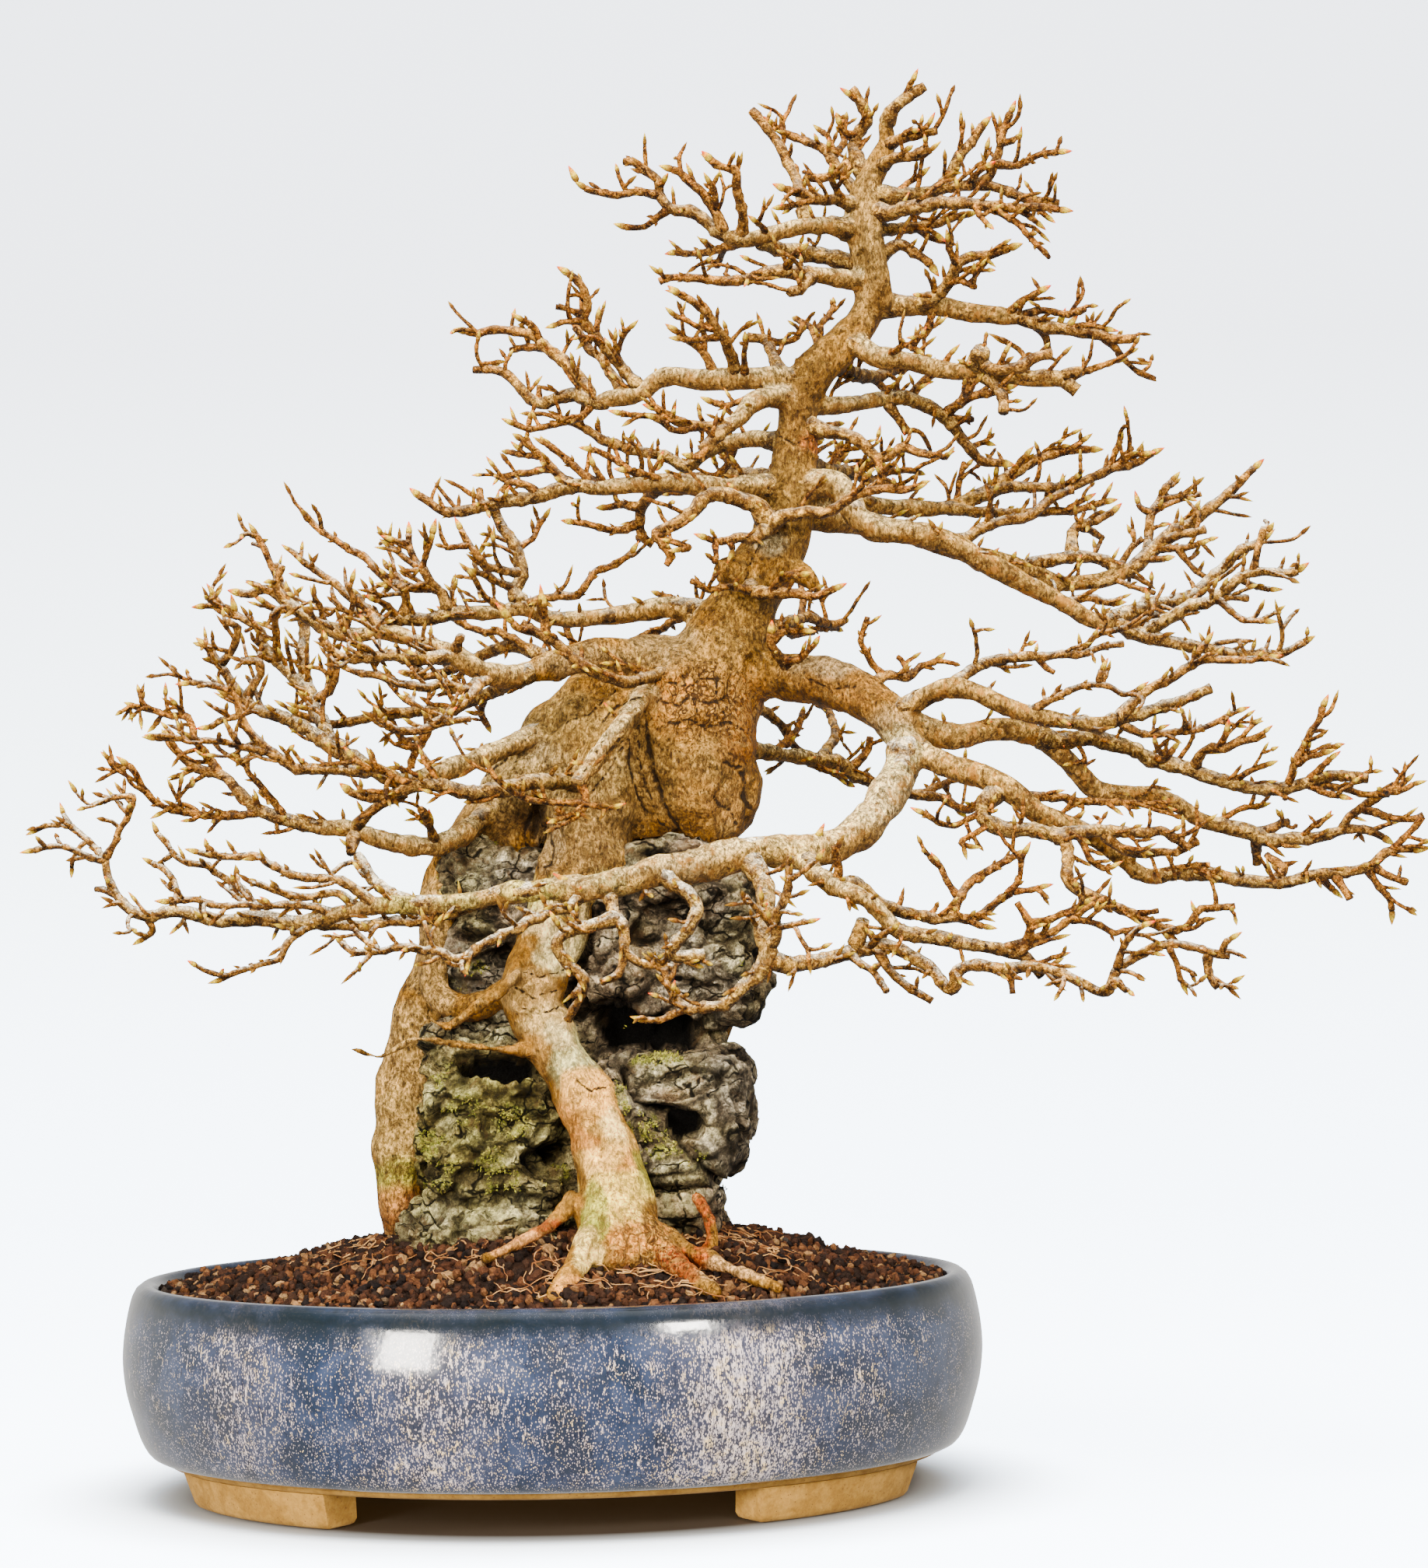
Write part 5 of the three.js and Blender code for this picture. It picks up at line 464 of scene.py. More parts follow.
    [[-14], [1.5, 1.2], BUD, [231, 656, 236, 658, 241, 661]],
    [[-22], [2.6, 2.3, 2], CUT, [218, 637, 230, 634, 243, 628, 259, 626]],
    [[-28], [1.5, 1.2], BUD, [243, 628, 250, 622, 256, 617]],
    [[4], [1.8, 1.4], BUD, [177, 631, 186, 638, 195, 645]],
    [[-26], [1.7, 1.3], BUD, [214, 637, 220, 642, 227, 647]],
  ]],
  ['branch_apex_right_low', 'twin_leader', [
    [[-18, -34, -40, -38], [4, 3.5, 3, 2.5, 2, 1.5], BUD, [166, 624, 176, 622, 188, 625, 200, 627,
      212, 627, 224, 625, 236, 624, 248, 624, 266, 622]],
    [[-46], [1.8, 1.2], CUT, [220, 626, 230, 621, 240, 614, 247, 606, 253, 599]],
    [[-48], [1.5, 1.2], BUD, [217, 626, 221, 619, 226, 614]],
    [[-32], [1.5, 1.2], BUD, [239, 624, 246, 618, 252, 613]],
  ]],
  ['branch_apex_right_back', 'leader', [
    [[12, 18], [3.3, 2.8, 2.2, 1.5], BUD, [163, 614, 178, 615, 190, 615, 202, 618, 218, 622]],
    [[22], [1.5, 1.2], BUD, [188, 615, 197, 609, 208, 606]],
    [[10], [1.5, 1.2], BUD, [184, 615, 194, 614, 201, 609]],
  ]],
  ['branch_right_hook', 'leader', [
    [[-6, -8, -8], [3.4, 2.9, 2.2, 1.5], BUD, [166, 598, 172, 603, 180, 607, 187, 604, 194, 597,
      199, 590]],
  ]],
  ['branch_right_high', 'column', [
    [[0, -4, -8, -10, -10], [7, 6, 5.2, 4.8, 4.2, 3.4, 2.8, 2.4, 2], CUT, [164, 577, 184, 576, 196, 576,
      210, 573, 224, 571, 238, 569, 250, 566, 262, 563, 275, 560, 286, 558, 296, 558]],
    [[-20, -24], [3.8, 3, 2.4, 1.6], BUD, [186, 577, 198, 581, 204, 588, 208, 596, 216, 600, 228, 602,
      240, 606]],
    [[-26], [1.6, 1.3], BUD, [208, 596, 204, 604, 203, 613]],
    [[-26], [1.7, 1.5], CUT, [204, 587, 210, 588, 217, 586]],
    [[-4], [1.6, 1.2], CUT, [279, 559, 288, 550, 296, 542, 305, 538]],
    [[-20], [2, 1.4], BUD, [231, 570, 240, 577, 246, 580, 254, 585]],
    [[-22], [2, 1.6], CUT, [238, 569, 250, 573, 262, 571, 271, 573]],
    [[4], [2, 1.7], CUT, [245, 567, 250, 560, 252, 552]],
    [[-16], [1.5, 1.2], BUD, [262, 563, 272, 565, 286, 562]],
    [[-4], [1.6, 1.3], CUT, [197, 576, 193, 567, 190, 559]],
  ]],
  ['branch_right_shelf', 'column', [
    [[-12, -22, -28, -28], [6.5, 5.6, 5.2, 5, 4.8, 4.2, 3.7, 3.2], CUT, [148, 556, 158, 557, 167, 551,
      180, 549, 195, 545, 208, 543, 220, 543, 232, 540, 246, 538, 258, 538, 266, 533]],
    [[-32], [4.2, 3.8], CUT, [216, 544, 219, 554]],
    [[-36, -34], [3, 2.8, 2.6], CUT, [219, 546, 228, 543, 238, 545, 246, 549, 254, 550]],
    [[-30], [2.8, 2.4], CUT, [256, 538, 263, 541, 268, 540]],
    [[-24], [1.8, 1.3], BUD, [260, 538, 275, 543, 291, 548]],
    [[-34], [3, 2.6], CUT, [217, 543, 224, 536, 229, 529, 229, 522]],
    [[-22], [2.6, 2], CUT, [213, 543, 213, 535, 208, 527]],
    [[-38], [1.5, 1.2], BUD, [227, 543, 230, 549, 234, 557]],
    [[-22], [1.5, 1.2], BUD, [199, 545, 203, 550, 208, 556]],
    [[-34], [1.6, 1.3], BUD, [172, 550, 180, 556, 190, 552]],
  ]],
  ['branch_right_under', 'column', [
    [[14, 24, 28, 28], [5.5, 4.4, 4, 3.7, 3.3, 2.8, 2.2, 1.7], BUD, [129, 528, 145, 527, 158, 528,
      170, 530, 181, 530, 191, 526, 199, 521, 205, 515, 210, 507, 216, 500, 224, 497, 234, 496]],
    [[22], [2.4, 1.9], CUT, [171, 530, 176, 521, 182, 512]],
    [[18], [2.4, 1.9, 1.4], BUD, [199, 521, 208, 527, 216, 530, 226, 533, 237, 536]],
    [[32], [1.8, 1.5], CUT, [201, 520, 214, 519]],
    [[36], [1.4, 1.2], BUD, [212, 504, 218, 507, 225, 506]],
    [[32], [2.2, 1.8], CUT, [183, 530, 189, 537, 197, 543]],
  ]],
  ['branch_right_slip', 'column', [
    [[-16, -24], [4.2, 3.2, 2.6, 2.2, 1.6], CUT, [127, 520, 141, 514, 152, 512, 159, 508, 166, 501,
      172, 502, 180, 506, 187, 503, 198, 502]],
    [[-26], [1.5, 1.3], CUT, [166, 501, 168, 494, 167, 487]],
  ]],
  ['branch_right_grey', 'column', [
    [[-18, -22, -18, -14, -12, -10, -8], [7, 6.8, 6.4, 6, 5.6, 5, 4.3, 3.6, 3, 2.4, 1.6], BUD, [
      122, 484, 136, 488, 147, 487, 152, 480, 156, 471, 165, 465, 176, 464, 188, 462, 198, 459,
      207, 455, 216, 449, 228, 443, 240, 436, 252, 430, 262, 424, 272, 418, 284, 416, 298, 410,
      312, 407, 326, 404, 340, 401, 354, 400, 367, 402, 380, 408]],
    [[0, 4], [4, 3.6, 3.2, 2.4, 1.6], BUD, [277, 417, 288, 421, 300, 426, 314, 427, 323, 431, 330, 438,
      337, 444, 346, 452, 355, 456, 362, 465]],
    [[-20, -24], [3, 2.8, 2.4, 1.8], BUD, [296, 411, 308, 418, 318, 423, 331, 427, 338, 433, 345, 439,
      354, 441, 366, 440, 379, 445]],
    [[-26], [1.8, 1.6], CUT, [351, 441, 354, 451, 357, 463]],
    [[-28], [1.6, 1.3], BUD, [333, 429, 341, 421, 349, 417, 363, 416]],
    [[-18], [1.5, 1.2], BUD, [344, 438, 353, 434, 365, 432]],
    [[-18], [1.8, 1.5], CUT, [331, 427, 340, 428, 349, 428]],
    [[-4], [2, 1.5], BUD, [258, 427, 269, 430, 278, 427, 288, 427]],
    [[-2], [1.5, 1.3], CUT, [289, 414, 297, 418, 304, 422]],
  ]],
  ['branch_right_mid', 'column', [
    [[22, 24, 22, 18, 16, 14], [7, 6.4, 5.8, 5, 4.4, 3.9, 3.3, 2.6, 1.6], BUD, [122, 474, 142, 470,
      160, 468, 178, 464, 196, 458, 212, 452, 230, 447, 244, 443, 254, 437, 266, 437, 280, 439,
      292, 444, 302, 452, 310, 460, 322, 467, 333, 474, 343, 483, 350, 490, 357, 496]],
    [[26], [3.6, 3.2, 3], CUT, [238, 445, 252, 449, 268, 450, 278, 447, 285, 441]],
    [[30], [3, 2.4, 1.5], BUD, [262, 450, 263, 463, 272, 467, 280, 470, 287, 476]],
    [[36], [1.8, 1.6], CUT, [266, 465, 272, 463, 277, 459]],
    [[24, 26], [2.4, 2, 1.5], BUD, [299, 450, 301, 460, 302, 470, 306, 478, 316, 491]],
    [[22], [1.5, 1.2], BUD, [302, 471, 296, 474, 294, 481]],
    [[30], [1.4, 1.2], CUT, [303, 473, 313, 476, 326, 480]],
    [[32], [1.5, 1.2], BUD, [306, 478, 315, 479, 325, 481]],
    [[6], [2.2, 2], CUT, [305, 455, 316, 460, 328, 462]],
    [[2], [1.8, 1.3], BUD, [303, 453, 316, 454, 331, 457]],
    [[20], [1.6, 1.3], BUD, [312, 461, 319, 468, 326, 477]],
    [[10], [1.6, 1.2], CUT, [314, 454, 320, 446, 327, 438]],
    [[8], [1.4, 1.2], CUT, [281, 440, 290, 435, 302, 431]],
    [[24], [1.7, 1.4], CUT, [284, 442, 290, 452, 298, 459]],
    [[10], [1.7, 1.3], BUD, [298, 448, 304, 448, 312, 449]],
    [[32, 36], [3, 2.6, 1.8], CUT, [200, 457, 214, 463, 228, 468, 240, 470, 250, 478, 264, 483]],
  ]],
  ['branch_right_upper', 'column', [
    [[34, 44, 48, 48], [6.5, 5.2, 4.6, 4.2, 3.6, 3, 2.2, 1.5], BUD, [124, 486, 142, 480, 158, 478,
      174, 476, 190, 475, 204, 476, 218, 482, 230, 489, 242, 496, 254, 501, 265, 503, 278, 503]],
    [[44], [1.6, 1.3], BUD, [256, 502, 265, 505, 272, 510]],
    [[42], [1.7, 1.3], BUD, [232, 490, 238, 498, 244, 505]],
    [[40, 36], [3, 2.6, 2.2, 1.5], BUD, [212, 479, 228, 484, 242, 485, 258, 484, 270, 488, 281, 493,
      293, 496, 308, 503]],
    [[38], [1.6, 1.3], BUD, [281, 493, 285, 502, 288, 513]],
    [[34], [1.6, 1.3], BUD, [285, 494, 292, 499, 303, 501]],
    [[46], [1.5, 1.3], CUT, [284, 494, 288, 499, 293, 503]],
    [[34], [1.6, 1.3], BUD, [257, 484, 263, 488, 269, 493]],
    [[44, 46], [2.8, 2.3, 1.5], BUD, [198, 475, 215, 473, 232, 472, 248, 472, 262, 473, 272, 475,
      285, 478]],
    [[42], [1.6, 1.3], BUD, [260, 473, 267, 478, 274, 481]],
    [[52], [1.5, 1.2], CUT, [205, 477, 207, 486, 209, 497]],
  ]],
  ['branch_right_cut', 'fork', [
    [[-44, -44, -40, -36], [6.2, 5.7, 5.1, 4.6, 4, 3.4, 2.9, 2.4], CUT, [170, 371, 182, 378, 192, 384,
      202, 386, 214, 383, 226, 377, 240, 372, 254, 369, 268, 367, 282, 368, 296, 372, 310, 376,
      320, 380, 329, 384]],
    [[-46, -48], [2.8, 2.4, 2, 1.5], BUD, [282, 368, 290, 376, 300, 384, 311, 389, 322, 397, 336, 397,
      350, 398, 363, 399]],
    [[-52], [1.6, 1.3], BUD, [321, 396, 325, 403, 330, 410]],
    [[-30, -30], [2, 1.7, 1.3], BUD, [283, 368, 289, 364, 298, 361, 312, 362, 324, 364, 336, 369,
      348, 374]],
    [[-50, -52], [2, 1.7, 1.3], BUD, [238, 373, 252, 380, 262, 385, 272, 387, 280, 385, 288, 381,
      298, 387]],
    [[-54], [1.5, 1.2], BUD, [274, 387, 275, 393, 278, 398]],
    [[-34, -30, -26], [3, 2.7, 2.3, 1.9, 1.6], CUT, [200, 386, 212, 395, 223, 400, 238, 401, 252, 401,
      264, 402, 276, 405, 287, 407]],
    [[-22], [1.6, 1.3], CUT, [262, 402, 272, 410, 286, 414, 304, 421]],
    [[-30], [1.5, 1.3], CUT, [243, 401, 247, 397, 252, 393]],
    [[-26], [1.5, 1.3], BUD, [220, 399, 225, 396, 230, 393]],
  ]],
  ['branch_fork_twigs', 'fork', [
    [[-16, -8], [2.6, 2, 1.4], BUD, [158, 384, 168, 392, 180, 392, 188, 397, 198, 403]],
    [[-8], [1.5, 1.2], CUT, [179, 392, 178, 397, 174, 401]],
    [[-22], [1.6, 1.3], CUT, [168, 392, 160, 402, 157, 411, 160, 421]],
  ]],
  ['branch_right_long', 'fork', [
    [[-28, -16, -6, 0, 0, -2], [7.5, 6.6, 6, 5.5, 5, 4.5, 4, 3.4, 2.6, 1.6], BUD, [168, 371, 182, 368,
      194, 363, 206, 362, 220, 365, 234, 364, 246, 359, 256, 351, 264, 342, 272, 334, 284, 332,
      298, 331, 312, 326, 322, 319, 334, 315, 346, 312, 356, 308, 368, 308, 382, 309, 395, 312,
      405, 311, 418, 305]],
    [[-14, -20, -22], [4.6, 4.2, 3.8, 3.6, 3.3, 2.9, 2.4], CUT, [240, 362, 256, 359, 270, 360, 284, 356,
      298, 350, 312, 346, 326, 340, 340, 336, 354, 334, 366, 334, 378, 338, 392, 340, 406, 338]],
    [[-26], [1.8, 1.5], BUD, [366, 334, 371, 347, 377, 358, 382, 367, 387, 379]],
    [[-28], [1.6, 1.3], BUD, [370, 345, 380, 349, 389, 352]],
    [[-28, -30], [2.4, 2, 1.9], CUT, [320, 343, 324, 352, 335, 354, 345, 357, 355, 361]],
    [[-34], [1.6, 1.3], BUD, [333, 354, 335, 361, 338, 368]],
    [[-30], [1.8, 1.3], BUD, [338, 337, 350, 343, 361, 347]],
    [[-12, -8], [1.9, 1.6, 1.3], BUD, [376, 337, 392, 333, 406, 330, 418, 332, 429, 340]],
    [[-16], [1.5, 1.2], BUD, [410, 331, 422, 332, 434, 336]],
    [[-28], [1.7, 1.3], BUD, [376, 337, 384, 345, 392, 351]],
    [[-30], [1.6, 1.3], BUD, [300, 350, 306, 350, 313, 357]],
    [[-36], [1.5, 1.2], BUD, [306, 350, 303, 354, 301, 360]],
    [[-10], [2.2, 1.8], CUT, [392, 312, 397, 319, 405, 326, 414, 331]],
    [[-14], [1.8, 1.6], CUT, [402, 323, 412, 320, 421, 317, 433, 319]],
    [[8], [2.2, 2], CUT, [348, 311, 357, 314, 366, 316]],
    [[8], [2.4, 2], CUT, [350, 310, 350, 303, 351, 296]],
    [[-8], [1.4, 1.2], BUD, [371, 308, 380, 315, 388, 320]],
    [[-24], [1.7, 1.3], BUD, [374, 336, 386, 330, 397, 328]],
    [[8], [1.6, 1.3], BUD, [330, 316, 343, 324, 356, 326]],
  ]],
  ['branch_right_low', 'branch_front_sweep', [
    [[-52, -48, -44, -42, -42], [6.6, 6.4, 6.2, 5.6, 5, 4.4, 3.8, 3.2, 2.8, 2.4, 1.6], BUD, [177, 362,
      187, 353, 200, 347, 213, 343, 224, 338, 234, 331, 243, 323, 254, 318, 264, 314, 274, 308,
      284, 300, 292, 293, 300, 291, 312, 293, 326, 292, 340, 289, 354, 287, 366, 287, 380, 291,
      394, 292, 406, 294, 416, 301, 433, 302]],
    [[-62, -60, -56], [4.2, 4, 3.7, 3.4, 3, 2.4, 1.8], CUT, [226, 337, 219, 330, 216, 322, 224, 317,
      236, 316, 249, 313, 262, 314, 276, 314, 290, 313, 302, 313, 311, 309, 317, 304]],
    [[-70, -72, -70], [3.2, 3, 2.8, 2.5, 2], CUT, [249, 313, 256, 309, 257, 300, 256, 292, 262, 285,
      274, 279, 288, 273, 302, 266, 309, 259]],
    [[-74], [2, 1.6], CUT, [303, 265, 314, 267, 322, 274, 339, 276]],
    [[-74], [1.5, 1.3], CUT, [289, 273, 302, 274]],
    [[-50], [2.6, 2.1, 1.8], CUT, [274, 314, 281, 307, 290, 303, 302, 303, 312, 304, 321, 309]],
    [[-64], [1.6, 1.3], BUD, [262, 313, 268, 300, 276, 295, 284, 299]],
    [[-44], [1.8, 1.6], CUT, [416, 301, 424, 309, 432, 318]],
    [[-46], [1.8, 1.6], CUT, [407, 295, 415, 289, 424, 286]],
    [[-38], [1.7, 1.4], BUD, [404, 294, 411, 284, 416, 276, 416, 266]],
    [[-46], [2, 1.9], CUT, [388, 292, 392, 284, 396, 278]],
    [[-38], [1.7, 1.3], BUD, [381, 291, 386, 284, 392, 279]],
    [[-48], [1.8, 1.5], CUT, [301, 291, 311, 295, 327, 297]],
    [[-40, -36], [2.2, 1.8, 1.3], BUD, [233, 332, 248, 331, 264, 329, 280, 328, 296, 327, 310, 324]],
    [[-34], [2.2, 1.8], CUT, [358, 287, 362, 294, 355, 302]],
    [[-60], [1.6, 1.3], BUD, [217, 325, 206, 320, 196, 319, 180, 327]],
    [[-62], [1.6, 1.3], BUD, [220, 319, 212, 314, 204, 309, 212, 307]],
  ]],
  ['branch_back_low', 'back_muscle', [
    [[44, 74, 96, 108], [5.5, 4.6, 4, 3.4, 2.6, 1.6], BUD, [76, 366, 92, 362, 106, 356, 124, 353,
      142, 350, 156, 342, 168, 336, 182, 333, 197, 331, 207, 322]],
    [[70, 88], [3.2, 2.6, 2, 1.5], BUD, [88, 363, 102, 376, 114, 372, 122, 360, 133, 352]],
    [[112], [2.8, 2.2, 1.6], BUD, [136, 351, 143, 364, 140, 376, 132, 381]],
    [[84], [2.2, 1.6], CUT, [150, 346, 158, 355, 160, 362]],
    [[118], [2, 1.4], BUD, [182, 333, 196, 338, 208, 346]],
    [[96], [1.8, 1.3], BUD, [196, 331, 208, 325, 216, 334]],
    [[84], [1.8, 1.4], BUD, [112, 355, 124, 366, 128, 378]],
    [[90], [1.8, 1.4], BUD, [124, 353, 138, 346, 152, 338]],
  ]],
  ['branch_back_mid', 'back_muscle', [
    [[48, 84, 112], [5, 4, 3.2, 2.4, 1.5], BUD, [82, 402, 96, 410, 112, 416, 128, 421, 142, 419,
      151, 421]],
    [[104], [1.8, 1.4], CUT, [127, 421, 129, 431, 127, 440]],
    [[118], [1.8, 1.3], BUD, [114, 417, 126, 413, 137, 416, 148, 415]],
    [[100, 124], [2.6, 2, 1.4], BUD, [100, 411, 88, 418, 74, 424, 58, 418, 44, 412]],
    [[112], [1.7, 1.3], BUD, [78, 422, 66, 432, 54, 436]],
  ]],
  ['branch_back_left', 'back_muscle', [
    [[60, 92, 112, 120], [5, 4.2, 3.4, 2.6, 1.5], BUD, [62, 384, 42, 390, 22, 400, 2, 404, -18, 410,
      -36, 404, -54, 396, -72, 398]],
    [[108], [2, 1.4], BUD, [-4, 405, -20, 416, -38, 420, -52, 430]],
    [[126], [1.8, 1.3], BUD, [-26, 408, -40, 398, -52, 386]],
    [[96], [2, 1.4], BUD, [26, 398, 14, 412, 10, 426]],
  ]],
  ['branch_back_upper', 'column', [
    [[34, 62, 86], [4.8, 3.8, 2.8, 1.5], BUD, [124, 490, 112, 492, 98, 494, 84, 492, 68, 494]],
    [[70], [1.8, 1.3], BUD, [98, 494, 90, 504, 78, 508]],
    [[88], [1.7, 1.3], BUD, [86, 492, 74, 486, 60, 484]],
    [[50, 78], [2.8, 2, 1.4], BUD, [114, 492, 124, 502, 138, 512, 150, 518]],
  ]],
  ['branch_back_right', 'column', [
    [[36, 66, 88], [4.2, 3.2, 2.4, 1.5], BUD, [126, 500, 136, 497, 150, 494, 165, 489, 181, 485]],
    [[72], [1.7, 1.3], BUD, [150, 494, 160, 497, 171, 497]],
    [[92], [1.7, 1.3], BUD, [164, 489, 178, 494, 190, 492]],
    [[84], [1.6, 1.3], CUT, [140, 496, 148, 500, 152, 506]],
  ]],
  ['branch_back_high', 'column', [
    [[30, 56, 74], [4.4, 3.4, 2.4, 1.5], BUD, [142, 549, 154, 543, 166, 541, 180, 545, 194, 551]],
    [[60], [1.8, 1.3], BUD, [164, 541, 174, 533, 188, 530]],
    [[40, 66], [2.6, 2, 1.4], BUD, [152, 544, 140, 556, 134, 566, 126, 571]],
    [[72], [1.6, 1.3], BUD, [136, 563, 144, 572, 146, 580]],
  ]],
  ['branch_front_twig', 'column', [
    [[-20], [3.6, 3.4], CUT, [103, 439, 104, 435]],
    [[-28, -36], [3, 2.4, 2, 1.4], BUD, [104, 435, 112, 434, 124, 434, 136, 433, 149, 438]],
    [[-40], [1.8, 1.4], BUD, [112, 434, 120, 442, 132, 444]],
    [[-36], [2, 1.5], CUT, [104, 435, 94, 438, 82, 436, 74, 441]],
  ]],
  ['branch_front_bud_shoot', 'fork', [
    [[-22, -26], [2.6, 2.2, 1.6], BUD, [124, 393, 116, 404, 112, 411, 113, 421]],
    [[-30], [1.8, 1.4], BUD, [113, 410, 120, 415, 134, 415]],
    [[-32], [1.6, 1.3], BUD, [119, 401, 128, 402, 136, 412]],
  ]],
]


# Layout: from the flat paths to points round the trunk.
def reach(depth):
    """How much larger things are at this depth than on the middle plane, to look the same size."""
    return (depth - EYE[1]) / -EYE[1]


def place(x, z, depth):
    """The point at this depth that shows at x and z of the layout."""
    k = reach(depth)
    return np.array([EYE[0] + (x - EYE[0]) * k, depth, EYE[2] + (z + VIEW_RAISE - EYE[2]) * k])


def spread(values, t):
    """The value at t, from 0 to 1, along evenly spaced values."""
    if len(values) == 1:
        return values[0]
    s = t * (len(values) - 1)
    i = min(int(s), len(values) - 2)
    return values[i] + (values[i + 1] - values[i]) * (s - i)


def nearest_on(limbs, x, z):
    """Distance, x, z, depth and radius where the limbs pass nearest to a point of the layout."""
    best = (1e9, 0, 0, 0, 0)
    for limb in limbs:
        for a, b in zip(limb, limb[1:]):
            dx, dz = b[0] - a[0], b[1] - a[1]
            t = ((x - a[0]) * dx + (z - a[1]) * dz) / (dx * dx + dz * dz)
            t = min(max(t, 0), 1)
            px, pz = a[0] + t * dx, a[1] + t * dz
            d = math.hypot(px - x, pz - z)
            if d < best[0]:
                best = (d, px, pz, a[2] + t * (b[2] - a[2]), a[3] + t * (b[3] - a[3]))
    return best


def samples_of(start, depths, radii, path):
    """The path as [x, z, depth, radius], starting on its host's middle line."""
    flat = list(zip(path[::2], path[1::2]))
    foot = (start[1], start[2])
    if math.dist(flat[0], foot) > SAME_POINT:
        flat.insert(0, foot)
    else:
        flat[0] = foot
    run = [0]
    for a, b in zip(flat, flat[1:]):
        run.append(run[-1] + math.dist(a, b))
    all_depths = [start[3]] + [d * DEPTH_SPREAD for d in depths]
    shares = [r / run[-1] for r in run]
    return [(x, z, spread(all_depths, share), spread(radii, share)) for (x, z), share in zip(flat, shares)]


def solid_points(samples):
    """Points and radii in space of a path of the layout."""
    points = np.array([place(x, z, d) for x, z, d, _ in samples])
    radii = np.array([r * reach(d) for _, _, d, r in samples])
    return points, radii


def smooth_path(points, radii, step):
    """Points every step along a smooth curve through the given ones, with their radii."""
    p = np.vstack([2 * points[0] - points[1], points, 2 * points[-1] - points[-2]])
    out, out_r = [], []
    for i in range(1, len(p) - 2):
        length = np.linalg.norm(p[i + 1] - p[i])
        n = max(1, int(round(length / step)))
        for t in np.arange(n) / n:
            a, b, c, d = p[i - 1], p[i], p[i + 1], p[i + 2]
            q = 0.5 * (2 * b + (c - a) * t + (2 * a - 5 * b + 4 * c - d) * t ** 2
                       + (3 * b - a - 3 * c + d) * t ** 3)
            out.append(q)
            out_r.append(radii[i - 1] + (radii[i] - radii[i - 1]) * t)
    out.append(points[-1])
    out_r.append(radii[-1])
    return np.array(out), np.array(out_r)


# Meshes.
def unit(v):
    return v / (np.linalg.norm(v) + 1e-9)


def run_along(points):
    """The length of the path up to each of its points."""
    return np.concatenate([[0], np.cumsum(np.linalg.norm(np.diff(points, axis=0), axis=1))])


class Pile:
    """Gathers vertices, faces and point attributes of one piece."""

    def __init__(self, *names):
        self.verts, self.faces, self.count = [], [], 0
        self.values = {name: [] for name in names}

    def add(self, verts, faces, **values):
        verts = np.asarray(verts, float)
        self.verts.append(verts)
        self.faces += [tuple(v + self.count for v in face) for face in faces]
        self.count += len(verts)
        for name, store in self.values.items():
            store.append(np.broadcast_to(np.asarray(values.get(name, 0.0), float), (len(verts),)))

    def build(self, name, material, smooth=True):
        """Vertices are given in pot millimetres, and the object in metres in the row's frame."""
        mesh = bpy.data.meshes.new(name)
        verts = np.vstack(self.verts) * MM + CENTRE
        mesh.from_pydata(verts.tolist(), [], self.faces)
        for key, store in self.values.items():
            attribute = mesh.attributes.new(key, "FLOAT", "POINT")
            attribute.data.foreach_set("value", np.concatenate(store).astype(np.float32))
        mesh.polygons.foreach_set("use_smooth", [smooth] * len(mesh.polygons))
        mesh.update()
        obj = bpy.data.objects.new(name, mesh)
        scene.collection.objects.link(obj)
        mesh.materials.append(material)
        return obj


# No limb starts out along this direction, so it can be turned square to each.
FIRST_SIDE = np.array([0.31, -1.0, 0.23])


def rings_along(points, radii, sides, ripple=0.0, seed=0.0):
    """Rings of a tube that turn with the curve, as an array [ring, side, xyz]."""
    tangents = np.gradient(points, axis=0)
    tangents /= np.linalg.norm(tangents, axis=1)[:, None] + 1e-9
    normal = FIRST_SIDE
    angles = np.arange(sides) * 2 * math.pi / sides
    rings = np.empty((len(points), sides, 3))
    run = run_along(points)
    for i, tangent in enumerate(tangents):
        normal = unit(normal - normal.dot(tangent) * tangent)
        side = np.cross(tangent, normal)
        wobble = 1 + ripple * (np.sin(2 * angles + 0.21 * run[i] + seed)
                               + np.sin(3 * angles - 0.13 * run[i] + 2 * seed)
                               + 0.7 * np.sin(5 * angles + 0.09 * run[i] + 3 * seed)) / 2
        rings[i] = points[i] + radii[i] * wobble[:, None] * (
            np.cos(angles)[:, None] * normal + np.sin(angles)[:, None] * side)
    return rings


def tube_mesh(rings, tip=None, root=None):
    """Vertices and faces of a closed tube; it ends in a point at tip, or flat."""
    count, sides, _ = rings.shape
    verts = rings.reshape(-1, 3)
    root = rings[0].mean(axis=0) if root is None else root
    tip = rings[-1].mean(axis=0) if tip is None else tip
    verts = np.vstack([verts, root, tip])
    faces = []
    for i in range(count - 1):
        a = i * sides
        faces += [(a + k, a + (k + 1) % sides, a + sides + (k + 1) % sides, a + sides + k)
                  for k in range(sides)]
    last = (count - 1) * sides
    faces += [(count * sides, (k + 1) % sides, k) for k in range(sides)]
    faces += [(count * sides + 1, last + k, last + (k + 1) % sides) for k in range(sides)]
    return verts, faces


def apply_modifiers(obj):
    mesh = bpy.data.meshes.new_from_object(obj.evaluated_get(bpy.context.evaluated_depsgraph_get()))
    obj.modifiers.clear()
    obj.data = mesh


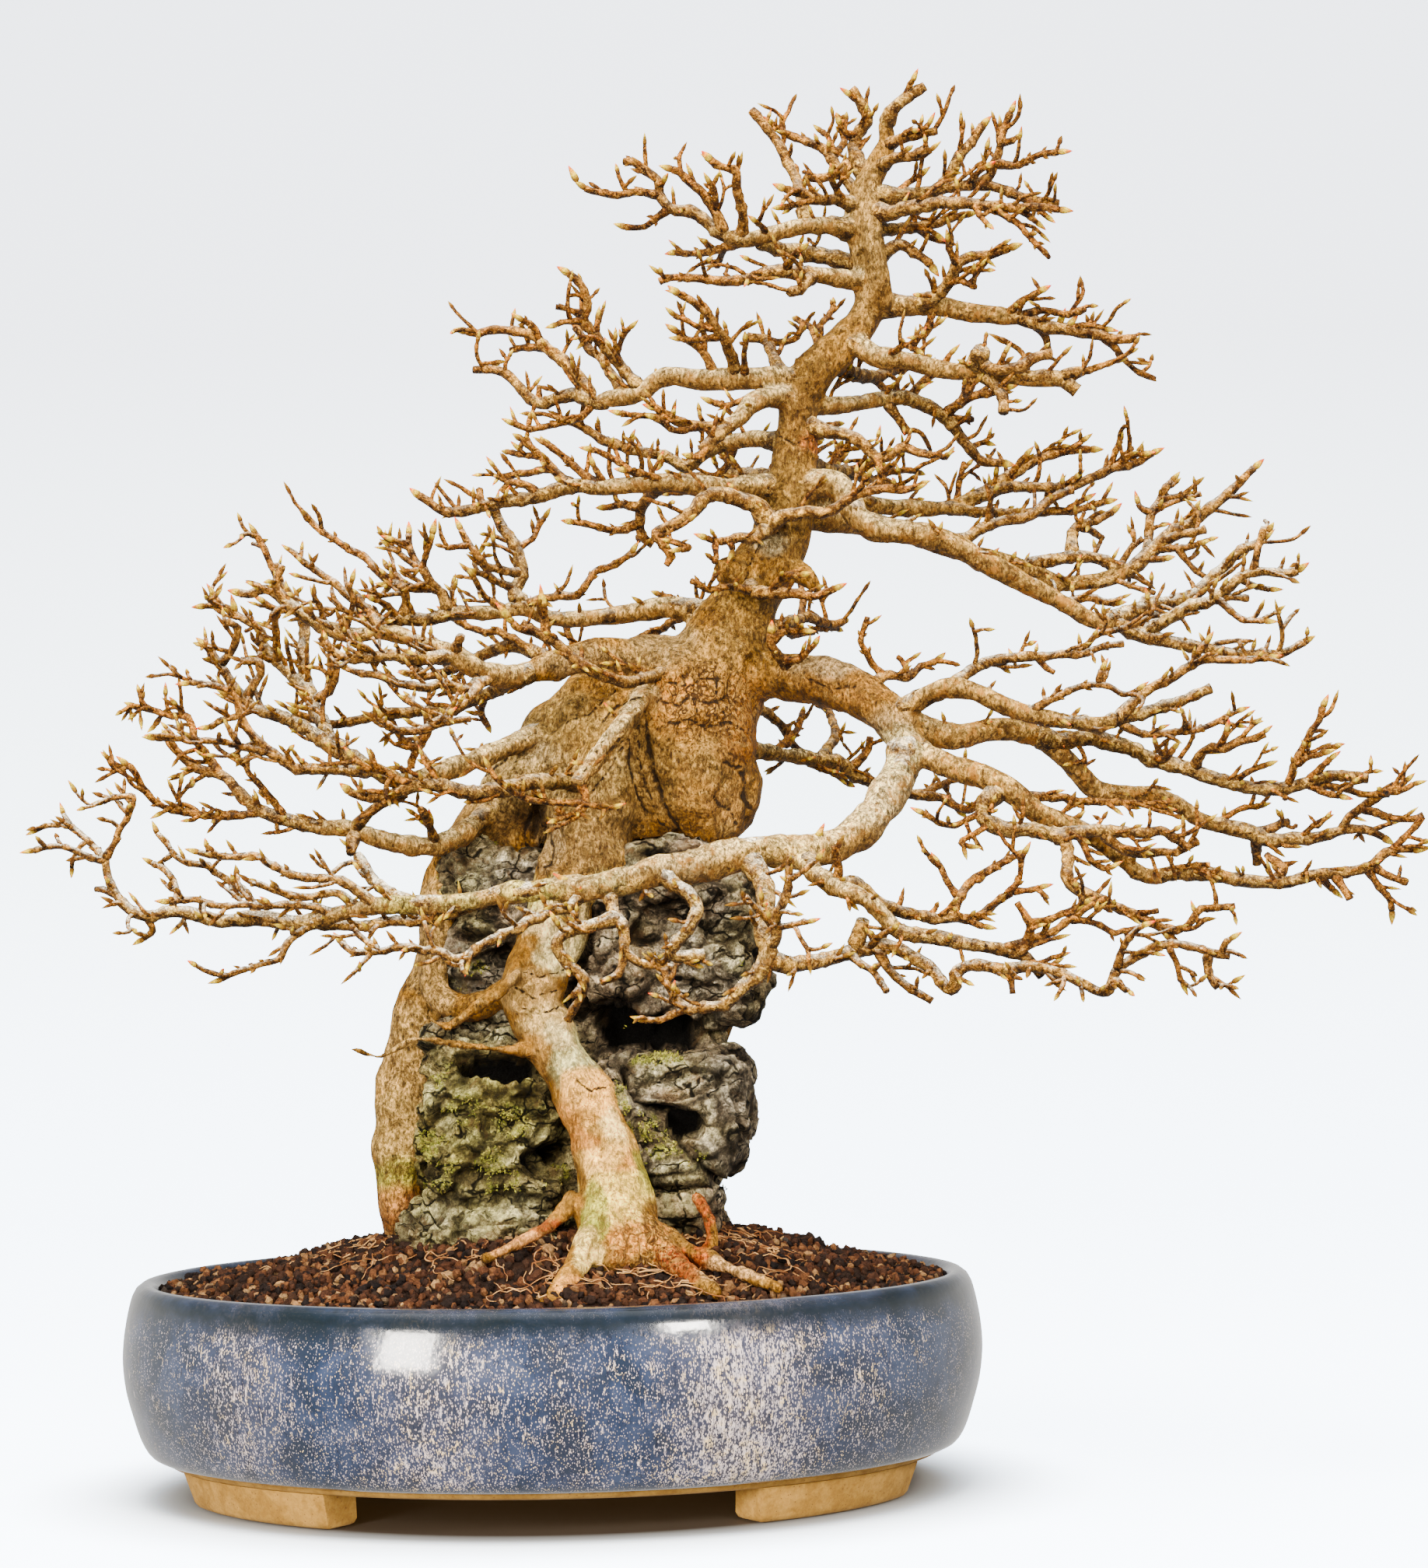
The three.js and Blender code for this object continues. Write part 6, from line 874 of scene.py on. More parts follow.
def remeshed(pile, name, material, voxel):
    """One closed skin round everything in the pile."""
    obj = pile.build(name, material)
    modifier = obj.modifiers.new("skin", "REMESH")
    modifier.mode = "VOXEL"
    modifier.voxel_size = voxel * MM
    modifier.use_smooth_shade = True
    loose = obj.data
    apply_modifiers(obj)
    bpy.data.meshes.remove(loose)
    obj.data.name = name
    if not obj.data.materials:
        obj.data.materials.append(material)
    return obj


def thinned(obj, limit):
    """Flat parts of the mesh are made coarser until it has no more triangles than the limit."""
    count = 2 * len(obj.data.polygons)
    if count <= limit:
        return
    modifier = obj.modifiers.new("thin", "DECIMATE")
    modifier.ratio = limit / count
    apply_modifiers(obj)


def coords(obj):
    """Vertices in pot millimetres, and their normals."""
    mesh = obj.data
    places, normals = np.empty((2, len(mesh.vertices) * 3), np.float32)
    mesh.vertices.foreach_get("co", places)
    mesh.vertex_normals.foreach_get("vector", normals)
    return (places.reshape(-1, 3).astype(float) - CENTRE) / MM, normals.reshape(-1, 3).astype(float)


def set_coords(obj, verts):
    obj.data.vertices.foreach_set("co", (verts * MM + CENTRE).astype(np.float32).ravel())
    obj.data.update()


def front_plane(verts):
    """Where each point shows on the upright middle plane, as x and z of the layout."""
    k = reach(verts[:, 1])
    return EYE[0] + (verts[:, 0] - EYE[0]) / k, EYE[2] + (verts[:, 2] - EYE[2]) / k - VIEW_RAISE


def put_value(obj, name, values):
    attribute = obj.data.attributes.new(name, "FLOAT", "POINT")
    attribute.data.foreach_set("value", np.asarray(values, np.float32))


def put_colour(obj, name, values):
    attribute = obj.data.color_attributes.new(name, "FLOAT_COLOR", "POINT")
    rgba = np.ones((len(values), 4), np.float32)
    rgba[:, :3] = values
    attribute.data.foreach_set("color", rgba.ravel())


def fbm(verts, scale, octaves=4, seed=0.0, gain=0.5):
    """Smooth noise, roughly -1 to 1, at points in millimetres; scale is the largest wavelength."""
    out = np.zeros(len(verts))
    for n, v in enumerate(verts / scale):
        total, amplitude, p = 0.0, 1.0, Vector((v[0] + seed, v[1] - seed, v[2] + 2 * seed))
        for _ in range(octaves):
            total += amplitude * noise.noise(p)
            p = p * 2.03
            amplitude *= gain
        out[n] = total
    return out


def smoothstep(low, high, x):
    t = np.clip((x - low) / (high - low), 0, 1)
    return t * t * (3 - 2 * t)


# Node materials.
class Nodes:
    """Short names for building a node material."""

    def __init__(self, name):
        self.material = bpy.data.materials.new(name)
        self.material.use_nodes = True
        self.tree = self.material.node_tree
        self.shader = self.tree.nodes["Principled BSDF"]
        self.place = self.tree.nodes.new("ShaderNodeTexCoord").outputs["Object"]

    def new(self, kind, *links, **values):
        """A shader node with its links as (socket, source), and settings and input values by name."""
        node = self.tree.nodes.new("ShaderNode" + kind)
        for key, value in values.items():
            if hasattr(node, key):
                setattr(node, key, value)
            else:
                node.inputs[key.replace("_", " ")].default_value = value
        for socket, source in links:
            self.tree.links.new(source, node.inputs[socket])
        return node

    def noise(self, size, detail=4.0, rough=0.55, distort=0.0, where=None):
        """Noise whose features are about size millimetres across, from 0 to 1."""
        node = self.new("TexNoise", ("Vector", where or self.place), Scale=1 / (size * MM), Detail=detail,
                        Roughness=rough, Distortion=distort)
        return node.outputs["Fac"]

    def cells(self, size, feature="F1", where=None, out="Distance"):
        """Irregular cells about size millimetres across: the distance from their middles, or as told."""
        node = self.new("TexVoronoi", ("Vector", where or self.place), feature=feature, Scale=1 / (size * MM))
        return node.outputs[out]

    def ramp(self, source, *stops):
        """Colour or value ramp; a stop is (place, value or colour)."""
        node = self.new("ValToRGB", ("Fac", source))
        elements = node.color_ramp.elements
        elements.remove(elements[1])
        for i, (at, value) in enumerate(stops):
            element = elements[0] if i == 0 else elements.new(at)
            element.position = at
            element.color = (*value, 1) if isinstance(value, tuple) else (value, value, value, 1)
        return node.outputs["Color"]

    def feed(self, socket, value):
        """Sets the socket to a number or a colour, or links it to another socket."""
        if isinstance(value, (int, float)):
            socket.default_value = value
        elif isinstance(value, tuple):
            socket.default_value = (*value, 1)
        else:
            self.tree.links.new(value, socket)

    def mix(self, factor, a, b, kind="MIX"):
        node = self.new("Mix", data_type="RGBA", blend_type=kind)
        for socket, value in ((0, factor), (6, a), (7, b)):
            self.feed(node.inputs[socket], value)
        return node.outputs[2]

    def toned(self, factor, base, tone):
        """The base times the tone, as far as the factor says."""
        return self.mix(factor, base, tone, "MULTIPLY")

    def math(self, operation, *values):
        node = self.new("Math", operation=operation)
        for socket, value in enumerate(values):
            self.feed(node.inputs[socket], value)
        return node.outputs[0]

    def plus(self, a, b):
        return self.math("ADD", a, b)

    def minus(self, a, b):
        return self.math("SUBTRACT", a, b)

    def times(self, a, b):
        return self.math("MULTIPLY", a, b)

    def most(self, a, b):
        return self.math("MAXIMUM", a, b)

    def value(self, name):
        return self.new("Attribute", attribute_name=name).outputs["Fac"]

    def colour(self, name):
        return self.new("Attribute", attribute_name=name).outputs["Color"]

    def stretched(self, x=1.0, y=1.0, z=1.0):
        """Object coordinates scaled along each axis, so that noise is drawn out along a small one."""
        return self.new("Mapping", ("Vector", self.place), Scale=(x, y, z)).outputs["Vector"]

    def drifted(self, share, where, scale):
        """The coordinates pushed about by a share of coloured noise."""
        drift = self.new("TexNoise", ("Vector", self.place), Scale=scale).outputs["Color"]
        return self.mix(share, where, drift)

    def bump(self, height, strength, distance):
        """A bumpy surface whose relief is about distance millimetres deep."""
        node = self.new("Bump", ("Height", height), Strength=strength, Distance=distance * MM)
        return node.outputs["Normal"]

    def finish(self, colour, roughness, normal, **constants):
        """The material; constants such as the specular level are set on the shader itself."""
        for key, source in (("Base Color", colour), ("Roughness", roughness), ("Normal", normal)):
            self.feed(self.shader.inputs[key], source)
        for key, value in constants.items():
            self.shader.inputs[key.replace("_", " ")].default_value = value
        return self.material


def mottled(n, base, size, low, high, strength=1.0):
    """The base made darker and lighter by rough noise of this size."""
    return n.toned(strength, base, n.ramp(n.noise(size, 8, 0.72, 0.5), (0.40, low), (0.60, high)))


def rise(n):
    """The upward part of the surface's direction, from -1 to 1."""
    return n.new("SeparateXYZ", ("Vector", n.new("NewGeometry").outputs["Normal"])).outputs["Z"]


def upward(n):
    """0 on the undersides and 1 on the tops of things."""
    return n.ramp(rise(n), (0.0, 0.0), (0.25, 0.15), (0.75, 1.0))


def shaded_below(n, base, low, high):
    """The base darker and browner on undersides, brighter on tops."""
    z = n.plus(n.times(rise(n), 0.5), 0.5)
    return n.toned(1.0, base, n.ramp(z, (0.15, (low, low * 0.88, low * 0.76)), (0.5, (0.96, 0.94, 0.91)),
                                     (0.85, (high, high, high))))


# What noise adds to the bark: first the stains and flecks, then plates and dark joints; last, dark lines and
# painted cleft shade.
OLIVE_STAIN, PALE_STAIN, FLECK = (0.14, 0.085, 0.020), (0.46, 0.28, 0.075), (0.085, 0.030, 0.008)
THREAD, LIMB_WARM, LIMB_STAIN = (0.050, 0.022, 0.007), (0.44, 0.17, 0.020), (0.060, 0.024, 0.005)
BARK_PLATE, FLAKE_TONE, FLAKE_RIM = (0.84, 0.42, 0.08), (1.75, 1.75, 1.9), (0.16, 0.075, 0.022)
CRACK, LINE_DARK_AND_CLEFT_SHADE = (0.035, 0.015, 0.006), (0.016, 0.009, 0.005)
# What noise adds to the twigs; the first colour is also painted light on their tops.
BLEACH_AND_TOP_LIGHT, PORE, SPECK = (0.90, 0.82, 0.60), (0.040, 0.015, 0.004), (0.60, 0.33, 0.08)


def bark_material():
    """Trunk and roots: the point colour gives the broad patches, noise breaks them up."""
    n = Nodes("maple_bark")
    base = n.colour("patch")
    base = mottled(n, base, 15, 0.74, 1.28)
    olive = n.ramp(n.noise(17, 6, 0.65, 0.8), (0.50, 0.0), (0.58, 1.0))
    base = n.mix(n.times(olive, 0.32), base, OLIVE_STAIN)
    pale = n.ramp(n.noise(7, 7, 0.70, 1.0), (0.54, 0.0), (0.61, 1.0))
    base = n.mix(n.times(pale, 0.36), base, PALE_STAIN)
    calm = n.minus(1.0, n.times(n.value("flaky"), 0.42))
    base = mottled(n, base, 4.2, 0.40, 1.55, calm)
    along = n.stretched(1, 1, 0.55)
    grain = n.noise(1.5, 7, 0.78, 0.4, along)
    base = n.toned(calm, base, n.ramp(grain, (0.42, 0.20), (0.50, 1.0), (0.58, 2.0)))
    flecks = n.times(n.ramp(n.cells(2.8), (0.10, 1.0), (0.24, 0.0)), calm)
    flecks = n.times(flecks, n.ramp(n.noise(12, 4), (0.44, 0.0), (0.54, 1.0)))
    base = n.mix(n.times(flecks, 0.75), base, FLECK)
    threads = n.noise(10, 5, 0.62, 0.8, n.stretched(1, 1, 0.34))
    threads = n.ramp(threads, (0.478, 0.0), (0.494, 1.0), (0.500, 1.0), (0.516, 0.0))
    base = n.mix(n.times(threads, n.times(calm, 0.72)), base, THREAD)
    drift = n.drifted(0.012, n.stretched(1, 1, 0.4), 140.0)
    veins = n.ramp(n.cells(6.5, "DISTANCE_TO_EDGE", drift), (0.02, 1.0), (0.10, 0.0))
    scaly = n.ramp(n.noise(3.5, 7, 0.75, 1.6), (0.42, 1.0), (0.49, 0.0))
    limb = n.value("limb")
    warm = n.times(n.ramp(n.noise(7, 6, 0.68, 0.5), (0.53, 0.0), (0.58, 0.7)), limb)
    base = n.mix(warm, base, LIMB_WARM)
    stains = n.times(n.ramp(n.noise(5, 6, 0.70, 0.6), (0.43, 0.85), (0.475, 0.0)), limb)
    base = n.mix(stains, base, LIMB_STAIN)
    plates = n.times(n.value("rough"), n.ramp(n.noise(2.6, 6, 0.75, 0.8), (0.48, 0.0), (0.55, 0.9)))
    base = n.mix(plates, base, BARK_PLATE)
    flake = n.noise(12, 6, 0.62, 1.2, n.stretched(1, 1, 0.8))
    shed = n.times(n.ramp(flake, (0.492, 0.0), (0.506, 1.0)), n.value("flaky"))
    base = n.toned(n.times(shed, 0.55), base, FLAKE_TONE)
    rim = n.times(n.ramp(flake, (0.478, 0.0), (0.492, 1.0), (0.500, 0.0)), n.value("flaky"))
    base = n.mix(n.times(rim, 0.55), base, FLAKE_RIM)
    cracks = n.times(n.most(n.times(veins, 0.9), n.times(scaly, 0.6)), n.value("rough"))
    ring = n.value("ring")
    bands = n.math("FRACT", n.plus(n.times(ring, 7.0), n.times(n.noise(14, 4, 0.6), 2.2)))
    bands = n.ramp(bands, (0.0, 1.0), (0.12, 0.0), (0.95, 0.0), (1.0, 1.0))
    cracks = n.most(cracks, n.times(bands, n.ramp(ring, (0.05, 0.0), (0.3, 0.42))))
    base = n.mix(cracks, base, CRACK)
    broken = n.times(n.minus(n.noise(5, 5, 0.7), 0.5), 1.6)
    lines = n.ramp(n.plus(n.value("line"), broken), (0.28, 0.95), (0.62, 0.0))
    # Painted shade in the clefts, as deep as they are cut, together with the fine dark lines.
    dark = n.most(n.times(n.value("cleft_shade"), 0.85), lines)
    base = shaded_below(n, base, 0.48, 1.14)
    base = n.mix(dark, base, LINE_DARK_AND_CLEFT_SHADE)
    height = n.plus(n.times(n.noise(3.4, 8, 0.68, 0.5, along), 1.6), n.times(grain, 0.9))
    height = n.minus(height, n.times(n.most(cracks, lines), 1.2))
    height = n.minus(height, n.times(threads, 0.35))
    height = n.minus(height, n.times(shed, 0.35))
    normal = n.bump(height, 1.0, 2.0)
    return n.finish(base, n.ramp(grain, (0.4, 0.55), (0.6, 0.8)), normal, Specular_IOR_Level=0.12)


def twig_material():
    """Branches: grey-beige where thick, tan to orange-brown where thin, paler on top from bleached bark and
    painted light.
    """
    n = Nodes("maple_twig")
    young = n.ramp(n.noise(6, 7, 0.74, 0.6), (0.42, (0.026, 0.008, 0.001)), (0.50, (0.115, 0.036, 0.003)),
                   (0.58, (0.44, 0.165, 0.013)))
    old = n.ramp(n.noise(6, 8, 0.76, 0.8), (0.42, (0.045, 0.018, 0.003)), (0.50, (0.20, 0.098, 0.015)),
                 (0.58, (0.64, 0.40, 0.090)))
    base = n.mix(n.value("age"), young, old)
    tint = n.ramp(n.value("tint"), (0.0, (0.66, 0.60, 0.56)), (0.5, (1.0, 1.0, 1.0)),
                  (1.0, (1.25, 1.08, 0.86)))
    base = n.toned(0.8, base, tint)
    # Painted light: the tops are paler, partly bleached bark, most on the pale sprays.
    bleach_and_top_light = n.times(upward(n), n.ramp(n.noise(5, 7, 0.72, 0.5), (0.43, 0.0), (0.53, 1.0)))
    share = n.plus(n.times(n.value("age"), 0.18), n.times(n.value("pale"), 0.66))
    base = n.mix(n.times(bleach_and_top_light, n.plus(share, 0.02)), base, BLEACH_AND_TOP_LIGHT)
    rings = n.new("TexWave", ("Vector", n.place), wave_type="BANDS", bands_direction="DIAGONAL", Scale=210,
                  Distortion=12, Detail=4, Detail_Scale=2).outputs["Fac"]
    base = n.toned(0.5, base, n.ramp(rings, (0.15, 0.35), (0.85, 1.3)))
    base = shaded_below(n, mottled(n, base, 1.9, 0.30, 1.75), 0.18, 1.02)
    pores = n.times(n.ramp(n.cells(1.7, where=n.stretched(0.8, 1, 1.1)), (0.12, 1.0), (0.30, 0.0)), 0.75)
    base = n.mix(pores, base, PORE)
    specks = n.ramp(n.cells(1.3), (0.14, 1.0), (0.30, 0.0))
    base = n.mix(n.times(specks, 0.28), base, SPECK)
    crusty = n.ramp(n.noise(1.4, 6, 0.75), (0.44, (0.026, 0.009, 0.002)), (0.50, (0.15, 0.052, 0.006)),
                    (0.57, (0.56, 0.26, 0.034)))
    base = n.mix(n.times(n.value("knot"), 0.85), base, crusty)
    bud = n.value("bud")
    scales = n.ramp(bud, (0.15, (0.10, 0.034, 0.005)), (0.34, (0.24, 0.115, 0.009)),
                    (0.56, (0.60, 0.42, 0.018)), (0.78, (0.66, 0.24, 0.014)), (1.0, (0.80, 0.030, 0.010)))
    base = n.mix(n.ramp(bud, (0.02, 0.0), (0.14, 1.0)), base, mottled(n, scales, 2.0, 0.6, 1.4))
    height = n.plus(n.noise(2.0, 8, 0.75), n.times(rings, 0.5))
    return n.finish(base, 0.58, n.bump(height, 1.0, 1.0), Specular_IOR_Level=0.16)


# Trunk and roots.
# Clefts seen from the front, cut in and painted with shade: [half width, depth, x z ...].
CLEFTS = [
    [1.8, 2.6, [66, 314, 58, 328, 53, 346, 51, 362]], [1.4, 1.6, [98, 320, 101, 334, 103, 346]],
    [1.2, 1.4, [85, 322, 84, 332, 88, 340]], [2.4, 6.0, [-6, 316, -5, 324, -3, 333]],
    [1.5, 1.8, [30, 350, 36, 362, 46, 374]], [1.2, 1.4, [60, 376, 66, 388, 74, 400]],
    [1.4, 1.6, [84, 372, 90, 384, 93, 398]], [1.4, 1.8, [108, 440, 113, 452, 116, 462]],
    [1.6, 2.0, [8, 276, 12, 268, 11, 258]], [1.4, 1.6, [-12, 252, -14, 242, -12, 232]],
    [1.3, 1.8, [21, 176, 25, 160, 27, 146]], [1.6, 2.2, [34, 130, 36, 118, 37, 106]],
    [1.4, 2.0, [25, 128, 22, 118, 19, 108]], [1.2, 1.4, [-70, 214, -72, 198, -74, 182]],
    [1.2, 1.4, [-77, 160, -77, 146, -75, 132]], [1.8, 2.6, [-22, 334, -10, 344, 8, 350]],
    [1.4, 2.0, [-34, 338, -20, 352, 0, 362]], [1.5, 2.0, [2, 368, 22, 384, 44, 390]],
]
# Fine dark lines in the bark: [width, x z ...].
LINES = [
    [1.8, [50, 376, 51, 360, 53, 346, 58, 331, 67, 315]],
    [1.4, [46, 370, 46, 354, 50, 338, 55, 325, 61, 316]], [1.2, [42, 364, 41, 350, 45, 336, 51, 324]],
    [2.0, [97, 346, 99, 340, 98, 334, 101, 328]], [1.9, [84, 334, 87, 329, 92, 326, 93, 320]],
    [1.6, [88, 352, 94, 348, 98, 350]], [1.8, [-5, 301, -9, 309, -11, 318, -7, 326]],
    [1.4, [-1, 299, 2, 308, 0, 318, -5, 325]],
    [1.6, [56, 374, 64, 370, 72, 372, 80, 368, 90, 371, 99, 366]],
    [1.5, [58, 382, 66, 379, 72, 383, 82, 380, 92, 384]], [1.5, [60, 392, 70, 388, 78, 393, 90, 391]],
    [1.4, [66, 398, 72, 384, 76, 374]], [1.4, [86, 396, 84, 384, 89, 374]],
    [1.2, [28, 372, 36, 380, 48, 384]], [1.2, [10, 372, 22, 376, 34, 388]],
    [1.2, [-30, 346, -18, 356, -4, 368]], [1.1, [20, 334, 30, 346, 38, 360]],
    [1.1, [14, 340, 22, 352, 30, 366]], [1.2, [112, 476, 118, 470, 126, 470]],
    [1.2, [118, 512, 126, 508, 133, 511]], [1.2, [100, 440, 104, 452, 110, 462]],
    [1.1, [-14, 232, -4, 228, 6, 232]], [1.1, [-16, 242, -8, 236, 4, 240]],
    [1.1, [-12, 250, -4, 246, 8, 250]], [1.1, [12, 196, 20, 190, 28, 192]],
    [1.2, [130, 392, 142, 386, 154, 388]],
]
# Healed scars: [x, z, half width, half height, rim height, sunk middle, rings].
SCARS = [
    [77, 344, 26, 31, 1.3, 1.0, 4], [3, 312, 7.5, 14, 1.5, 1.6, 1], [137, 507, 6, 5, 1.6, 0.4, 1],
    [113, 466, 7, 7, 1.8, 1.2, 1], [84, 420, 8, 7, 1.0, 0.8, 2], [128, 545, 6, 5, 1.2, 0.6, 1],
    [-12, 235, 6, 6, 1.2, -0.4, 1], [60, 400, 7, 6, 1.0, 0.8, 2], [104, 398, 6, 7, 1.0, 1.0, 1],
    [162, 600, 4, 5, 0.9, 0.5, 1], [118, 478, 5, 6, 0.8, 0.6, 1], [34, 336, 9, 12, 0.8, 0.4, 2],
]
# Broad colour patches on the front, one of them painted shade: [x, z, half width, half height, strength,
# colour].
GOLD, TAN, OLIVE = (0.235, 0.102, 0.009), (0.215, 0.102, 0.014), (0.15, 0.085, 0.014)
GREYISH, PINKISH = (0.34, 0.24, 0.11), (0.80, 0.38, 0.070)
RUST, LICHEN, GREEN = (0.27, 0.080, 0.010), (0.50, 0.47, 0.185), (0.33, 0.34, 0.035)
RED, MUSCLE = (0.28, 0.040, 0.003), (0.21, 0.125, 0.038)
# Limb colours; the second and third are painted light on the tops of limbs, the third also bleached wood.
LIMB, LIMB_TOP_LIGHT, BLEACHED_AND_LIT = (0.36, 0.20, 0.044), (0.56, 0.34, 0.090), (0.92, 0.72, 0.32)
PATCHES = [
    [80, 350, 60, 60, 0.9, GOLD], [76, 344, 25, 28, 0.7, (0.235, 0.115, 0.020)],
    [90, 330, 14, 12, 0.7, (0.20, 0.095, 0.02)], [84, 352, 12, 12, 0.5, (0.19, 0.115, 0.030)],
    [60, 352, 8, 20, 0.6, OLIVE], [76, 383, 34, 17, 0.9, (0.56, 0.23, 0.026)],
    [60, 386, 15, 12, 0.7, (0.66, 0.22, 0.014)], [78, 390, 10, 6, 0.5, RUST],
    [97, 370, 12, 24, 0.85, (0.19, 0.060, 0.003)], [44, 345, 14, 30, 0.7, (0.22, 0.125, 0.030)],
    [18, 318, 26, 24, 0.8, MUSCLE], [26, 348, 18, 12, 0.6, (0.30, 0.20, 0.06)],
    [0, 312, 9, 14, 0.7, (0.30, 0.20, 0.085)], [-14, 350, 30, 26, 0.8, (0.50, 0.34, 0.115)],
    # The near-black patch at -8, 328 is painted shade in the deep cleft at -5, 325.
    [-8, 328, 9, 12, 0.9, (0.035, 0.020, 0.012)], [-30, 322, 18, 14, 0.7, (0.16, 0.10, 0.035)],
    [10, 372, 26, 14, 0.8, (0.20, 0.125, 0.032)], [-4, 358, 12, 8, 0.6, GREYISH],
    [-48, 306, 12, 18, 0.7, TAN], [100, 425, 18, 22, 0.7, (0.17, 0.092, 0.016)],
    [80, 405, 20, 14, 0.5, (0.34, 0.19, 0.04)], [58, 410, 18, 12, 0.7, (0.36, 0.24, 0.09)],
    [120, 480, 16, 34, 0.85, (0.115, 0.062, 0.011)], [112, 462, 9, 9, 0.8, (0.46, 0.36, 0.18)],
    [126, 520, 12, 20, 0.8, (0.135, 0.064, 0.010)], [137, 508, 7, 6, 0.85, (0.28, 0.07, 0.010)],
    [150, 560, 18, 14, 0.6, TAN], [162, 612, 10, 40, 0.7, (0.38, 0.225, 0.06)],
    [8, 258, 15, 13, 0.95, (1.0, 0.80, 0.32)], [2, 280, 20, 14, 0.85, (0.88, 0.64, 0.24)],
    [-9, 239, 15, 12, 0.85, (0.44, 0.26, 0.075)], [-2, 224, 14, 9, 0.8, (0.60, 0.40, 0.13)],
    [12, 204, 13, 17, 0.85, LICHEN], [20, 184, 18, 18, 0.9, PINKISH],
    [26, 160, 16, 16, 0.85, (0.88, 0.48, 0.095)], [15, 166, 7, 7, 0.85, (0.42, 0.15, 0.022)],
    [8, 178, 7, 9, 0.85, (0.50, 0.20, 0.032)], [30, 172, 6, 9, 0.85, (0.90, 0.60, 0.18)],
    [38, 150, 5, 12, 0.85, (0.60, 0.24, 0.04)], [22, 142, 7, 9, 0.85, (0.94, 0.56, 0.14)],
    [-6, 206, 5, 12, 0.85, (0.40, 0.20, 0.040)], [4, 216, 9, 6, 0.85, (0.80, 0.62, 0.26)],
    [32, 138, 18, 14, 0.95, (1.0, 0.66, 0.105)], [20, 130, 8, 16, 0.85, GREEN],
    [46, 152, 6, 14, 0.75, GREEN], [42, 119, 15, 9, 0.95, (0.80, 0.28, 0.035)], [56, 108, 9, 8, 0.85, RED],
    [34, 108, 7, 6, 0.85, (0.34, 0.11, 0.012)], [18, 112, 8, 12, 0.85, (0.95, 0.66, 0.17)],
    [6, 94, 10, 7, 0.85, (0.80, 0.32, 0.05)], [66, 104, 12, 10, 0.9, RED],
    [90, 101, 18, 8, 0.85, (0.66, 0.36, 0.13)], [74, 126, 8, 14, 0.9, RED],
    [-18, 117, 18, 7, 0.85, (0.62, 0.26, 0.07)], [-2, 124, 8, 6, 0.9, RED],
    [-57, 262, 12, 34, 0.85, (0.54, 0.32, 0.095)], [-72, 205, 18, 30, 0.9, (0.46, 0.27, 0.075)],
    [-75, 172, 16, 20, 0.9, (0.50, 0.31, 0.085)], [-77, 151, 14, 10, 0.8, (0.42, 0.37, 0.045)],
    [-72, 127, 16, 13, 0.95, (0.17, 0.050, 0.014)], [-78, 138, 8, 8, 0.75, (0.60, 0.26, 0.06)],
    [146, 388, 28, 14, 0.85, (0.15, 0.062, 0.009)], [140, 398, 24, 6, 0.6, GREYISH],
    [170, 362, 14, 16, 0.6, GREYISH], [20, 402, 26, 8, 0.6, (0.36, 0.24, 0.09)],
]
# Lichen and bleached wood on the long front branch, in the same way.
LIMB_PATCHES = [
    [-8, 289, 16, 8, 0.7, (0.50, 0.45, 0.085)], [-42, 285, 14, 8, 0.55, (0.46, 0.42, 0.10)],
    [30, 291, 12, 8, 0.5, (0.56, 0.50, 0.17)], [-72, 283, 12, 7, 0.6, (0.50, 0.44, 0.07)],
    [66, 298, 12, 9, 0.6, (0.34, 0.25, 0.11)], [120, 306, 22, 10, 0.4, (0.84, 0.60, 0.17)],
    [168, 336, 16, 22, 0.5, (0.86, 0.68, 0.32)], [176, 356, 10, 12, 0.5, (0.50, 0.46, 0.20)],
]


def blend(base, colour, share):
    """The base colours moved towards the colour by the share at each point."""
    return base + (np.array(colour) - base) * share[:, None]


def painted(base, patches, warp_x, warp_z, detail_x=0.0, detail_z=0.0):
    """The base colours with patches; the strong ones on the roots have crisp, uneven edges."""
    for x, z, wide, high, strength, colour in patches:
        crisp = strength >= 0.85 and z < 300
        far = oval_distance(warp_x + crisp * detail_x, warp_z + crisp * detail_z, x, z, wide, high)
        base = blend(base, colour, smoothstep(*((1.08, 0.84) if crisp else (1.25, 0.6)), far) * strength)
    return base


def oval_distance(px, pz, x, z, wide, high):
    """1 on the oval round x and z, less inside it."""
    return np.hypot((px - x) / wide, (pz - z) / high)


def polyline_distance(px, pz, path):
    """Distance of each point from the path x z ..."""
    best = np.full(len(px), 1e9)
    for i in range(0, len(path) - 2, 2):
        ax, az, bx, bz = path[i:i + 4]
        dx, dz = bx - ax, bz - az
        t = np.clip(((px - ax) * dx + (pz - az) * dz) / (dx * dx + dz * dz), 0, 1)
        best = np.minimum(best, np.hypot(px - ax - t * dx, pz - az - t * dz))
    return best


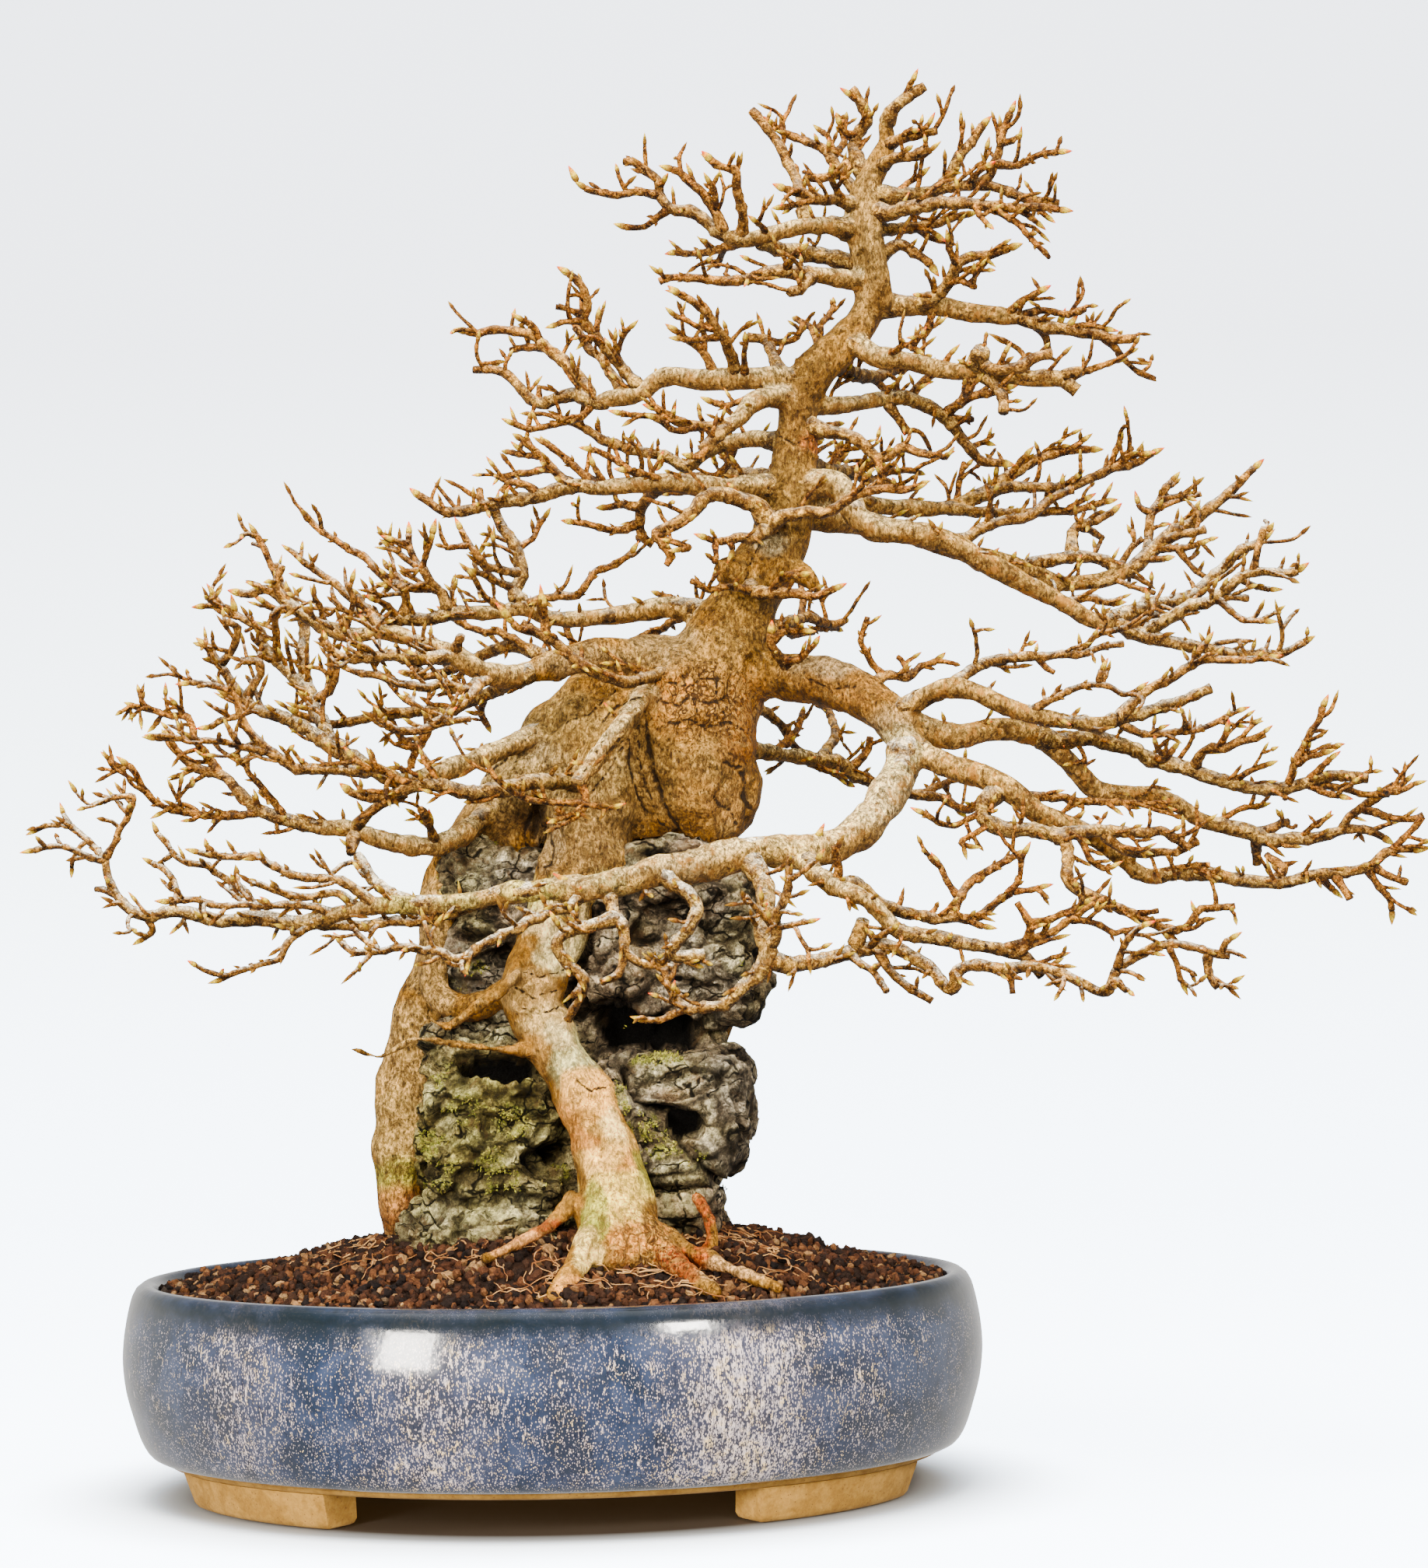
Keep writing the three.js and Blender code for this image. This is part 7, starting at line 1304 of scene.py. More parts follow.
# Wood that closes the hollows between the muscles of the trunk, as further tubes.
FILLING = {
    "swelling_edge": [[62, 380, -11, 17], [61, 354, -12, 17.5], [62, 334, -10, 15], [64, 318, -6, 10]],
    "swelling_top": [[70, 398, -6, 21], [72, 382, -6, 23], [80, 366, -5, 23], [84, 352, -3, 22]],
    "under_shoulder": [[22, 336, 4, 15], [2, 328, 6, 14], [-13, 317, 8, 11], [-22, 307, 8, 8]],
    "shoulder_fold": [[40, 384, -6, 15], [18, 368, -7, 14], [6, 350, -8, 12], [2, 334, -8, 10]],
}
sprays = {}
for spray_name, anchor, limbs in SPRAYS:
    grown = [TRUNK[anchor]] if anchor in TRUNK else [sprays[anchor][0][0]]
    made = []
    for depths, radii, end, path in limbs:
        start = nearest_on([m[0] for m in made] or grown, path[0], path[1])
        made.append((samples_of(start, depths, radii, path), end, start[4]))
    sprays[spray_name] = made

# Limbs of at least the first radius share the trunk's skin, down to the second; the skin's mesh size.
SKIN_LIMB, SKIN_END = 5.0, 3.4
SKIN_GRID = 1.65
TRUNK_TRIANGLES = 190000
# Bark runs upright: its noise is drawn out along the height.
GRAIN, FINE_GRAIN = np.array([1.0, 1.0, 0.16]), np.array([1.0, 1.0, 0.5])
# A distance, in line widths, that is too far for a dark line to show.
NO_LINE = 3.0
# One turn in radians, for the rings of the scars.
TURN = 6.283
# Rough bark above the swelling and at the foot: the middles and proportions of two ovals.
ROUGH_TOP, ROUGH_FOOT = (78, 383, 1.15, 1), (44, 116, 1, 1)


def nearness(verts, points, radii):
    """Distance from the nearest of the points, as a multiple of the radius there."""
    tree = kdtree.KDTree(len(points))
    for i, point in enumerate(points):
        tree.insert(point, i)
    tree.balance()
    found = [tree.find(v) for v in verts]
    return np.array([distance / radii[i] for _, i, distance in found])


def thick_part(samples):
    """The stretch of a stout limb that is grown together with the trunk's skin."""
    return [s for s in samples if s[3] >= SKIN_END]


def trunk_pile():
    """Tubes of the trunk, the roots and the stout limbs, and the middle lines of those limbs."""
    pile = Pile()
    for k, samples in enumerate([*TRUNK.values(), *FILLING.values()]):
        points, radii = solid_points(samples)
        thick = max(radii) > 7
        points, radii = smooth_path(points, radii, 2.2 if thick else 1.5)
        wave = fbm(points, 22, 2, 3.7 * k)
        radii = radii * (1 + (0.10 if thick else 0.16) * wave)
        rings = rings_along(points, radii, 26 if thick else 12, 0.055 if thick else 0.09, 1.7 * k)
        pile.add(*tube_mesh(rings))
    limb_points, limb_radii = [], []
    for name, limbs in sprays.items():
        for k, (samples, _, host) in enumerate(limbs):
            part = thick_part(samples)
            if samples[0][3] < SKIN_LIMB or len(part) < 3:
                continue
            points, radii = smooth_path(*solid_points(part), 1.8)
            radii = radii * (1 + 0.13 * fbm(points, 13, 2, 2.3 * k + len(name)))
            pile.add(*tube_mesh(rings_along(points, radii, 16, 0.05, 0.9 * k + len(name))))
            away = run_along(points) > host * 1.1
            limb_points.append(points[away])
            limb_radii.append(radii[away])
    return pile, np.vstack(limb_points), np.concatenate(limb_radii)


def trunk_lines():
    """Middle lines of the thick parts of the trunk and the roots."""
    thick = [samples for samples in TRUNK.values() if max(s[3] for s in samples) > 9]
    points, radii = zip(*(smooth_path(*solid_points(samples), 2.2) for samples in thick))
    return np.vstack(points), np.concatenate(radii)


def carved(px, pz, facing, grooves, lumps, fine):
    """How far the bark's surface moves, how much painted shade its clefts get, and where its dark lines and
    scar rings run.
    """
    thick = smoothstep(440, 380, pz) * smoothstep(-140, -60, px) * smoothstep(190, 150, px)
    push = grooves * (0.35 + 0.75 * thick) + lumps * (0.5 + 0.9 * thick) + 0.28 * fine
    cleft_shade = np.zeros(len(px))
    for width, depth, path in CLEFTS:
        near = np.exp(-(polyline_distance(px, pz, path) / width) ** 2) * facing
        push -= depth * near
        cleft_shade = np.maximum(cleft_shade, near * min(1, depth / 5))
    line = np.full(len(px), NO_LINE)
    for width, path in LINES:
        line = np.minimum(line, polyline_distance(px + 0.9 * fine, pz + 0.9 * grooves, path) / width)
    line = NO_LINE - (NO_LINE - line) * (facing > 0.3)
    push -= 0.7 * np.clip(1 - line / 1.6, 0, 1)
    ring = np.zeros(len(px))
    for x, z, wide, high, rim, sunk, rings in SCARS:
        far = oval_distance(px, pz, x, z, wide, high) * (1 + 0.06 * lumps)
        inside = smoothstep(1.0, 0.75, far) * facing
        push += rim * np.exp(-((far - 1) / 0.16) ** 2) * facing
        push -= sunk * inside - 0.28 * np.sin(far * rings * TURN) * inside
        ring = np.maximum(ring, np.where(far < 1.12, far, 0) * facing)
    return push, cleft_shade, line, ring


def bark_colours(verts, normals, px, pz, grooves, fine, limb, bleached):
    """Gold and tan trunk with its patches, and limbs that are paler on top from bleached wood and painted
    light.
    """
    warp_x, warp_z = px + 5 * fbm(verts, 15, 2, 21.0), pz + 5 * fbm(verts, 15, 2, 31.0)
    base = blend(np.tile(GOLD, (len(verts), 1)), TAN, smoothstep(430, 520, pz))
    base = painted(base, PATCHES, warp_x, warp_z, 1.6 * fine, 1.6 * grooves)
    top_light_colour = blend(np.tile(LIMB_TOP_LIGHT, (len(verts), 1)), BLEACHED_AND_LIT, bleached)
    # Painted light: the limbs are paler where they face up.
    shade = blend(np.tile(LIMB, (len(verts), 1)), top_light_colour, 0.6 * smoothstep(-0.2, 0.7, normals[:, 2]))
    base = painted(blend(base, shade, 0.85 * limb), LIMB_PATCHES, warp_x, warp_z)
    return np.clip(base, 0, 1)


def trunk_wood(material):
    pile, *limb_lines = trunk_pile()
    wood = remeshed(pile, "trunk_wood", material, SKIN_GRID)
    smooth = wood.modifiers.new("smooth", "SMOOTH")
    smooth.factor, smooth.iterations = 0.5, 4
    apply_modifiers(wood)
    verts, normals = coords(wood)
    px, pz = front_plane(verts)
    facing = smoothstep(0.15, -0.35, normals[:, 1])
    grooves, lumps = fbm(verts * GRAIN, 9, 3, 4.1), fbm(verts, 24, 3, 9.3)
    fine = fbm(verts * FINE_GRAIN, 4.5, 3, 1.9)
    push, cleft_shade, line, ring = carved(px, pz, facing, grooves, lumps, fine)
    set_coords(wood, verts + normals * push[:, None])
    on_root = smoothstep(285, 262, pz) * smoothstep(52, 44, px) * smoothstep(-30, -22, px)
    rough_top = smoothstep(32, 12, oval_distance(px, pz, *ROUGH_TOP))
    rough_foot = smoothstep(26, 8, oval_distance(px, pz, *ROUGH_FOOT))
    limb = smoothstep(1.75, 1.25, nearness(verts, *limb_lines))
    limb *= smoothstep(0.98, 1.22, nearness(verts, *trunk_lines()))
    bleached = smoothstep(215, 165, px)
    # Painted shade in the clefts and down in the deepest grooves.
    put_value(wood, "cleft_shade", np.clip(cleft_shade + 0.4 * smoothstep(-0.5, -0.9, grooves), 0, 1))
    put_value(wood, "line", line)
    put_value(wood, "ring", ring)
    put_value(wood, "flaky", on_root * smoothstep(-18, -30, verts[:, 1]))
    put_value(wood, "rough", 0.95 * rough_top + 0.10 + 0.8 * rough_foot)
    put_value(wood, "limb", limb * (1 - 0.45 * bleached))
    put_colour(wood, "patch", bark_colours(verts, normals, px, pz, grooves, fine, limb, bleached))
    thinned(wood, TRUNK_TRIANGLES)
    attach(wood, "root")
    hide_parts("trunk")


# Branches.
SPRAY_SEED = 1000
# Distances between nodes along a limb, how far a limb turns off at them, and the step of its mesh.
NODE_GAP = (5.0, 9.5)
NODE_BEND = 0.55
STEP = 1.9
# How pale the bark of a spray is: older, greyer bark, and more bleached bark and painted light on its tops.
PALE_AND_LIT_SPRAYS = {
    "branch_front_sweep": 0.9, "branch_left_stub": 0.5, "branch_right_grey": 0.8, "branch_low_right": 0.5,
    "branch_left_long": 0.4, "branch_right_cut": 0.4, "branch_right_mid": 0.3, "branch_left_shelf": 0.3,
}
# Lengths of spurs: short, middling and long, and their shares in the crown and in its dense part.
SPUR_LENGTHS = ((2.5, 6), (5, 12), (11, 22))
SPUR_SHARES = {False: (0.42, 0.40, 0.18), True: (0.30, 0.36, 0.34)}
# Room that a spur leaves for its bud, and for the box of the solids, in millimetres and metres.
BUD_ROOM = 7
BOX_MARGIN = 0.006


def knobbed(points, radii, rng, steady):
    """A limb with a slight turn and a swelling at each of its nodes, from the steady run on."""
    run = run_along(points)
    at = [steady]
    while at[-1] < run[-1]:
        at.append(at[-1] + rng.uniform(*NODE_GAP) * (0.8 + 0.1 * radii.mean()))
    shift = rng.normal(0, NODE_BEND, (len(at), 3))
    shift[0] = 0
    offset = np.stack([np.interp(run, at, column) for column in shift.T], axis=1)
    swell = np.zeros(len(run))
    for a in at[1:]:
        swell = np.maximum(swell, np.exp(-((run - a) / 1.1) ** 2) * rng.uniform(0.5, 1.0))
    every_3mm = np.arange(0, run[-1] + 6, 3)
    uneven = np.interp(run, every_3mm, rng.normal(0, 0.06, len(every_3mm)))
    fat = radii * (1 + uneven) + swell * (0.16 + 0.16 * np.minimum(radii, 3.2))
    return points + offset, fat, swell, at[1:-1]


def add_bud(pile, tip, direction, length, radius, hue, sides=6, ripe=1.0):
    """A pointed winter bud whose scales overlap; an unripe one stays brown."""
    steps = np.array([0.0, 0.12, 0.3, 0.5, 0.72, 0.9])
    girth = np.array([0.62, 0.92, 1.0, 0.84, 0.55, 0.24]) * radius
    points = tip + np.outer(steps * length, direction)
    rings = rings_along(points, girth, sides, 0.05, hue * 9)
    verts, faces = tube_mesh(rings, tip + direction * length)
    shade = np.concatenate([np.repeat(0.18 + 0.8 * steps, sides), [0.18, 1.0]])
    pile.add(verts, faces, bud=np.clip(shade * (0.75 + 0.4 * hue) * ripe, 0.1, 1), tint=hue)


def per_vertex(row, sides):
    """A value at each ring of a tube, as one at each vertex of its mesh."""
    return np.concatenate([np.repeat(row, sides), [row[0], row[-1]]])


def add_stem(pile, points, radii, sides, rng, tint, pale, host):
    """One limb with its knobs and its collar; returns its points, radii and the run at each node."""
    run = run_along(points)
    points, fat, swell, at = knobbed(points, radii, rng, host)
    collar = radii[0] * np.exp(-((run - host) / (1.1 * radii[0] + 1.2)) ** 2) * (run > host * 0.6)
    fat = fat * (1.09 - 0.03 * np.clip(radii - 1.5, 0, 3)) + 0.35 * collar
    deep = smoothstep(SKIN_END + 0.2, SKIN_END + 0.9, radii)
    inner = fat * (1 - 0.24 * deep) if radii[0] >= SKIN_LIMB else fat
    rings = rings_along(points, inner, sides, 0.045, tint * 20)
    verts, faces = tube_mesh(rings)
    age = np.clip(smoothstep(1.3, 3.6, radii) + 0.35 * pale, 0, 1)
    knot = per_vertex(swell * (1 - 0.6 * age), sides)
    pile.add(verts, faces, age=per_vertex(age, sides), knot=knot, tint=tint, pale=pale)
    return points, fat, at


def side_bud_pair(pile, points, fat, where, rng):
    """Two small buds opposite each other where leaves have fallen."""
    run = run_along(points)
    i = int(np.clip(np.searchsorted(run, where), 1, len(points) - 2))
    along = unit(points[i + 1] - points[i - 1])
    side = unit(np.cross(along, rng.normal(0, 1, 3)))
    for sign in (1, -1):
        if rng.random() < 0.22:
            continue
        out = unit(along * 0.9 + side * sign * 0.7)
        base = points[i] + side * sign * fat[i] * 0.7
        add_bud(pile, base, out, rng.uniform(2.4, 4.2), rng.uniform(0.75, 1.15), rng.random(), 5, 0.4)


def add_spur(pile, base, direction, length, radius, rng, tint, pale, forks=1):
    """A short side twig that ends in a bud; the longer ones fork."""
    count = max(3, int(length / 2.6) + 2)
    bend = rng.normal(0, 0.26, 3) + np.array([0, 0, 0.16])
    points, heading = [base], direction
    for _ in range(count - 1):
        heading = unit(heading + bend * (3.0 / count) + rng.normal(0, 0.13, 3))
        points.append(points[-1] + heading * length / (count - 1))
    points = np.array(points)
    radii = np.linspace(radius, radius * 0.78, count)
    radii[1:] += rng.uniform(0, 0.30, count - 1)
    rings = rings_along(points, radii, 5, 0.05, tint * 9)
    verts, faces = tube_mesh(rings)
    pile.add(verts, faces, age=0.25 * pale, knot=0.6 * (rng.random(len(verts)) > 0.6), tint=tint, pale=pale)
    length_of_bud, girth = rng.uniform(4.2, 7.8), rng.uniform(0.95, 1.40)
    add_bud(pile, points[-1] - heading * 0.3, heading, length_of_bud, girth, rng.random(), 5,
            rng.choice([0.4, 0.6, 0.95]))
    if forks and length > 5.5 and rng.random() < 0.7:
        i = int(rng.integers(1, count - 1))
        side = unit(np.cross(heading, rng.normal(0, 1, 3)))
        short = rng.uniform(0.3, 0.6) * length
        add_spur(pile, points[i], unit(side + 0.8 * heading), short, radius * 0.86, rng, rng.random(), pale,
                 forks - 1)


# The middle of the crown.
CROWN = np.array([95.0, 40.0, 420.0])


def spur_direction(along, point, rng):
    """Sideways from the limb, mostly up and away from the middle of the crown."""
    outward = unit(point - CROWN)
    side = unit(np.cross(along, rng.normal(0, 1, 3)))
    if side.dot(outward + np.array([0, 0, 0.6])) < -0.1:
        side = -side
    return unit(side + 0.75 * along + 0.25 * outward)


def in_dense_part(point):
    """The left side of the crown, where the small twigs stand closest."""
    return point[0] < -25 and 325 < point[2] < 600


def inside_box(point):
    """Whether a twig may reach this far without passing the box of the solids."""
    at = point * MM + CENTRE
    low, high = (np.array(v) for v in cad_box)
    return bool(np.all(at > low - BOX_MARGIN) and np.all(at < high + BOX_MARGIN))


# The largest buds seen from the front: [x, z, lean to the right, rise, length].
SWOLLEN_BUDS = [
    [15, 296, -0.8, 0.5, 11], [-1, 428, -0.1, 1.0, 12], [-18, 421, -0.6, 0.7, 11], [131, 306, 0.5, 1.0, 10],
    [113, 408, -0.2, 1.0, 10], [-54, 465, 0.3, 1.0, 9], [257, 563, 0.4, 1.0, 9], [262, 566, 0.7, 0.8, 8],
    [20, 640, -0.5, 0.9, 9], [-150, 432, -0.2, 1.0, 10], [-76, 372, -0.4, 1.0, 9], [88, 404, -0.3, 0.8, 8],
    [-52, 322, -0.1, 1.0, 9],
]
BUD_FORWARD, BUD_GIRTH = -0.35, 1.9


def swollen_buds(material):
    """Buds about to open, yellow-green below and red at the tip, each on the limb nearest to its place."""
    pile = Pile("age", "knot", "bud", "tint", "pale")
    every = [samples for limbs in sprays.values() for samples, _, _ in limbs]
    for x, z, lean, rise, length in SWOLLEN_BUDS:
        _, foot_x, foot_z, depth, girth = nearest_on(every, x, z)
        heading = unit(np.array([lean, BUD_FORWARD, rise]))
        foot = place(foot_x, foot_z, depth) + heading * girth * 0.5
        add_bud(pile, foot, heading, length, BUD_GIRTH, 0.75, 8)
    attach(pile.build("swollen_buds", material), "root")


def node_growth(pile, limb, radii, fat, where, rng, pale):
    """What grows at one node of a limb: a pair of small buds, a spur or two, or nothing."""
    i = min(max(int(np.searchsorted(run_along(limb), where)), 1), len(limb) - 2)
    along = unit(limb[i + 1] - limb[i - 1])
    if radii[i] < 1.9 and rng.random() < 0.30:
        side_bud_pair(pile, limb, fat, where, rng)
        return
    dense = in_dense_part(limb[i])
    for _ in range(2 if dense and rng.random() < 0.55 else 1):
        if rng.random() > (0.90 if radii[i] < 3.2 else 0.7 if radii[i] < 5 else 0.25):
            continue
        direction = spur_direction(along, limb[i], rng)
        length = rng.choice([rng.uniform(*span) for span in SPUR_LENGTHS], p=SPUR_SHARES[dense])
        base = limb[i] + direction * fat[i] * 0.55
        if inside_box(base + direction * (length + BUD_ROOM)):
            girth = rng.uniform(0.9, 1.35)
            add_spur(pile, base, direction, length, girth, rng, rng.random(), pale, 1 + dense)


def spray_piece(name, limbs, seed, material):
    """One branch with its twigs, spurs and buds."""
    rng = np.random.default_rng(seed)
    pile = Pile("age", "knot", "bud", "tint", "pale")
    pale = PALE_AND_LIT_SPRAYS.get(name, 0.0)
    for samples, end, host in limbs:
        points, radii = solid_points(samples)
        tint = rng.random()
        fine, fine_r = smooth_path(points, radii, STEP)
        tip = fine[-1]
        if end == BUD:
            whole = run_along(points)[-1]
            stop = max(whole - 6.5, whole * 0.45)
            last = max(2, int(np.searchsorted(run_along(fine), stop)))
            fine, fine_r = fine[:last + 1], fine_r[:last + 1]
        sides = 9 if fine_r.max() > 4 else 7 if fine_r.max() > 2 else 6
        reach_in = min(host, run_along(fine)[-1] * 0.4)
        limb, fat, nodes = add_stem(pile, fine, fine_r, sides, rng, tint, pale, reach_in)
        if end == BUD:
            heading = unit(tip - limb[-1])
            length = np.clip(np.linalg.norm(tip - limb[-1]), 7.5, 10.5)
            girth = max(1.35, fine_r[-1] * 1.15)
            add_bud(pile, limb[-1] - heading * 0.4, heading, length, girth, rng.random())
        total = run_along(limb)[-1]
        for where in nodes:
            if reach_in + 3 <= where <= total - 2:
                node_growth(pile, limb, fine_r, fat, where, rng, pale)
    piece = pile.build(name.replace("branch", "twigs"), material)
    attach(piece, "root")
    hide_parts(name)


# Rock.
# Lumps of [x, z, depth, half width, half depth, half height, roughness, seed], as in the solids.
ROCK = [
    [15, 200, 12, 50, 31, 104, 0.06, 11], [44, 212, 17, 42, 31, 62, 0.07, 19],
    [60, 266, 4, 46, 42, 45, 0.09, 12], [-22, 262, 12, 31, 28, 51, 0.08, 13],
    [-27, 170, 2, 33, 45, 54, 0.09, 14], [59, 177, -2, 39, 46, 31, 0.08, 15],
    [50, 116, 2, 34, 40, 34, 0.08, 16], [-34, 118, -8, 38, 42, 17, 0.08, 17],
    [-57, 160, 8, 10, 16, 16, 0.06, 18],
]
ROCK_BOXINESS = 4.5
# The mesh size of the rock's skin, how its layers lean, and how deep or high its relief may get.
ROCK_GRID = 1.9
BEDDING = np.array([[0.86, 0.10, 0.28], [-0.20, 1.0, 0.05], [-0.34, 0.05, 0.94]])
RELIEF = (-15, 4.0)
# Size and height of the stone's blocks and chips, and how much flatter than long they are.
BLOCKS, BLOCK_FLATNESS = (29.0, 3.6), np.array([1.0, 1.0, 1.7])
CHIPS, CHIP_FLATNESS = (11.0, 2.0), np.array([1.0, 1.0, 2.2])
# The smooth slab on the right, as the x, z, half width and half height of an oval.
SLAB = (88, 170, 22, 36)
# Hollows in the rock's front, cut in and painted with shade: [x, z, half width, half height, depth].
HOLLOWS = [
    [50, 217, 34, 9, 12], [30, 226, 12, 9, 8], [66, 172, 11, 8, 18], [56, 179, 8, 5, 12],
    [-4, 158, 13, 8, 14], [-6, 149, 12, 5, 8], [-24, 202, 21, 8, 10], [-38, 206, 10, 5, 6],
    [-60, 152, 5, 5, 5], [-42, 160, 6, 5, 6], [-30, 172, 5, 6, 5], [38, 200, 5, 6, 6],
    [-34, 266, 12, 3.5, 7], [-22, 256, 7, 5, 7], [-40, 244, 9, 4, 5], [-12, 186, 9, 5, 6],
    [78, 230, 6, 9, 3], [-54, 134, 5, 4, 4], [62, 142, 14, 4, 5], [14, 236, 5, 12, 8], [-20, 140, 6, 3, 5],
    [-50, 178, 5, 4, 5], [-22, 160, 5, 4, 5], [-36, 148, 6, 3, 4], [52, 306, 12, 4, 5],
]
# Fractures across the rock, cut in and painted with shade: [width, depth, x z ...].
FRACTURES = [
    [2.6, 9.0, [34, 204, 40, 190, 48, 181, 58, 178]], [2.4, 9.0, [62, 168, 70, 158, 84, 142]],
    [1.6, 3.2, [34, 300, 48, 282, 70, 270, 92, 262]], [1.2, 3.0, [44, 190, 60, 186, 80, 192, 94, 204]],
    [1.4, 2.6, [60, 304, 64, 284, 80, 266]], [1.3, 2.6, [-54, 176, -40, 184, -30, 190, -12, 186]],
    [1.4, 2.6, [-48, 296, -38, 284, -26, 280, -22, 262]],
    [1.4, 3.6, [-70, 124, -50, 134, -30, 138, 2, 136]], [1.3, 3.2, [-54, 118, -40, 126, -16, 128, 4, 132]],
    [1.4, 2.6, [46, 250, 60, 240, 84, 238]], [1.3, 2.4, [84, 200, 92, 184, 96, 166]],
    [1.0, 2.0, [-12, 300, -14, 288, -12, 280]], [1.2, 2.0, [40, 150, 56, 156, 76, 160]],
]
# Where moss grows on the front: [x, z, half width, half height].
MOSS = [
    [-46, 150, 20, 9], [-26, 148, 14, 8], [-58, 166, 7, 10], [-40, 182, 14, 8], [-20, 176, 10, 12],
    [-30, 158, 12, 6], [44, 166, 10, 16], [56, 162, 12, 9], [72, 156, 9, 5], [36, 190, 6, 12],
    [48, 178, 7, 7], [54, 204, 18, 3], [-48, 242, 8, 6], [-38, 252, 8, 4], [4, 150, 6, 5], [-52, 196, 7, 6],
]
# Paler weathered faces of the rock: [x, z, half width, half height].
PALE_FACES = [
    [86, 170, 18, 30], [66, 198, 34, 8], [-34, 130, 34, 14], [-28, 222, 26, 8], [78, 256, 26, 30],
    [86, 226, 16, 10], [-26, 296, 24, 14], [-36, 252, 16, 14], [56, 150, 18, 10], [-48, 186, 16, 16],
    [44, 186, 8, 12], [-24, 166, 26, 16], [30, 300, 18, 8],
]


def sphere_points(detail):
    """Vertices and faces of an icosphere of radius one."""
    bm = bmesh.new()
    bmesh.ops.create_icosphere(bm, subdivisions=detail, radius=1.0)
    verts = np.array([v.co[:] for v in bm.verts])
    faces = [tuple(v.index for v in f.verts) for f in bm.faces]
    bm.free()
    return verts / np.linalg.norm(verts, axis=1)[:, None], faces


def rock_box(n, halves):
    """How far a rounded box reaches in each direction."""
    return (np.abs(n / halves) ** ROCK_BOXINESS).sum(axis=1) ** (-1 / ROCK_BOXINESS)


def in_rock(point, inwards):
    """Whether the point lies this far inside one of the rock's lumps."""
    for x, z, depth, *halves, _, _ in ROCK:
        away = (point - place(x, z, depth))[None]
        length = np.linalg.norm(away) + 1e-9
        if length < rock_box(away / length, np.array(halves))[0] - inwards:
            return True
    return False


# The last colour is the stone's dark seams and joints, and the painted shade in its hollows.
OLIVE_TONE, ROCK_RUST, ROCK_JOINTS_AND_SHADE = (1.0, 1.06, 0.50), (0.16, 0.075, 0.026), (0.002, 0.0016, 0.0012)


def rock_material():
    n = Nodes("rock_stone")
    base = n.ramp(n.noise(20, 8, 0.70, 0.7), (0.36, (0.040, 0.032, 0.023)), (0.46, (0.145, 0.105, 0.064)),
                  (0.54, (0.27, 0.195, 0.118)), (0.62, (0.45, 0.345, 0.21)))
    weathered = n.ramp(n.noise(9, 8, 0.72, 0.6), (0.40, (0.20, 0.168, 0.118)), (0.50, (0.46, 0.39, 0.27)),
                       (0.60, (0.90, 0.78, 0.54)))
    base = n.mix(n.times(n.value("pale"), 0.85), base, weathered)
    warped = n.drifted(0.016, n.stretched(0.8, 0.8, 1.5), 85.0)
    plate = n.ramp(n.cells(15, where=warped, out="Color"), (0.15, 0.45), (0.50, 1.0), (0.85, 1.75))
    base = n.toned(0.9, base, plate)
    joints = n.ramp(n.cells(15, "DISTANCE_TO_EDGE", warped), (0.0, 1.0), (0.035, 0.9), (0.070, 0.0))
    joints = n.times(joints, n.ramp(n.noise(18, 4, 0.6), (0.44, 0.15), (0.52, 1.0)))
    base = mottled(n, base, 4.5, 0.55, 1.45)
    grain = n.noise(1.6, 8, 0.78, 0.4)
    base = n.toned(0.9, base, n.ramp(grain, (0.40, 0.30), (0.50, 1.0), (0.60, 1.9)))
    edge = n.times(n.value("edge"), n.ramp(n.noise(6, 7, 0.72), (0.44, 0.0), (0.54, 1.0)))
    worn = n.ramp(grain, (0.42, (0.36, 0.29, 0.15)), (0.58, (0.90, 0.78, 0.46)))
    base = n.mix(n.times(edge, 0.85), base, worn)
    base = n.toned(n.times(n.value("olive"), 0.75), base, OLIVE_TONE)
    rust = n.ramp(n.noise(15, 6, 0.65, 0.9), (0.56, 0.0), (0.62, 1.0))
    base = n.mix(n.times(rust, 0.5), base, ROCK_RUST)
    green = n.times(n.value("moss"), n.ramp(n.noise(4.5, 7, 0.72), (0.44, 0.1), (0.54, 1.0)))
    mossy = n.ramp(grain, (0.42, (0.060, 0.070, 0.010)), (0.58, (0.34, 0.33, 0.042)))
    base = n.mix(n.times(green, 0.9), base, mossy)
    seams = n.ramp(n.noise(26, 7, 0.6, 1.4), (0.484, 0.0), (0.496, 1.0), (0.500, 1.0), (0.512, 0.0))
    nooks = n.ramp(n.noise(7, 8, 0.72, 0.8), (0.40, 1.0), (0.45, 0.0))
    dark = n.most(n.times(seams, 0.8), n.times(nooks, 0.7))
    dark = n.most(dark, joints)
    # Painted shade, near black, in the hollows, fractures and joints between blocks.
    dark = n.most(dark, n.value("hollow_shade"))
    base = n.mix(dark, shaded_below(n, base, 0.22, 1.30), ROCK_JOINTS_AND_SHADE)
    height = n.plus(n.times(n.noise(5, 9, 0.74), 1.7), n.times(grain, 0.9))
    height = n.minus(height, n.times(dark, 0.5))
    shine = n.ramp(grain, (0.4, 0.60), (0.6, 0.9))
    return n.finish(base, shine, n.bump(height, 1.0, 2.8), Specular_IOR_Level=0.10)


DRY_MOSS = (0.25, 0.15, 0.05)


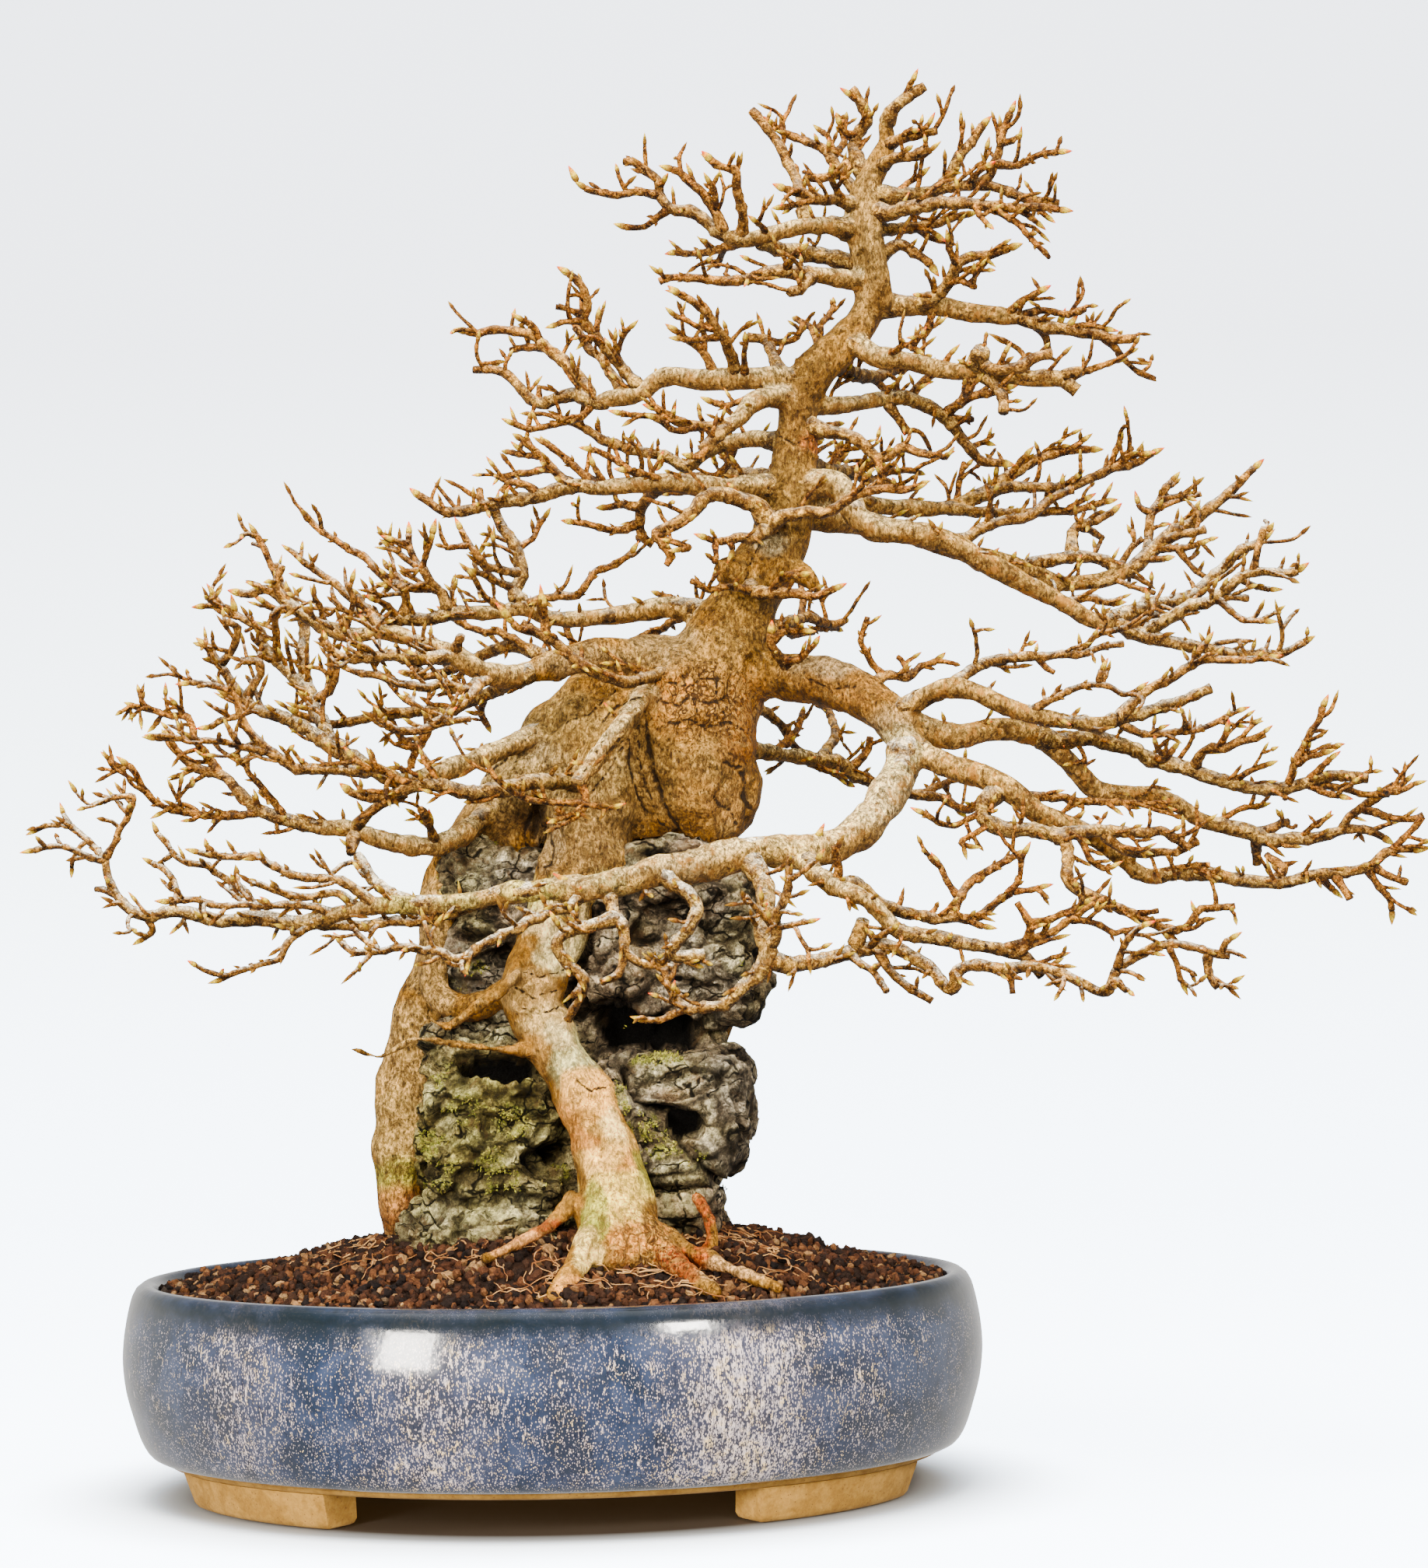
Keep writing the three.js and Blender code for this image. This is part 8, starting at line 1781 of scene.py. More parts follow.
def moss_material():
    n = Nodes("moss")
    base = n.ramp(n.noise(6, 6, 0.7, 0.4), (0.40, (0.060, 0.070, 0.010)), (0.5, (0.18, 0.185, 0.022)),
                  (0.60, (0.42, 0.39, 0.050)))
    base = n.mix(n.times(n.value("dry"), 0.7), base, DRY_MOSS)
    # Painted shade down in the moss: each shoot is darker at its foot and lighter at its tip.
    base = n.toned(0.8, base, n.ramp(n.value("up"), (0.0, 0.25), (1.0, 1.5)))
    return n.finish(base, 0.9, n.bump(n.noise(1.1, 4, 0.7), 0.6, 0.6), Specular_IOR_Level=0.08)


def broken(points, size, height):
    """The level of blocks of stone of this size, each tilted its own way, and how far their joints are."""
    level, seam = np.empty(len(points)), np.empty(len(points))
    for i, p in enumerate(points / size):
        far, near = noise.voronoi(Vector(p))
        middle = near[0]
        turn = noise.cell_vector(middle * 7.3)
        level[i] = height * (turn[0] - 0.5 + 1.5 * (Vector(p) - middle).dot(turn - Vector((0.5, 0.5, 0.5))))
        seam[i] = far[1] - far[0]
    return level, seam


def rock_pile():
    """The same uneven lumps as in the solid."""
    ball, faces = sphere_points(5)
    x, y, z = ball.T
    pile = Pile()
    for *at, half_x, half_y, half_z, rough, seed in ROCK:
        wave = np.sin(5.1 * x + 3.3 * z + seed) + np.sin(6.7 * y - 4.1 * x + 2 * seed)
        wave += np.sin(9.3 * z + 7.7 * y + 3 * seed)
        size = rock_box(ball, np.array([half_x, half_y, half_z])) * (1 + rough * wave / 2)
        pile.add(place(*at) + ball * size[:, None], faces)
    return pile


def rock_relief(verts, px, pz, facing, big, small):
    """How far the rock's surface moves, and per point its painted shade in hollows and joints, its worn edge,
    with painted light on the low plates, and its low layer.
    """
    ridge = 1 - np.abs(fbm(verts, 17, 3, 6.6)) * 2.2
    lean = verts @ BEDDING.T
    blocks, seam = broken(lean * BLOCK_FLATNESS + 4 * big[:, None], *BLOCKS)
    chips, crevice = broken(lean * CHIP_FLATNESS + 3 * small[:, None], *CHIPS)
    chipped = smoothstep(-0.15, 0.25, fbm(verts, 50, 2, 27.0) + 0.5 * smoothstep(20, -20, px))
    crevice = smoothstep(0.12, 0.02, crevice) * chipped
    split = smoothstep(0.13, 0.02, seam)
    crust = smoothstep(15, -10, px) * smoothstep(130, 145, pz) * smoothstep(215, 190, pz)
    crumbs = fbm(verts, 4.0, 2, 33.0)
    push = 1.4 * big + 1.15 * blocks + chips * chipped + 0.9 * ridge - 2.6 * split - 0.9 * crevice
    push += (0.9 + 0.9 * crust) * small + 0.9 * crust * crumbs
    low = smoothstep(150, 120, pz) * smoothstep(20, -5, px)
    plate = np.mod((pz + 0.28 * px + 2 * small) / 7.0, 1)
    push += low * (4.0 * plate - 1.5)
    # Painted shade: hollows and fractures get darker as deep as they are cut.
    hollow_shade = np.zeros(len(px))
    for x, z, wide, high, depth in HOLLOWS:
        far = oval_distance(px, pz, x, z, wide, high) * (1 + 0.22 * small + 0.2 * big)
        near = smoothstep(1.06, 0.70, far) * facing
        push -= depth * near
        hollow_shade = np.maximum(hollow_shade, near * min(1.0, depth / 9))
    for width, depth, path in FRACTURES:
        near = np.exp(-(polyline_distance(px + 2 * small, pz + 2 * big, path) / width) ** 2) * facing
        push -= depth * near
        hollow_shade = np.maximum(hollow_shade, near * min(1.0, 0.6 + depth / 15))
    slab = smoothstep(1.25, 0.85, oval_distance(px, pz, *SLAB)) * facing * (hollow_shade < 0.05)
    push += (1.5 + 0.8 * small + 0.8 * big - push) * (0.8 * slab)
    # The joints between blocks and chips get painted shade too.
    hollow_shade = np.maximum(hollow_shade, np.maximum(0.8 * split, 0.5 * crevice))
    edge = smoothstep(0.8, 3.0, blocks + chips) * 0.7 + smoothstep(0.5, 0.95, ridge) * 0.4
    # On the low layer the plates are paler: partly the stone's pale plates, partly painted light where the
    # crown keeps the lamps off.
    edge += crust * smoothstep(0.15, 0.6, small + 0.5 * crumbs) + 1.6 * low * smoothstep(0.15, 0.5, plate)
    return np.clip(push, *RELIEF), hollow_shade, np.clip(edge * (1 - hollow_shade), 0, 1), low


def add_rock():
    rock = remeshed(rock_pile(), "rock_face", rock_material(), ROCK_GRID)
    verts, normals = coords(rock)
    px, pz = front_plane(verts)
    facing = smoothstep(0.3, -0.3, normals[:, 1])
    big, small = fbm(verts, 44, 3, 2.2), fbm(verts, 6.5, 3, 7.7, 0.6)
    push, hollow_shade, edge, low = rock_relief(verts, px, pz, facing, big, small)
    set_coords(rock, verts + normals * push[:, None])
    pale = (1 - facing) * smoothstep(0.0, 0.6, fbm(verts, 60, 2, 17.0))
    for oval in PALE_FACES:
        far = oval_distance(px, pz, *oval) * (1 + 0.3 * big + 0.25 * small)
        pale = np.maximum(pale, smoothstep(1.15, 0.6, far) * facing)
    mask = smoothstep(0.0, 0.45, normals[:, 1]) * smoothstep(0.05, 0.5, fbm(verts, 46, 2, 14.0))
    mask *= smoothstep(230, 150, verts[:, 2])
    for oval in MOSS:
        mask = np.maximum(mask, smoothstep(1.25, 0.6, oval_distance(px, pz, *oval)) * facing)
    mask = np.clip(mask - 1.3 * hollow_shade, 0, 1)
    olive = smoothstep(30, 0, px) * smoothstep(235, 205, pz) + 0.5 * smoothstep(0.0, 0.5, big)
    put_value(rock, "edge", edge)
    # Painted shade in the hollows, fractures and joints.
    put_value(rock, "hollow_shade", hollow_shade)
    put_value(rock, "pale", pale * (1 - hollow_shade))
    put_value(rock, "moss", mask)
    put_value(rock, "olive", olive * (1 - 0.5 * low))
    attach(rock, "root")
    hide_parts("rock")
    grow_moss(*coords(rock), mask, small)


# Where the three corners of a shoot's foot lie, in radians.
SHOOT_CORNERS = (0.0, 2.09, 4.19)


def grow_moss(verts, normals, mask, small):
    """Thousands of short pointed shoots on the rock where the mask is high."""
    rng = np.random.default_rng(77)
    pile = Pile("up", "dry")
    chance = smoothstep(0.45, 0.85, mask + 0.6 * small)
    chosen = np.flatnonzero(rng.random(len(verts)) < chance)
    for i in chosen:
        for _ in range(3):
            n = unit(normals[i] + rng.normal(0, 0.4, 3) + np.array([0, 0, 0.15]))
            foot = verts[i] + rng.normal(0, 0.9, 3) - n * 0.9
            side = unit(np.cross(n, rng.normal(0, 1, 3)))
            other = np.cross(n, side)
            wide = rng.uniform(0.35, 0.75)
            ring = [foot + wide * (math.cos(a) * side + math.sin(a) * other) for a in SHOOT_CORNERS]
            tip = foot + n * rng.uniform(1.1, 2.5)
            pile.add(ring + [tip], [(0, 1, 3), (1, 2, 3), (2, 0, 3)], up=[0, 0, 0, 1], dry=rng.random() ** 3)
    moss = pile.build("moss_shoots", moss_material())
    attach(moss, "root")


# Pot and soil.
# The pot is an oval whose half depth is less than its half length by OVAL, from OVAL_START outwards.
OVAL, OVAL_START = 43.0, 170.0
# The soil's half length, its fall to the left and the height of its unevenness.
SOIL_EDGE, LEFT_FALL, ROUGH = 191.0, 0.075, 1.6
# Heights of the soil by the share of the way out from the middle.
SOIL_HEIGHTS = ((0.0, 127.0), (0.45, 125.0), (0.6, 118.5), (0.8, 108.0), (0.95, 101.5), (1.0, 100.0))
# The pot's outer wall, lip and inner wall, as half length and height; then the inside under the soil.
POT_PROFILE = [
    [184, 16.5], [189, 18], [190.5, 20], [197, 22], [201.5, 29], [205.5, 41], [208.6, 53], [210, 66],
    [209.6, 76], [208.5, 84], [206.9, 92], [205.2, 98], [203.4, 101.3], [200.6, 103.4], [197.5, 104],
    [195, 103], [192.5, 99], [190, 84], [188, 62],
]
POT_INSIDE = [[183, 42], [176, 31], [166, 28]]
POT_FLOOR, POT_UNDERSIDE = 28.0, 16.5
# Below this height the clay is bare.
GLAZE_EDGE = 19.5
# The drain holes: radius and how far each lies from the pot's middle.
DRAIN_RADIUS, DRAIN_PLACE = 15.0, 82.0
# Corners sharper than this stay sharp.
SHARP = math.radians(38)


def oval_depth(radius):
    """The half depth of the oval with this half length."""
    return radius - OVAL * np.minimum(1, radius / OVAL_START)


def soil_level(x, y, fraction):
    """The height of the soil's surface at this share of the way out."""
    level = np.interp(fraction, [f for f, _ in SOIL_HEIGHTS], [h for _, h in SOIL_HEIGHTS])
    fall = np.where(x < 0, LEFT_FALL * x * (1 - fraction), 0)
    return level + fall + (ROUGH / 2) * (np.sin(0.11 * x + 0.05 * y) + np.sin(0.13 * y - 0.04 * x))


def soil_material():
    n = Nodes("soil_grains")
    grain = n.value("grain")
    base = n.ramp(grain, (0.0, (0.004, 0.003, 0.003)), (0.32, (0.011, 0.006, 0.004)),
                  (0.57, (0.026, 0.010, 0.005)), (0.75, (0.050, 0.018, 0.007)), (0.88, (0.088, 0.035, 0.012)),
                  (0.95, (0.20, 0.110, 0.042)), (1.0, (0.014, 0.012, 0.011)))
    base = mottled(n, base, 1.4, 0.5, 1.5)
    dust = n.ramp(n.noise(34, 3, 0.5), (0.5, 0.0), (0.72, 0.3))
    base = n.mix(dust, base, (0.038, 0.016, 0.007))
    return n.finish(base, 0.9, n.bump(n.noise(0.8, 5, 0.75), 0.7, 0.45), Specular_IOR_Level=0.15)


def root_hair_material():
    n = Nodes("dry_roots")
    base = n.ramp(n.noise(9, 4), (0.42, (0.17, 0.060, 0.016)), (0.58, (0.42, 0.22, 0.075)))
    return n.finish(base, 0.8, n.bump(n.noise(1, 3), 0.3, 0.2), Specular_IOR_Level=0.2)


def grain_field(pile, count, rng, ball, faces, sizes, lift):
    """This many rough grains on the soil, lifted from its surface by up to so much."""
    made = 0
    while made < count:
        angle, fraction = rng.uniform(0, 2 * math.pi), math.sqrt(rng.uniform(0.0, 1.0))
        radius = SOIL_EDGE * fraction
        x, y = radius * math.cos(angle), oval_depth(radius) * math.sin(angle)
        z = float(soil_level(x, y, fraction))
        if fraction < 0.55 and in_rock(np.array([x, y, z - 4]), 6):
            continue
        size = rng.uniform(*sizes) * (1.25 if rng.random() < 0.12 else 1.0)
        stretch = np.array([rng.uniform(0.8, 1.25), rng.uniform(0.75, 1.1), rng.uniform(0.6, 0.95)])
        turn = np.array(Euler(rng.uniform(0, 6.28, 3).tolist()).to_matrix())
        rough = 1 + 0.20 * rng.normal(0, 1, len(ball)).clip(-1.2, 1.2)
        shape = (ball * rough[:, None] * stretch * size) @ turn.T
        pile.add(shape + np.array([x, y, z + rng.uniform(*lift)]), faces, grain=rng.random())
        made += 1


def soil_bed(material):
    """The mound under the grains, closed below."""
    rings, around, bottom = 44, 120, 30.0
    fractions, angles = np.arange(rings + 1) / rings, np.arange(around) * 2 * math.pi / around
    fraction, angle = [a.ravel() for a in np.meshgrid(fractions, angles, indexing="ij")]
    x, y = SOIL_EDGE * fraction * np.cos(angle), oval_depth(SOIL_EDGE * fraction) * np.sin(angle)
    top = np.stack([x, y, soil_level(x, y, fraction) - 1.6], axis=1)
    top[:, 2] += 1.2 * fbm(top, 9, 3, 3.0)
    low = np.stack([x[-around:] * 0.97, y[-around:] * 0.97, np.full(around, bottom)], axis=1)
    verts = np.vstack([top, low, [[0, 0, bottom]]])

    def at(i, k):
        return i * around + k % around

    faces = [(at(i, k), at(i + 1, k), at(i + 1, k + 1), at(i, k + 1))
             for i in range(rings + 1) for k in range(around)]
    faces += [(at(rings + 1, k), len(verts) - 1, at(rings + 1, k + 1)) for k in range(around)]
    bed = Pile("grain")
    bed.add(verts, faces, grain=0.3)
    soil = bed.build("soil_bed", material)
    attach(soil, "root")
    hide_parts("soil")


# Where hair roots start on the soil, as x and y in the pot.
HAIR_FEET = [
    (-75, -10), (-60, -30), (30, -92), (50, -100), (85, -95), (0, -110), (-40, -70), (70, -50), (95, -20),
    (110, -60), (-90, 10), (20, 70), (-30, 75), (60, 80), (-100, -40), (15, -80),
]
HAIRS, HAIR_POINTS, HAIR_STEP = 130, 11, 3.4
# The grains of the bed and the loose ones on top: count, radii and how far they lie above the surface.
GRAIN_LAYERS = [(7600, (1.35, 2.7), (-1.6, 0.9)), (500, (1.5, 2.9), (0.6, 2.2))]


def hair_path(foot, rng):
    """A wandering line over the soil that stops at the pot's wall."""
    at = np.array(foot) + rng.normal(0, 9, 2)
    heading, points = rng.uniform(0, 2 * math.pi), []
    for _ in range(HAIR_POINTS):
        fraction = math.hypot(at[0] / SOIL_EDGE, at[1] / oval_depth(SOIL_EDGE))
        if fraction > 0.97:
            break
        points.append((*at, float(soil_level(*at, fraction)) + rng.uniform(0.6, 2.6)))
        heading += rng.normal(0, 0.55)
        at = at + HAIR_STEP * np.array([math.cos(heading), math.sin(heading)])
    return np.array(points)


def add_soil():
    material = soil_material()
    soil_bed(material)
    rng = np.random.default_rng(5)
    ball, faces = sphere_points(1)
    grains = Pile("grain")
    for count, sizes, lift in GRAIN_LAYERS:
        grain_field(grains, count, rng, ball, faces, sizes, lift)
    piece = grains.build("soil_grains", material, smooth=False)
    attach(piece, "root")
    hairs = Pile()
    for i in range(HAIRS):
        points = hair_path(HAIR_FEET[i % len(HAIR_FEET)], rng)
        if len(points) < 5:
            continue
        fine, thin = smooth_path(points, np.linspace(rng.uniform(0.24, 0.46), 0.14, len(points)), 1.7)
        hairs.add(*tube_mesh(rings_along(fine, thin, 4)))
    piece = hairs.build("root_hairs", root_hair_material())
    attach(piece, "root")


# The glaze where it is pale, with painted reflection, where it is bare of dots, on the lip and at the foot.
GLAZE_PALE_AND_REFLECTION, GLAZE_DARK = (0.092, 0.080, 0.098), (0.010, 0.013, 0.028)
GLAZE_LIP, GLAZE_FOOT = (0.004, 0.007, 0.008), (0.020, 0.024, 0.032)


def glaze_material():
    n = Nodes("slate_glaze")
    height = n.new("SeparateXYZ", ("Vector", n.place)).outputs["Z"]
    pale = n.value("pale")
    base = n.ramp(n.noise(26, 5, 0.6, 0.5), (0.40, (0.006, 0.013, 0.028)), (0.5, (0.011, 0.021, 0.050)),
                  (0.60, (0.025, 0.038, 0.078)))
    # The pale bands: paler glaze and a painted reflection of tall pale panels.
    base = n.mix(n.times(pale, 0.42), base, GLAZE_PALE_AND_REFLECTION)
    haze = n.times(n.minus(pale, 0.55), 0.22)
    haze = n.plus(haze, n.times(n.minus(n.noise(18, 5, 0.62), 0.5), 0.30))
    dots = n.cells(0.82, where=n.stretched(1, 1, 0.5))
    dots = n.ramp(n.minus(dots, haze), (0.26, 1.0), (0.39, 0.0))
    runs = n.noise(1.5, 5, 0.72, 0.2, n.stretched(1, 1, 0.20))
    runs = n.ramp(n.plus(runs, n.times(haze, 0.5)), (0.565, 0.0), (0.61, 1.0))
    cream = n.most(n.times(dots, 0.85), runs)
    level = n.plus(height, n.times(n.minus(n.noise(11, 4, 0.6), 0.5), 0.010))
    below = n.ramp(level, (0.088, 1.0), (0.0945, 0.10))
    cream = n.times(cream, below)
    tone = n.ramp(n.noise(6, 5, 0.65), (0.42, (0.56, 0.48, 0.50)), (0.52, (0.74, 0.60, 0.54)),
                  (0.62, (0.84, 0.62, 0.32)))
    base = n.mix(n.times(cream, 0.86), base, tone)
    dark = n.ramp(n.noise(1.7, 6, 0.74, 0.3, n.stretched(1, 1, 0.3)), (0.38, 1.0), (0.46, 0.0))
    base = n.mix(n.times(dark, 0.75), base, GLAZE_DARK)
    band = n.ramp(level, (0.0885, 0.0), (0.0960, 1.0), (0.1012, 1.0), (0.1030, 0.15))
    base = n.mix(n.times(band, 0.88), base, GLAZE_LIP)
    foot = n.ramp(level, (0.0185, 1.0), (0.027, 0.0))
    base = n.mix(n.times(foot, 0.6), base, GLAZE_FOOT)
    ripple = n.plus(n.noise(16, 3, 0.5), n.times(n.noise(2.0, 3, 0.5), 0.10))
    return n.finish(base, n.ramp(n.noise(9, 3), (0.3, 0.10), (0.7, 0.18)), n.bump(ripple, 0.20, 1.2),
                    Specular_IOR_Level=0.55, Coat_Weight=0.35, Coat_Roughness=0.04)


def clay_material():
    n = Nodes("buff_clay")
    base = n.ramp(n.noise(12, 5, 0.6), (0.42, (0.27, 0.135, 0.022)), (0.58, (0.37, 0.195, 0.038)))
    specks = n.ramp(n.cells(2.6), (0.09, 1.0), (0.17, 0.0))
    base = n.mix(n.times(specks, 0.75), base, (0.09, 0.04, 0.015))
    base = mottled(n, base, 2.5, 0.85, 1.15)
    return n.finish(base, 0.86, n.bump(n.noise(1.3, 5, 0.7), 0.5, 0.35), Specular_IOR_Level=0.25)


# Upright bands of the pot's front where the glaze broke paler, with a painted reflection of tall pale panels:
# [x, half width, strength].
PALE_AND_REFLECTION_BANDS = [[-136, 24, 0.46], [-46, 34, 0.58], [14, 24, 0.28], [92, 34, 1.0], [146, 16, 0.3]]
# The foot's half lengths outside and inside, its height, its stretch of the oval in degrees, and its
# outline as height and inset.
FOOT_OUTER, FOOT_INNER, FOOT_HEIGHT = 185.5, 164.0, 17.0
FOOT_START, FOOT_END = 21.0, 57.0
FOOT_BEVEL = [(0.0, 3.0), (0.9, 1.2), (3.0, 0.0), (FOOT_HEIGHT, -1.2)]


def foot_block(mirror_x, mirror_y):
    """A bevelled foot that follows the pot's oval."""
    rings = []
    for z, inset in FOOT_BEVEL:
        taper = 0.975 + 0.025 * z / FOOT_HEIGHT
        trim = inset * 0.30
        arc = np.radians(np.linspace(FOOT_START + trim, FOOT_END - trim, 20))
        edges = [np.stack([mirror_x * r * np.cos(a), mirror_y * oval_depth(r) * np.sin(a)], axis=1)
                 for r, a in ((FOOT_OUTER - inset, arc), (FOOT_INNER + inset, arc[::-1]))]
        loop = np.vstack(edges) * taper
        rings.append(np.column_stack([loop, np.full(len(loop), z)]))
    return tube_mesh(np.array(rings))


def pot_bowl():
    """The bowl turned on its oval, with how pale the glaze is at each point, with painted reflection in the
    front bands.
    """
    around = 176
    profile, _ = smooth_path(np.array(POT_PROFILE), np.zeros(len(POT_PROFILE)), 2.6)
    angles = np.arange(around) * 2 * math.pi / around
    rings = [np.stack([r * np.cos(angles), oval_depth(r) * np.sin(angles), np.full(around, z)], axis=1)
             for r, z in [*profile, *POT_INSIDE]]
    verts, faces = tube_mesh(np.array(rings), np.array([0, 0, POT_FLOOR]), np.array([0, 0, POT_UNDERSIDE]))
    band = np.zeros(len(verts))
    for x, half, strength in PALE_AND_REFLECTION_BANDS:
        band = np.maximum(band, strength * np.exp(-((verts[:, 0] - x) / half) ** 2))
    back = smoothstep(-60, 60, verts[:, 1])
    band = band * (1 - back) + (0.45 + 0.35 * np.sin(verts[:, 0] / 23.0)) * back
    pile = Pile("pale")
    pile.add(verts, faces, pale=band)
    return pile


def drill_drain(pot, side):
    bpy.ops.mesh.primitive_cylinder_add(vertices=40, radius=DRAIN_RADIUS * MM, depth=0.04,
                                        location=(side * DRAIN_PLACE * MM + CENTRE[0], CENTRE[1], 0.02))
    drill = bpy.context.object
    cut = pot.modifiers.new("drain", "BOOLEAN")
    cut.operation, cut.solver, cut.object = "DIFFERENCE", "EXACT", drill
    apply_modifiers(pot)
    bpy.data.objects.remove(drill)


def net_material():
    n = Nodes("black_net")
    tone = n.ramp(n.noise(3, 4), (0.3, (0.010, 0.011, 0.013)), (0.7, (0.035, 0.037, 0.040)))
    return n.finish(tone, 0.6, n.bump(n.noise(1.2, 3), 0.3, 0.2))


def add_pot():
    pot = pot_bowl().build("pot_body", glaze_material())
    pot.data.materials.append(clay_material())
    drill_drain(pot, -1)
    drill_drain(pot, 1)
    feet = Pile()
    for mirror_x in (-1, 1):
        for mirror_y in (-1, 1):
            feet.add(*foot_block(mirror_x, mirror_y))
    feet = feet.build("pot_feet", pot.data.materials[1])
    for polygon in pot.data.polygons:
        if polygon.center.z < GLAZE_EDGE * MM:
            polygon.material_index = 1
    for piece in (pot, feet):
        bm = bmesh.new()
        bm.from_mesh(piece.data)
        bmesh.ops.recalc_face_normals(bm, faces=bm.faces)
        bm.to_mesh(piece.data)
        bm.free()
        piece.data.set_sharp_from_angle(angle=SHARP)
        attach(piece, "root")
    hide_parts("pot")
    net = net_material()
    for name in ("screen_left", "screen_right"):
        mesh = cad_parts[name].data
        mesh.materials.clear()
        mesh.materials.append(net)


# Stage, camera and light.
# The paper lies from FRONT to BACK, curves up with BEND, ends at TOP and is WIDE to each side. It lies
# a little under the feet.
PAPER_FRONT, PAPER_BACK, PAPER_BEND, PAPER_TOP, PAPER_WIDE, PAPER_DROP = -4.5, 1.6, 1.1, 5.5, 6.0, 0.0006
# Half length and half depth of the pot's contact shadow.
SHADOW = (0.205, 0.163)
# How many pixels high the photograph is, and its focal length in pixels; how the camera is tilted.
FRAME_PIXELS, FOCAL_PIXELS, SENSOR = 2016, 4560, 36.0
PITCH, ROLL = math.radians(2.03), math.radians(-0.93)
# Where the light goes, and the lights: [place from the pot's middle, aim, size, power, colour].
FOOT, MIDDLE = (0, -0.15, 0.09), (0.06, 0, 0.35)
WARM, WHITE = (1.0, 0.95, 0.86), (1.0, 0.96, 0.89)
LIGHTS = {
    "box_left": [(-0.83, -1.41, 0.45), FOOT, (0.32, 0.46), 36, WARM],
    "box_right": [(0.77, -1.30, 0.74), FOOT, (0.25, 0.27), 26, WARM],
    "front_fill": [(-0.3, -2.6, 0.75), FOOT, (1.8, 1.2), 150, WARM],
    "overhead": [(-0.1, -0.55, 2.0), MIDDLE, (1.0, 0.7), 150, WHITE],
}


def soft_light(name, at, target, size, power, colour):
    light = bpy.data.lights.new(name, "AREA")
    light.shape, light.size, light.size_y = "RECTANGLE", size[0], size[1]
    light.energy, light.color = power, colour
    lamp = bpy.data.objects.new(name, light)
    scene.collection.objects.link(lamp)
    lamp.location = Vector(at) + Vector(CENTRE)
    lamp.rotation_euler = (Vector(target) - Vector(at)).to_track_quat("-Z", "Y").to_euler()
    return lamp


def add_stage():
    """A pale floor that curves up behind into the backdrop; it glows as painted light, with a painted contact
    shadow under the pot.
    """
    curve = [(PAPER_BACK + PAPER_BEND * math.sin(a), PAPER_BEND - PAPER_BEND * math.cos(a))
             for a in np.linspace(0, math.pi / 2, 14)]
    profile = [(PAPER_FRONT, 0.0), *curve, (PAPER_BACK + PAPER_BEND, PAPER_TOP)]
    verts = [(x, y, z - PAPER_DROP) for y, z in profile for x in (-PAPER_WIDE, PAPER_WIDE)]
    faces = [(2 * i, 2 * i + 1, 2 * i + 3, 2 * i + 2) for i in range(len(profile) - 1)]
    mesh = bpy.data.meshes.new("backdrop")
    mesh.from_pydata(verts, [], faces)
    mesh.polygons.foreach_set("use_smooth", [True] * len(mesh.polygons))
    sweep = bpy.data.objects.new("backdrop", mesh)
    scene.collection.objects.link(sweep)
    n = Nodes("paper_glow_and_shadow")
    tone = n.ramp(n.noise(600, 2, 0.4), (0.3, (0.76, 0.82, 0.88)), (0.7, (0.78, 0.84, 0.90)))
    # Painted light: the paper glows, brightest low down and dimmer higher up.
    glow = n.new("SeparateXYZ", ("Vector", n.place)).outputs["Z"]
    glow = n.ramp(glow, (0.0, (0.72, 0.84, 1.0)), (0.35, (0.50, 0.58, 0.64)), (1.0, (0.30, 0.32, 0.365)))
    # A painted contact shadow: no glow under the pot, and the paper there nearly black.
    long, deep = SHADOW
    oval = n.new("Mapping", ("Vector", n.place), vector_type="POINT", Scale=(1 / long, 1 / deep, 0),
                 Location=(-CENTRE[0] / long, -CENTRE[1] / deep, 0)).outputs["Vector"]
    from_pot = n.new("VectorMath", (0, oval), operation="LENGTH").outputs["Value"]
    clear = n.new("MapRange", ("Value", from_pot), interpolation_type="SMOOTHSTEP", From_Min=0.90,
                  From_Max=1.35)
    glow = n.mix(clear.outputs["Result"], (0.0, 0.0, 0.0), glow)
    tone = n.mix(n.ramp(from_pot, (0.82, 1.0), (1.04, 0.0)), tone, (0.030, 0.020, 0.012))
    n.tree.links.new(glow, n.shader.inputs["Emission Color"])
    mesh.materials.append(n.finish(tone, 0.75, n.bump(n.noise(3, 3), 0.05, 0.2), Emission_Strength=8.5))
    sweep.visible_diffuse = sweep.visible_glossy = False


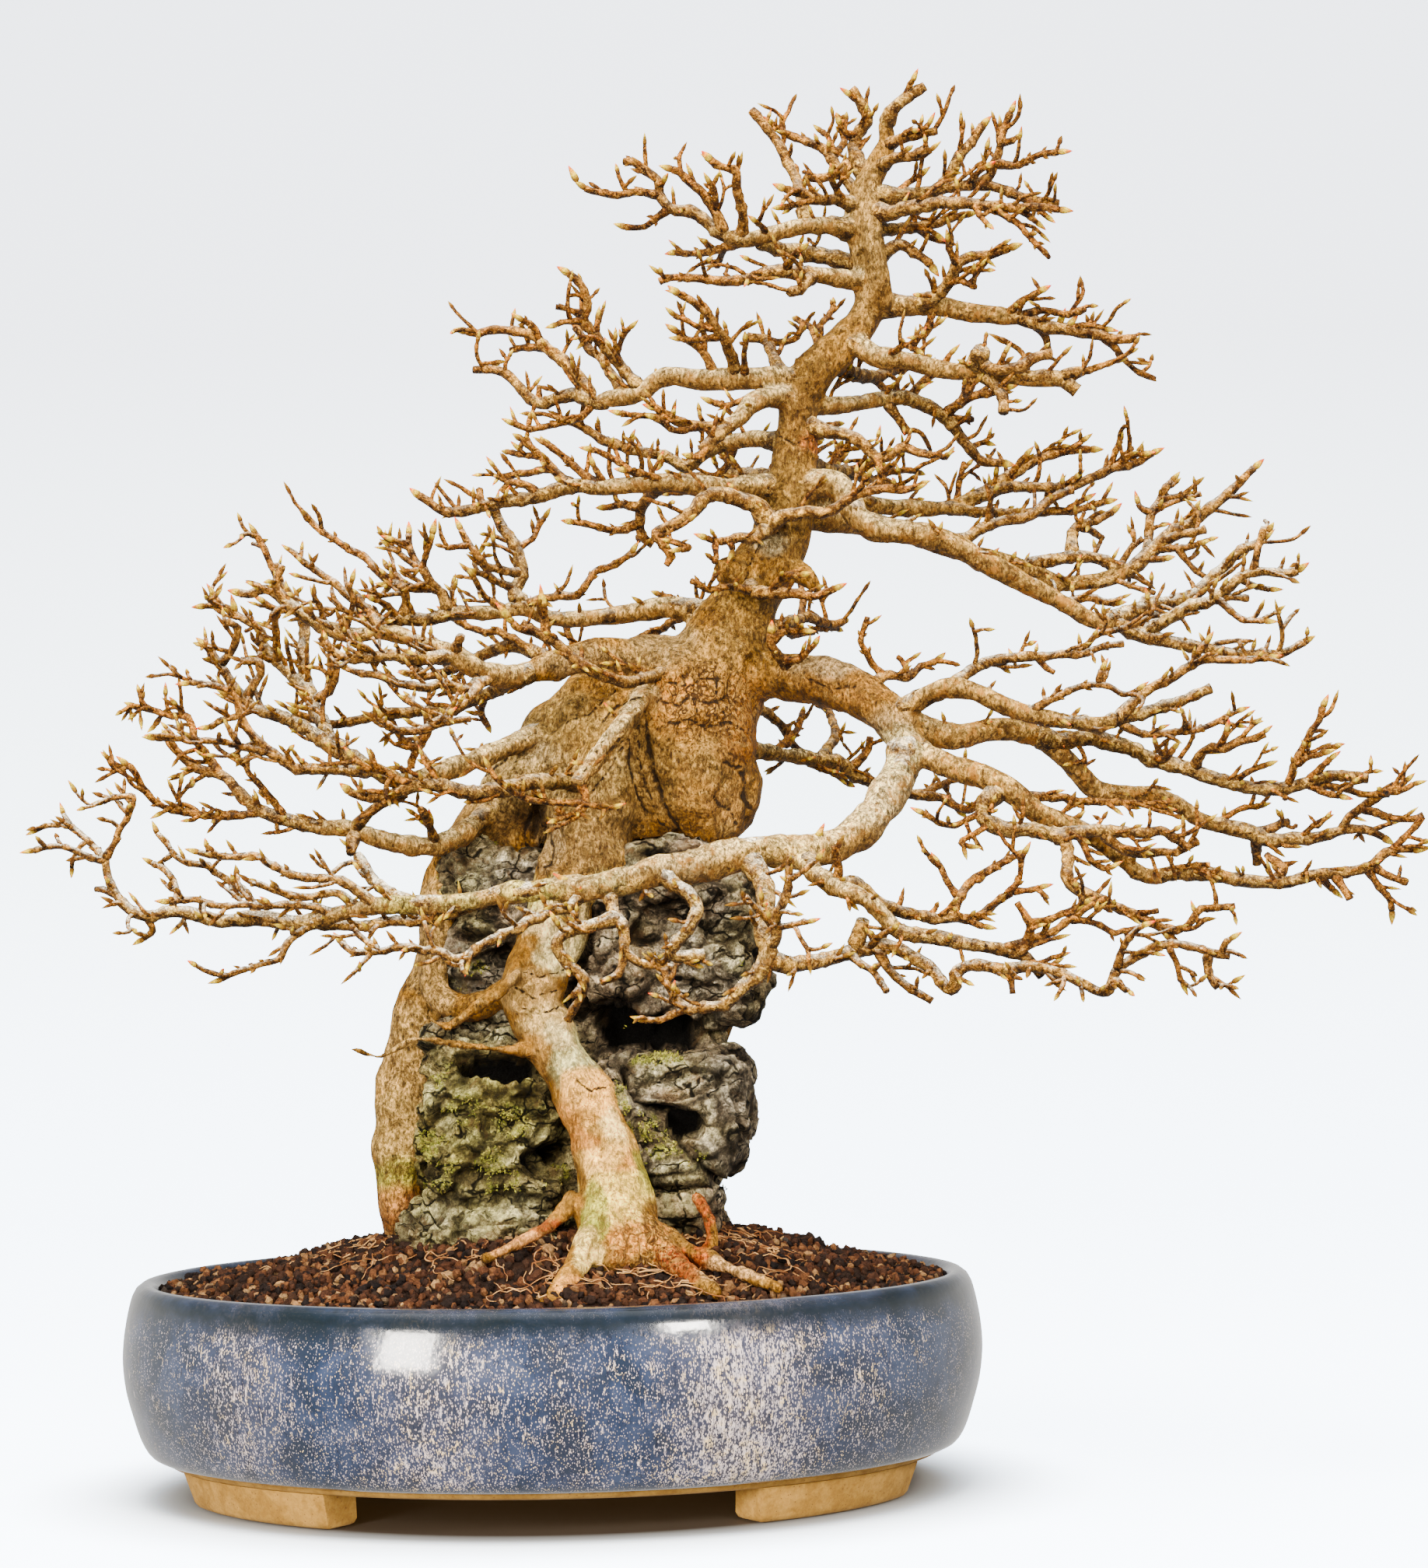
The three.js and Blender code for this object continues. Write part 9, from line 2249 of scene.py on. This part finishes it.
def add_camera():
    camera = bpy.data.cameras.new("camera")
    camera.sensor_fit, camera.sensor_width, camera.sensor_height = "VERTICAL", SENSOR, SENSOR
    camera.lens = SENSOR * FOCAL_PIXELS / FRAME_PIXELS
    camera.clip_start, camera.clip_end = 0.05, 30
    eye = bpy.data.objects.new("camera", camera)
    scene.collection.objects.link(eye)
    eye.location = Vector(EYE) * MM + Vector(CENTRE)
    level = Euler((math.radians(90) + PITCH, 0, 0)).to_matrix()
    eye.rotation_euler = (level @ Matrix.Rotation(ROLL, 3, "Z")).to_euler()
    scene.camera = eye


def add_light():
    """A white room behind, dim in front of the pot, two small softboxes, and broad ones before and above."""
    world = bpy.data.worlds.new("studio")
    world.use_nodes = True
    tree = world.node_tree
    direction = tree.nodes.new("ShaderNodeTexCoord").outputs["Generated"]
    split = tree.nodes.new("ShaderNodeSeparateXYZ")
    tree.links.new(direction, split.inputs["Vector"])
    level = tree.nodes.new("ShaderNodeMath")
    level.operation = "MULTIPLY"
    fade = tree.nodes.new("ShaderNodeMapRange")
    for key, value in (("From Min", -0.75), ("From Max", 0.35), ("To Min", 0.30), ("To Max", 1.10)):
        fade.inputs[key].default_value = value
    tree.links.new(split.outputs["Y"], fade.inputs["Value"])
    tree.links.new(fade.outputs["Result"], level.inputs[0])
    ramp = tree.nodes.new("ShaderNodeValToRGB")
    stops = ramp.color_ramp.elements
    stops.remove(stops[1])
    for i, (at, value) in enumerate(((0.15, 1.0), (0.60, 0.22), (0.82, 0.22), (0.93, 1.6))):
        stop = stops[0] if i == 0 else stops.new(at)
        stop.position, stop.color = at, (value, value, value, 1)
    tree.links.new(split.outputs["Z"], ramp.inputs["Fac"])
    tree.links.new(ramp.outputs["Color"], level.inputs[1])
    background = tree.nodes["Background"]
    background.inputs["Color"].default_value = (1.0, 0.975, 0.93, 1)
    tree.links.new(level.outputs[0], background.inputs["Strength"])
    scene.world = world
    lamps = {name: soft_light(name, *light) for name, light in LIGHTS.items()}
    lamps["front_fill"].visible_glossy = lamps["overhead"].visible_glossy = False


def main():
    bark, twig = bark_material(), twig_material()
    trunk_wood(bark)
    for i, (name, limbs) in enumerate(sprays.items()):
        spray_piece(name, limbs, SPRAY_SEED + i, twig)
    swollen_buds(twig)
    add_rock()
    add_soil()
    add_pot()
    add_stage()
    add_light()
    add_camera()


main()
